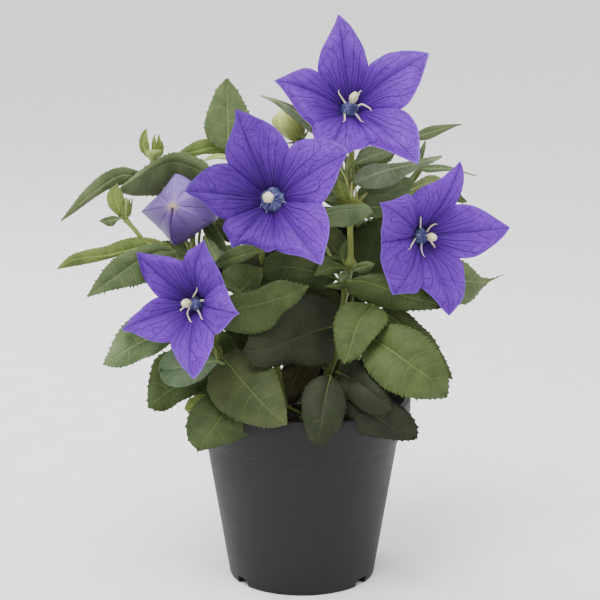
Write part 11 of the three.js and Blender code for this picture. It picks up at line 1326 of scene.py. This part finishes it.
b = Build(); add_balloon(b, rng_for("balloon"))
done(b.make("balloon_bud", [BUD]), "bud_balloon")
b = Build(); add_bud_calyx(b, PARTS["balloon"]["S"], PARTS["balloon"]["n"], PARTS["balloon"]["L"], 3.0, srgb(132, 144, 84), 1.3)
done(b.make("balloon_bud_sepals", [SOFTG]), "bud_balloon_calyx")
b = Build(); add_green_bud(b, rng_for("green"))
done(b.make("round_green_bud", [BUD]), "bud_green")
b = Build(); add_bud_calyx(b, PARTS["green"]["S"], PARTS["green"]["n"], PARTS["green"]["L"], 2.6, srgb(140, 152, 88), 1.1)
add_stem(b, "s11", rng_for("s11"), tint=srgb(126, 138, 76))
done(b.make("round_green_bud_stalk", [SOFTG]), "bud_green_calyx")


def egg_profile(L, r):
    return [[0, 0], [r * 0.45, L * 0.04], [r * 0.78, L * 0.16], [r, L * 0.36], [r * 0.96, L * 0.52], [r * 0.74, L * 0.72], [r * 0.42, L * 0.88], [r * 0.16, L * 0.97], [0, L]]


p = PARTS["shoot"]
a, c = np.array(p["a"], float), np.array(p["b"], float)
b = Build()
V, F, t = turned(egg_profile(np.linalg.norm(c - a), p["r"]), a, c - a, 30, lobes=5, lobe=0.06)
b.add(V, F, 0, c_tint=srgb(120, 132, 72))
add_sepals(b, a + unit(c - a) * 1.0, c - a, 1.9, 0.6, 3.0, np.linalg.norm(c - a) * 0.86, 1.15, 0.4, srgb(86, 102, 48))
done(b.make("small_bud", [SOFTG]), "bud_small")
b = Build()
for k in ("L4", "L5"):
    add_leaf(b, LEAVES[k], k, rng_for(k))
done(b.make("small_bud_bracts", [LEAF]), "bud_small")

p = PARTS["hand"]
a, c = np.array(p["a"], float), np.array(p["b"], float)
L = np.linalg.norm(c - a)
b = Build()
V, F, t = turned([[0, 0], [0.9, 0.1], [p["r"] * 0.5, L * 0.3], [p["r"] * 0.8, L * 0.6], [p["r"], L * 0.9], [p["r"] * 0.7, L * 0.98], [0, L]], a, c - a, 30, lobes=5, lobe=0.05)
b.add(V, F, 0, c_tint=srgb(134, 150, 84))
add_stem(b, "s10", rng_for("s10"), tint=srgb(118, 132, 70))
done(b.make("bud_cluster_base", [SOFTG]), "bud_cluster_left")
b = Build()
for k in ("H1", "H2", "H3", "H4"):
    add_leaf(b, LEAVES[k], k, rng_for(k), petiole=(k == "H1"))
done(b.make("bud_cluster_bracts", [LEAF]), "bud_cluster_left")

for node, (key, list_) in FUSED.items():
    b = Build()
    add_stem(b, key, rng_for(key), [l["at"] for l in LEAVES.values() if l["stem"] == key])
    done(b.make(node + "_stalk", [STEM]), node)
    if list_:
        b = Build()
        for k in list_:
            add_leaf(b, LEAVES[k], k, rng_for(k))
        done(b.make(node + "_leaves", [LEAF]), node)
for key, node in NAMED.items():
    b = Build()
    add_leaf(b, LEAVES[key], key, rng_for(key))
    done(b.make(node + "_blade", [LEAF]), node)

# ------------------------------------------------------------------ pot
H, RIM, WALL_TOP, STEP_R, STEP_Z, BASE_R, LIP, WALL, FOOT = 88.0, 52.5, 50.6, 47.3, 67.8, 35.6, 6.5, 1.3, 4.2
prof = [[0, FOOT], [20, FOOT], [BASE_R - 3.6, FOOT], [BASE_R - 2.9, FOOT - 0.5], [BASE_R - 2.6, 0.4], [BASE_R - 2.2, 0.0], [BASE_R - 0.8, 0.0], [BASE_R - 0.25, 0.25], [BASE_R, 0.8], [BASE_R + 0.1, 1.6]]
for k in range(1, 24):
    f = k / 24
    prof.append([BASE_R + 0.1 + (STEP_R - 0.95 - BASE_R) * f, 1.6 + (STEP_Z - 0.6 - 1.6) * f])
prof += [[STEP_R - 0.85, STEP_Z - 0.45], [STEP_R - 0.55, STEP_Z - 0.2], [STEP_R - 0.15, STEP_Z - 0.05], [STEP_R, STEP_Z + 0.25]]
for k in range(1, 8):
    f = k / 8
    prof.append([STEP_R + (WALL_TOP - STEP_R) * f, STEP_Z + 0.25 + (H - LIP - STEP_Z - 0.55) * f])
prof += [[WALL_TOP + 0.1, H - LIP - 0.15], [WALL_TOP + 0.5, H - LIP], [RIM - 0.5, H - LIP + 0.05], [RIM - 0.12, H - LIP + 0.3], [RIM, H - LIP + 0.8], [RIM, H - 3.4], [RIM, H - 1.2], [RIM - 0.2, H - 0.45], [RIM - 0.7, H - 0.08], [RIM - 1.3, H],
         [RIM - 2.3, H - 0.05], [RIM - 2.8, H - 0.4], [RIM - 3.05, H - 1.2], [RIM - 3.3, H - 4], [RIM - 3.8, H - 8], [STEP_R - WALL + 0.1, STEP_Z], [STEP_R - 1.2 - WALL, STEP_Z - 4], [BASE_R - WALL + 0.3, FOOT + WALL + 3], [BASE_R - WALL - 0.3, FOOT + WALL + 1], [BASE_R - WALL - 1.6, FOOT + WALL], [20, FOOT + WALL], [0, FOOT + WALL]]
V, F, t = turned(prof, np.zeros(3), np.array([0, 0, 1.0]), 180)
b = Build(); b.add(V, F, 0)
pot = b.make("nursery_pot", [POT])


def cut(target, cutters):
    for c in cutters:
        md = target.modifiers.new("cut", "BOOLEAN")
        md.operation, md.object, md.solver = "DIFFERENCE", c, "EXACT"
    dg = bpy.context.evaluated_depsgraph_get()
    me = bpy.data.meshes.new_from_object(target.evaluated_get(dg))
    target.modifiers.clear()
    target.data = me
    for c in cutters:
        bpy.data.objects.remove(c, do_unlink=True)


def box_at(w, d, h, x, y, z, rz):
    b = Build()
    q = np.array([[i, j, k] for i in (-0.5, 0.5) for j in (-0.5, 0.5) for k in (-0.5, 0.5)]) * [w, d, h]
    c, s = math.cos(rz), math.sin(rz)
    q = q @ np.array([[c, s, 0], [-s, c, 0], [0, 0, 1.0]]) + [x, y, z]
    F = np.array([[0, 1, 3, 2], [4, 6, 7, 5], [0, 4, 5, 1], [2, 3, 7, 6], [0, 2, 6, 4], [1, 5, 7, 3]])
    b.add(q, [F], 0)
    return b.make("cutter", [POT], False)


cutters = []
for az in (-38, -142, 38, 142, 90):
    a = math.radians(az)
    cutters.append(box_at(9, 7.5, FOOT - 0.6 + 2, math.cos(a) * BASE_R, math.sin(a) * BASE_R, (FOOT - 0.6) / 2 - 1, a))
for k in range(5):
    a = math.radians(36 + 72 * k)
    V, F, t = turned([[0, FOOT - 2], [4.0, FOOT - 2], [4.0, FOOT + WALL + 2], [0, FOOT + WALL + 2]], np.array([math.cos(a) * 22, math.sin(a) * 22, 0]), np.array([0, 0, 1.0]), 32)
    c = Build(); c.add(V, F, 0)
    cutters.append(c.make("cutter", [POT], False))
cut(pot, cutters)
pot.data.polygons.foreach_set("use_smooth", np.ones(len(pot.data.polygons), bool))
pot.data.set_sharp_from_angle(angle=math.radians(38))
done(pot, "pot")

# ------------------------------------------------------------------ compost
rng = np.random.default_rng(5)
R, C = 70, 240
rad = np.linspace(0.01, 1, R) ** 0.85 * 46.9
ang = 2 * np.pi * np.arange(C) / C
X, Y = rad[:, None] * np.cos(ang), rad[:, None] * np.sin(ang)
Z = np.zeros((R, C))
for k in range(60):
    fx, fy = rng.normal(0, 0.22, 2) * (1 + k / 18)
    Z += rng.normal() * 0.28 / (1 + k / 14) * np.sin(fx * X + fy * Y + rng.uniform(0, 6.28))
Z = 78.4 + np.clip(Z, -1.1, 0.9) * (rad[:, None] < 46.4)
Z[-1] = 77.0
P = np.stack([X, Y, Z], -1)
b = Build()
low = []
for r_, z_ in ((46.9, 76.6), (45.0, 67.2), (32.8, 5.9)):
    low.append(np.stack([r_ * np.cos(ang), r_ * np.sin(ang), np.full(C, z_)], -1))
G = np.concatenate([P, np.array(low)], 0)
V = np.vstack([G.reshape(-1, 3), [[0, 0, P[0, :, 2].mean()], [0, 0, 5.9]]])
F = [grid_faces(R + 3, C, wrap=True, flip=True)]
j = np.arange(C)
F.append(np.stack([np.full(C, (R + 3) * C), j, (j + 1) % C], 1))
o = (R + 2) * C
F.append(np.stack([np.full(C, (R + 3) * C + 1), o + (j + 1) % C, o + j], 1))
if (np.cross(G[5, 1] - G[5, 0], G[6, 0] - G[5, 0]))[2] > 0:
    F = [x[:, ::-1] if x.shape[1] == 4 else x for x in F]
b.add(V, F, 0, bit=0.0, c_tint=srgb(60, 46, 34))
for k in range(520):
    r_ = 45.6 * math.sqrt(rng.uniform(0.02, 1))
    a_ = rng.uniform(0, 2 * np.pi)
    x_, y_ = r_ * math.cos(a_), r_ * math.sin(a_)
    i_ = int(np.argmin(np.abs(rad - r_)))
    z_ = Z[i_, int(a_ / (2 * np.pi) * C) % C]
    size = rng.uniform(0.35, 1.5) if rng.uniform() < 0.9 else rng.uniform(1.5, 2.6)
    d = unit(rng.normal(size=3) + 1e-6)
    d[2] *= 0.3
    ln = size * rng.uniform(1.0, 2.2)
    if r_ + ln > 46.2:
        continue
    prof_ = [[0, -ln], [size * 0.6, -ln * 0.7], [size * 0.8, -0.1 * ln], [size * 0.62, 0.6 * ln], [0, ln]]
    V, F, t = turned(prof_, np.array([x_, y_, z_ + 0.1 * size]), d, 7)
    V = V + rng.normal(0, 0.10 * size, V.shape)
    col = [srgb(64, 49, 37), srgb(42, 33, 27), srgb(84, 66, 47), srgb(34, 28, 23)][rng.integers(0, 4)] if rng.uniform() < 0.975 else srgb(176, 170, 158)
    b.add(V, F, 0, bit=0.75, c_tint=col)
done(b.make("compost_surface", [SOIL]), "soil")

# ------------------------------------------------------------------ stage, light, camera
rr_ = np.r_[np.linspace(0, 1.0, 11), np.linspace(1.1, 5.0, 40)]
zz_ = np.where(rr_ < 1.0, 0.0, 1.5 * ((rr_ - 1.0) / 4.0) ** 2)
az_ = 2 * np.pi * np.arange(96) / 96
G = np.stack([rr_[1:, None] * np.cos(az_), rr_[1:, None] * np.sin(az_), np.broadcast_to(zz_[1:, None], (len(rr_) - 1, 96))], -1) / MM
b = Build()
j = np.arange(96)
b.add(np.vstack([G.reshape(-1, 3), [[0, 0, 0]]]), [grid_faces(len(rr_) - 1, 96, wrap=True), np.stack([np.full(96, (len(rr_) - 1) * 96), (j + 1) % 96, j], 1)], 0)
floor = b.make("floor", [FLOOR])
floor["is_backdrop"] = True

world = bpy.context.scene.world or bpy.data.worlds.new("World")
bpy.context.scene.world = world
world.use_nodes = True
bg = world.node_tree.nodes["Background"]
# soft light from all round, brightest overhead
nt = world.node_tree
tc = nt.nodes.new("ShaderNodeTexCoord")
sp = nt.nodes.new("ShaderNodeSeparateXYZ")
nt.links.new(tc.outputs["Generated"], sp.inputs[0])
mr = nt.nodes.new("ShaderNodeMapRange")
for k_, v_ in (("From Min", 0.0), ("From Max", 1.0), ("To Min", 0.45), ("To Max", 1.9)):
    mr.inputs[k_].default_value = v_
nt.links.new(sp.outputs["Z"], mr.inputs["Value"])
nt.links.new(mr.outputs["Result"], bg.inputs[1])
bg.inputs[0].default_value = (1, 1, 1, 1)


def area(name, at, look, size, power, colour=(1, 1, 1)):
    d = bpy.data.lights.new(name, "AREA")
    d.shape, d.size, d.energy, d.color = "DISK", size, power, colour
    o = bpy.data.objects.new(name, d)
    o.location = at
    o.rotation_euler = (Vector(look) - Vector(at)).to_track_quat("-Z", "Y").to_euler()
    bpy.context.scene.collection.objects.link(o)


area("key", (-0.35, -0.85, 1.75), (0, 0, 0.15), 1.1, 40)
area("fill", (1.3, -0.9, 1.2), (0, 0, 0.15), 1.2, 4)
area("back", (-0.9, 0.9, 1.2), (0, 0, 0.15), 1.0, 14)

cam = bpy.data.cameras.new("camera")
cam.sensor_width = 36.0
cam.lens = FOCAL_PX / 600 * 36.0
cam.clip_start = 0.01
co = bpy.data.objects.new("camera", cam)
co.location = Vector(CAM * MM)
co.rotation_euler = (math.pi / 2 - PITCH, 0, 0)
bpy.context.scene.collection.objects.link(co)
bpy.context.scene.camera = co

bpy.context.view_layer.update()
tris = {}
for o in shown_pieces():
    if o.type == "MESH":
        tris[o.name] = sum(len(p.vertices) - 2 for p in o.data.polygons)
print("triangles", sum(tris.values()), sorted(tris.items(), key=lambda x: -x[1])[:6])
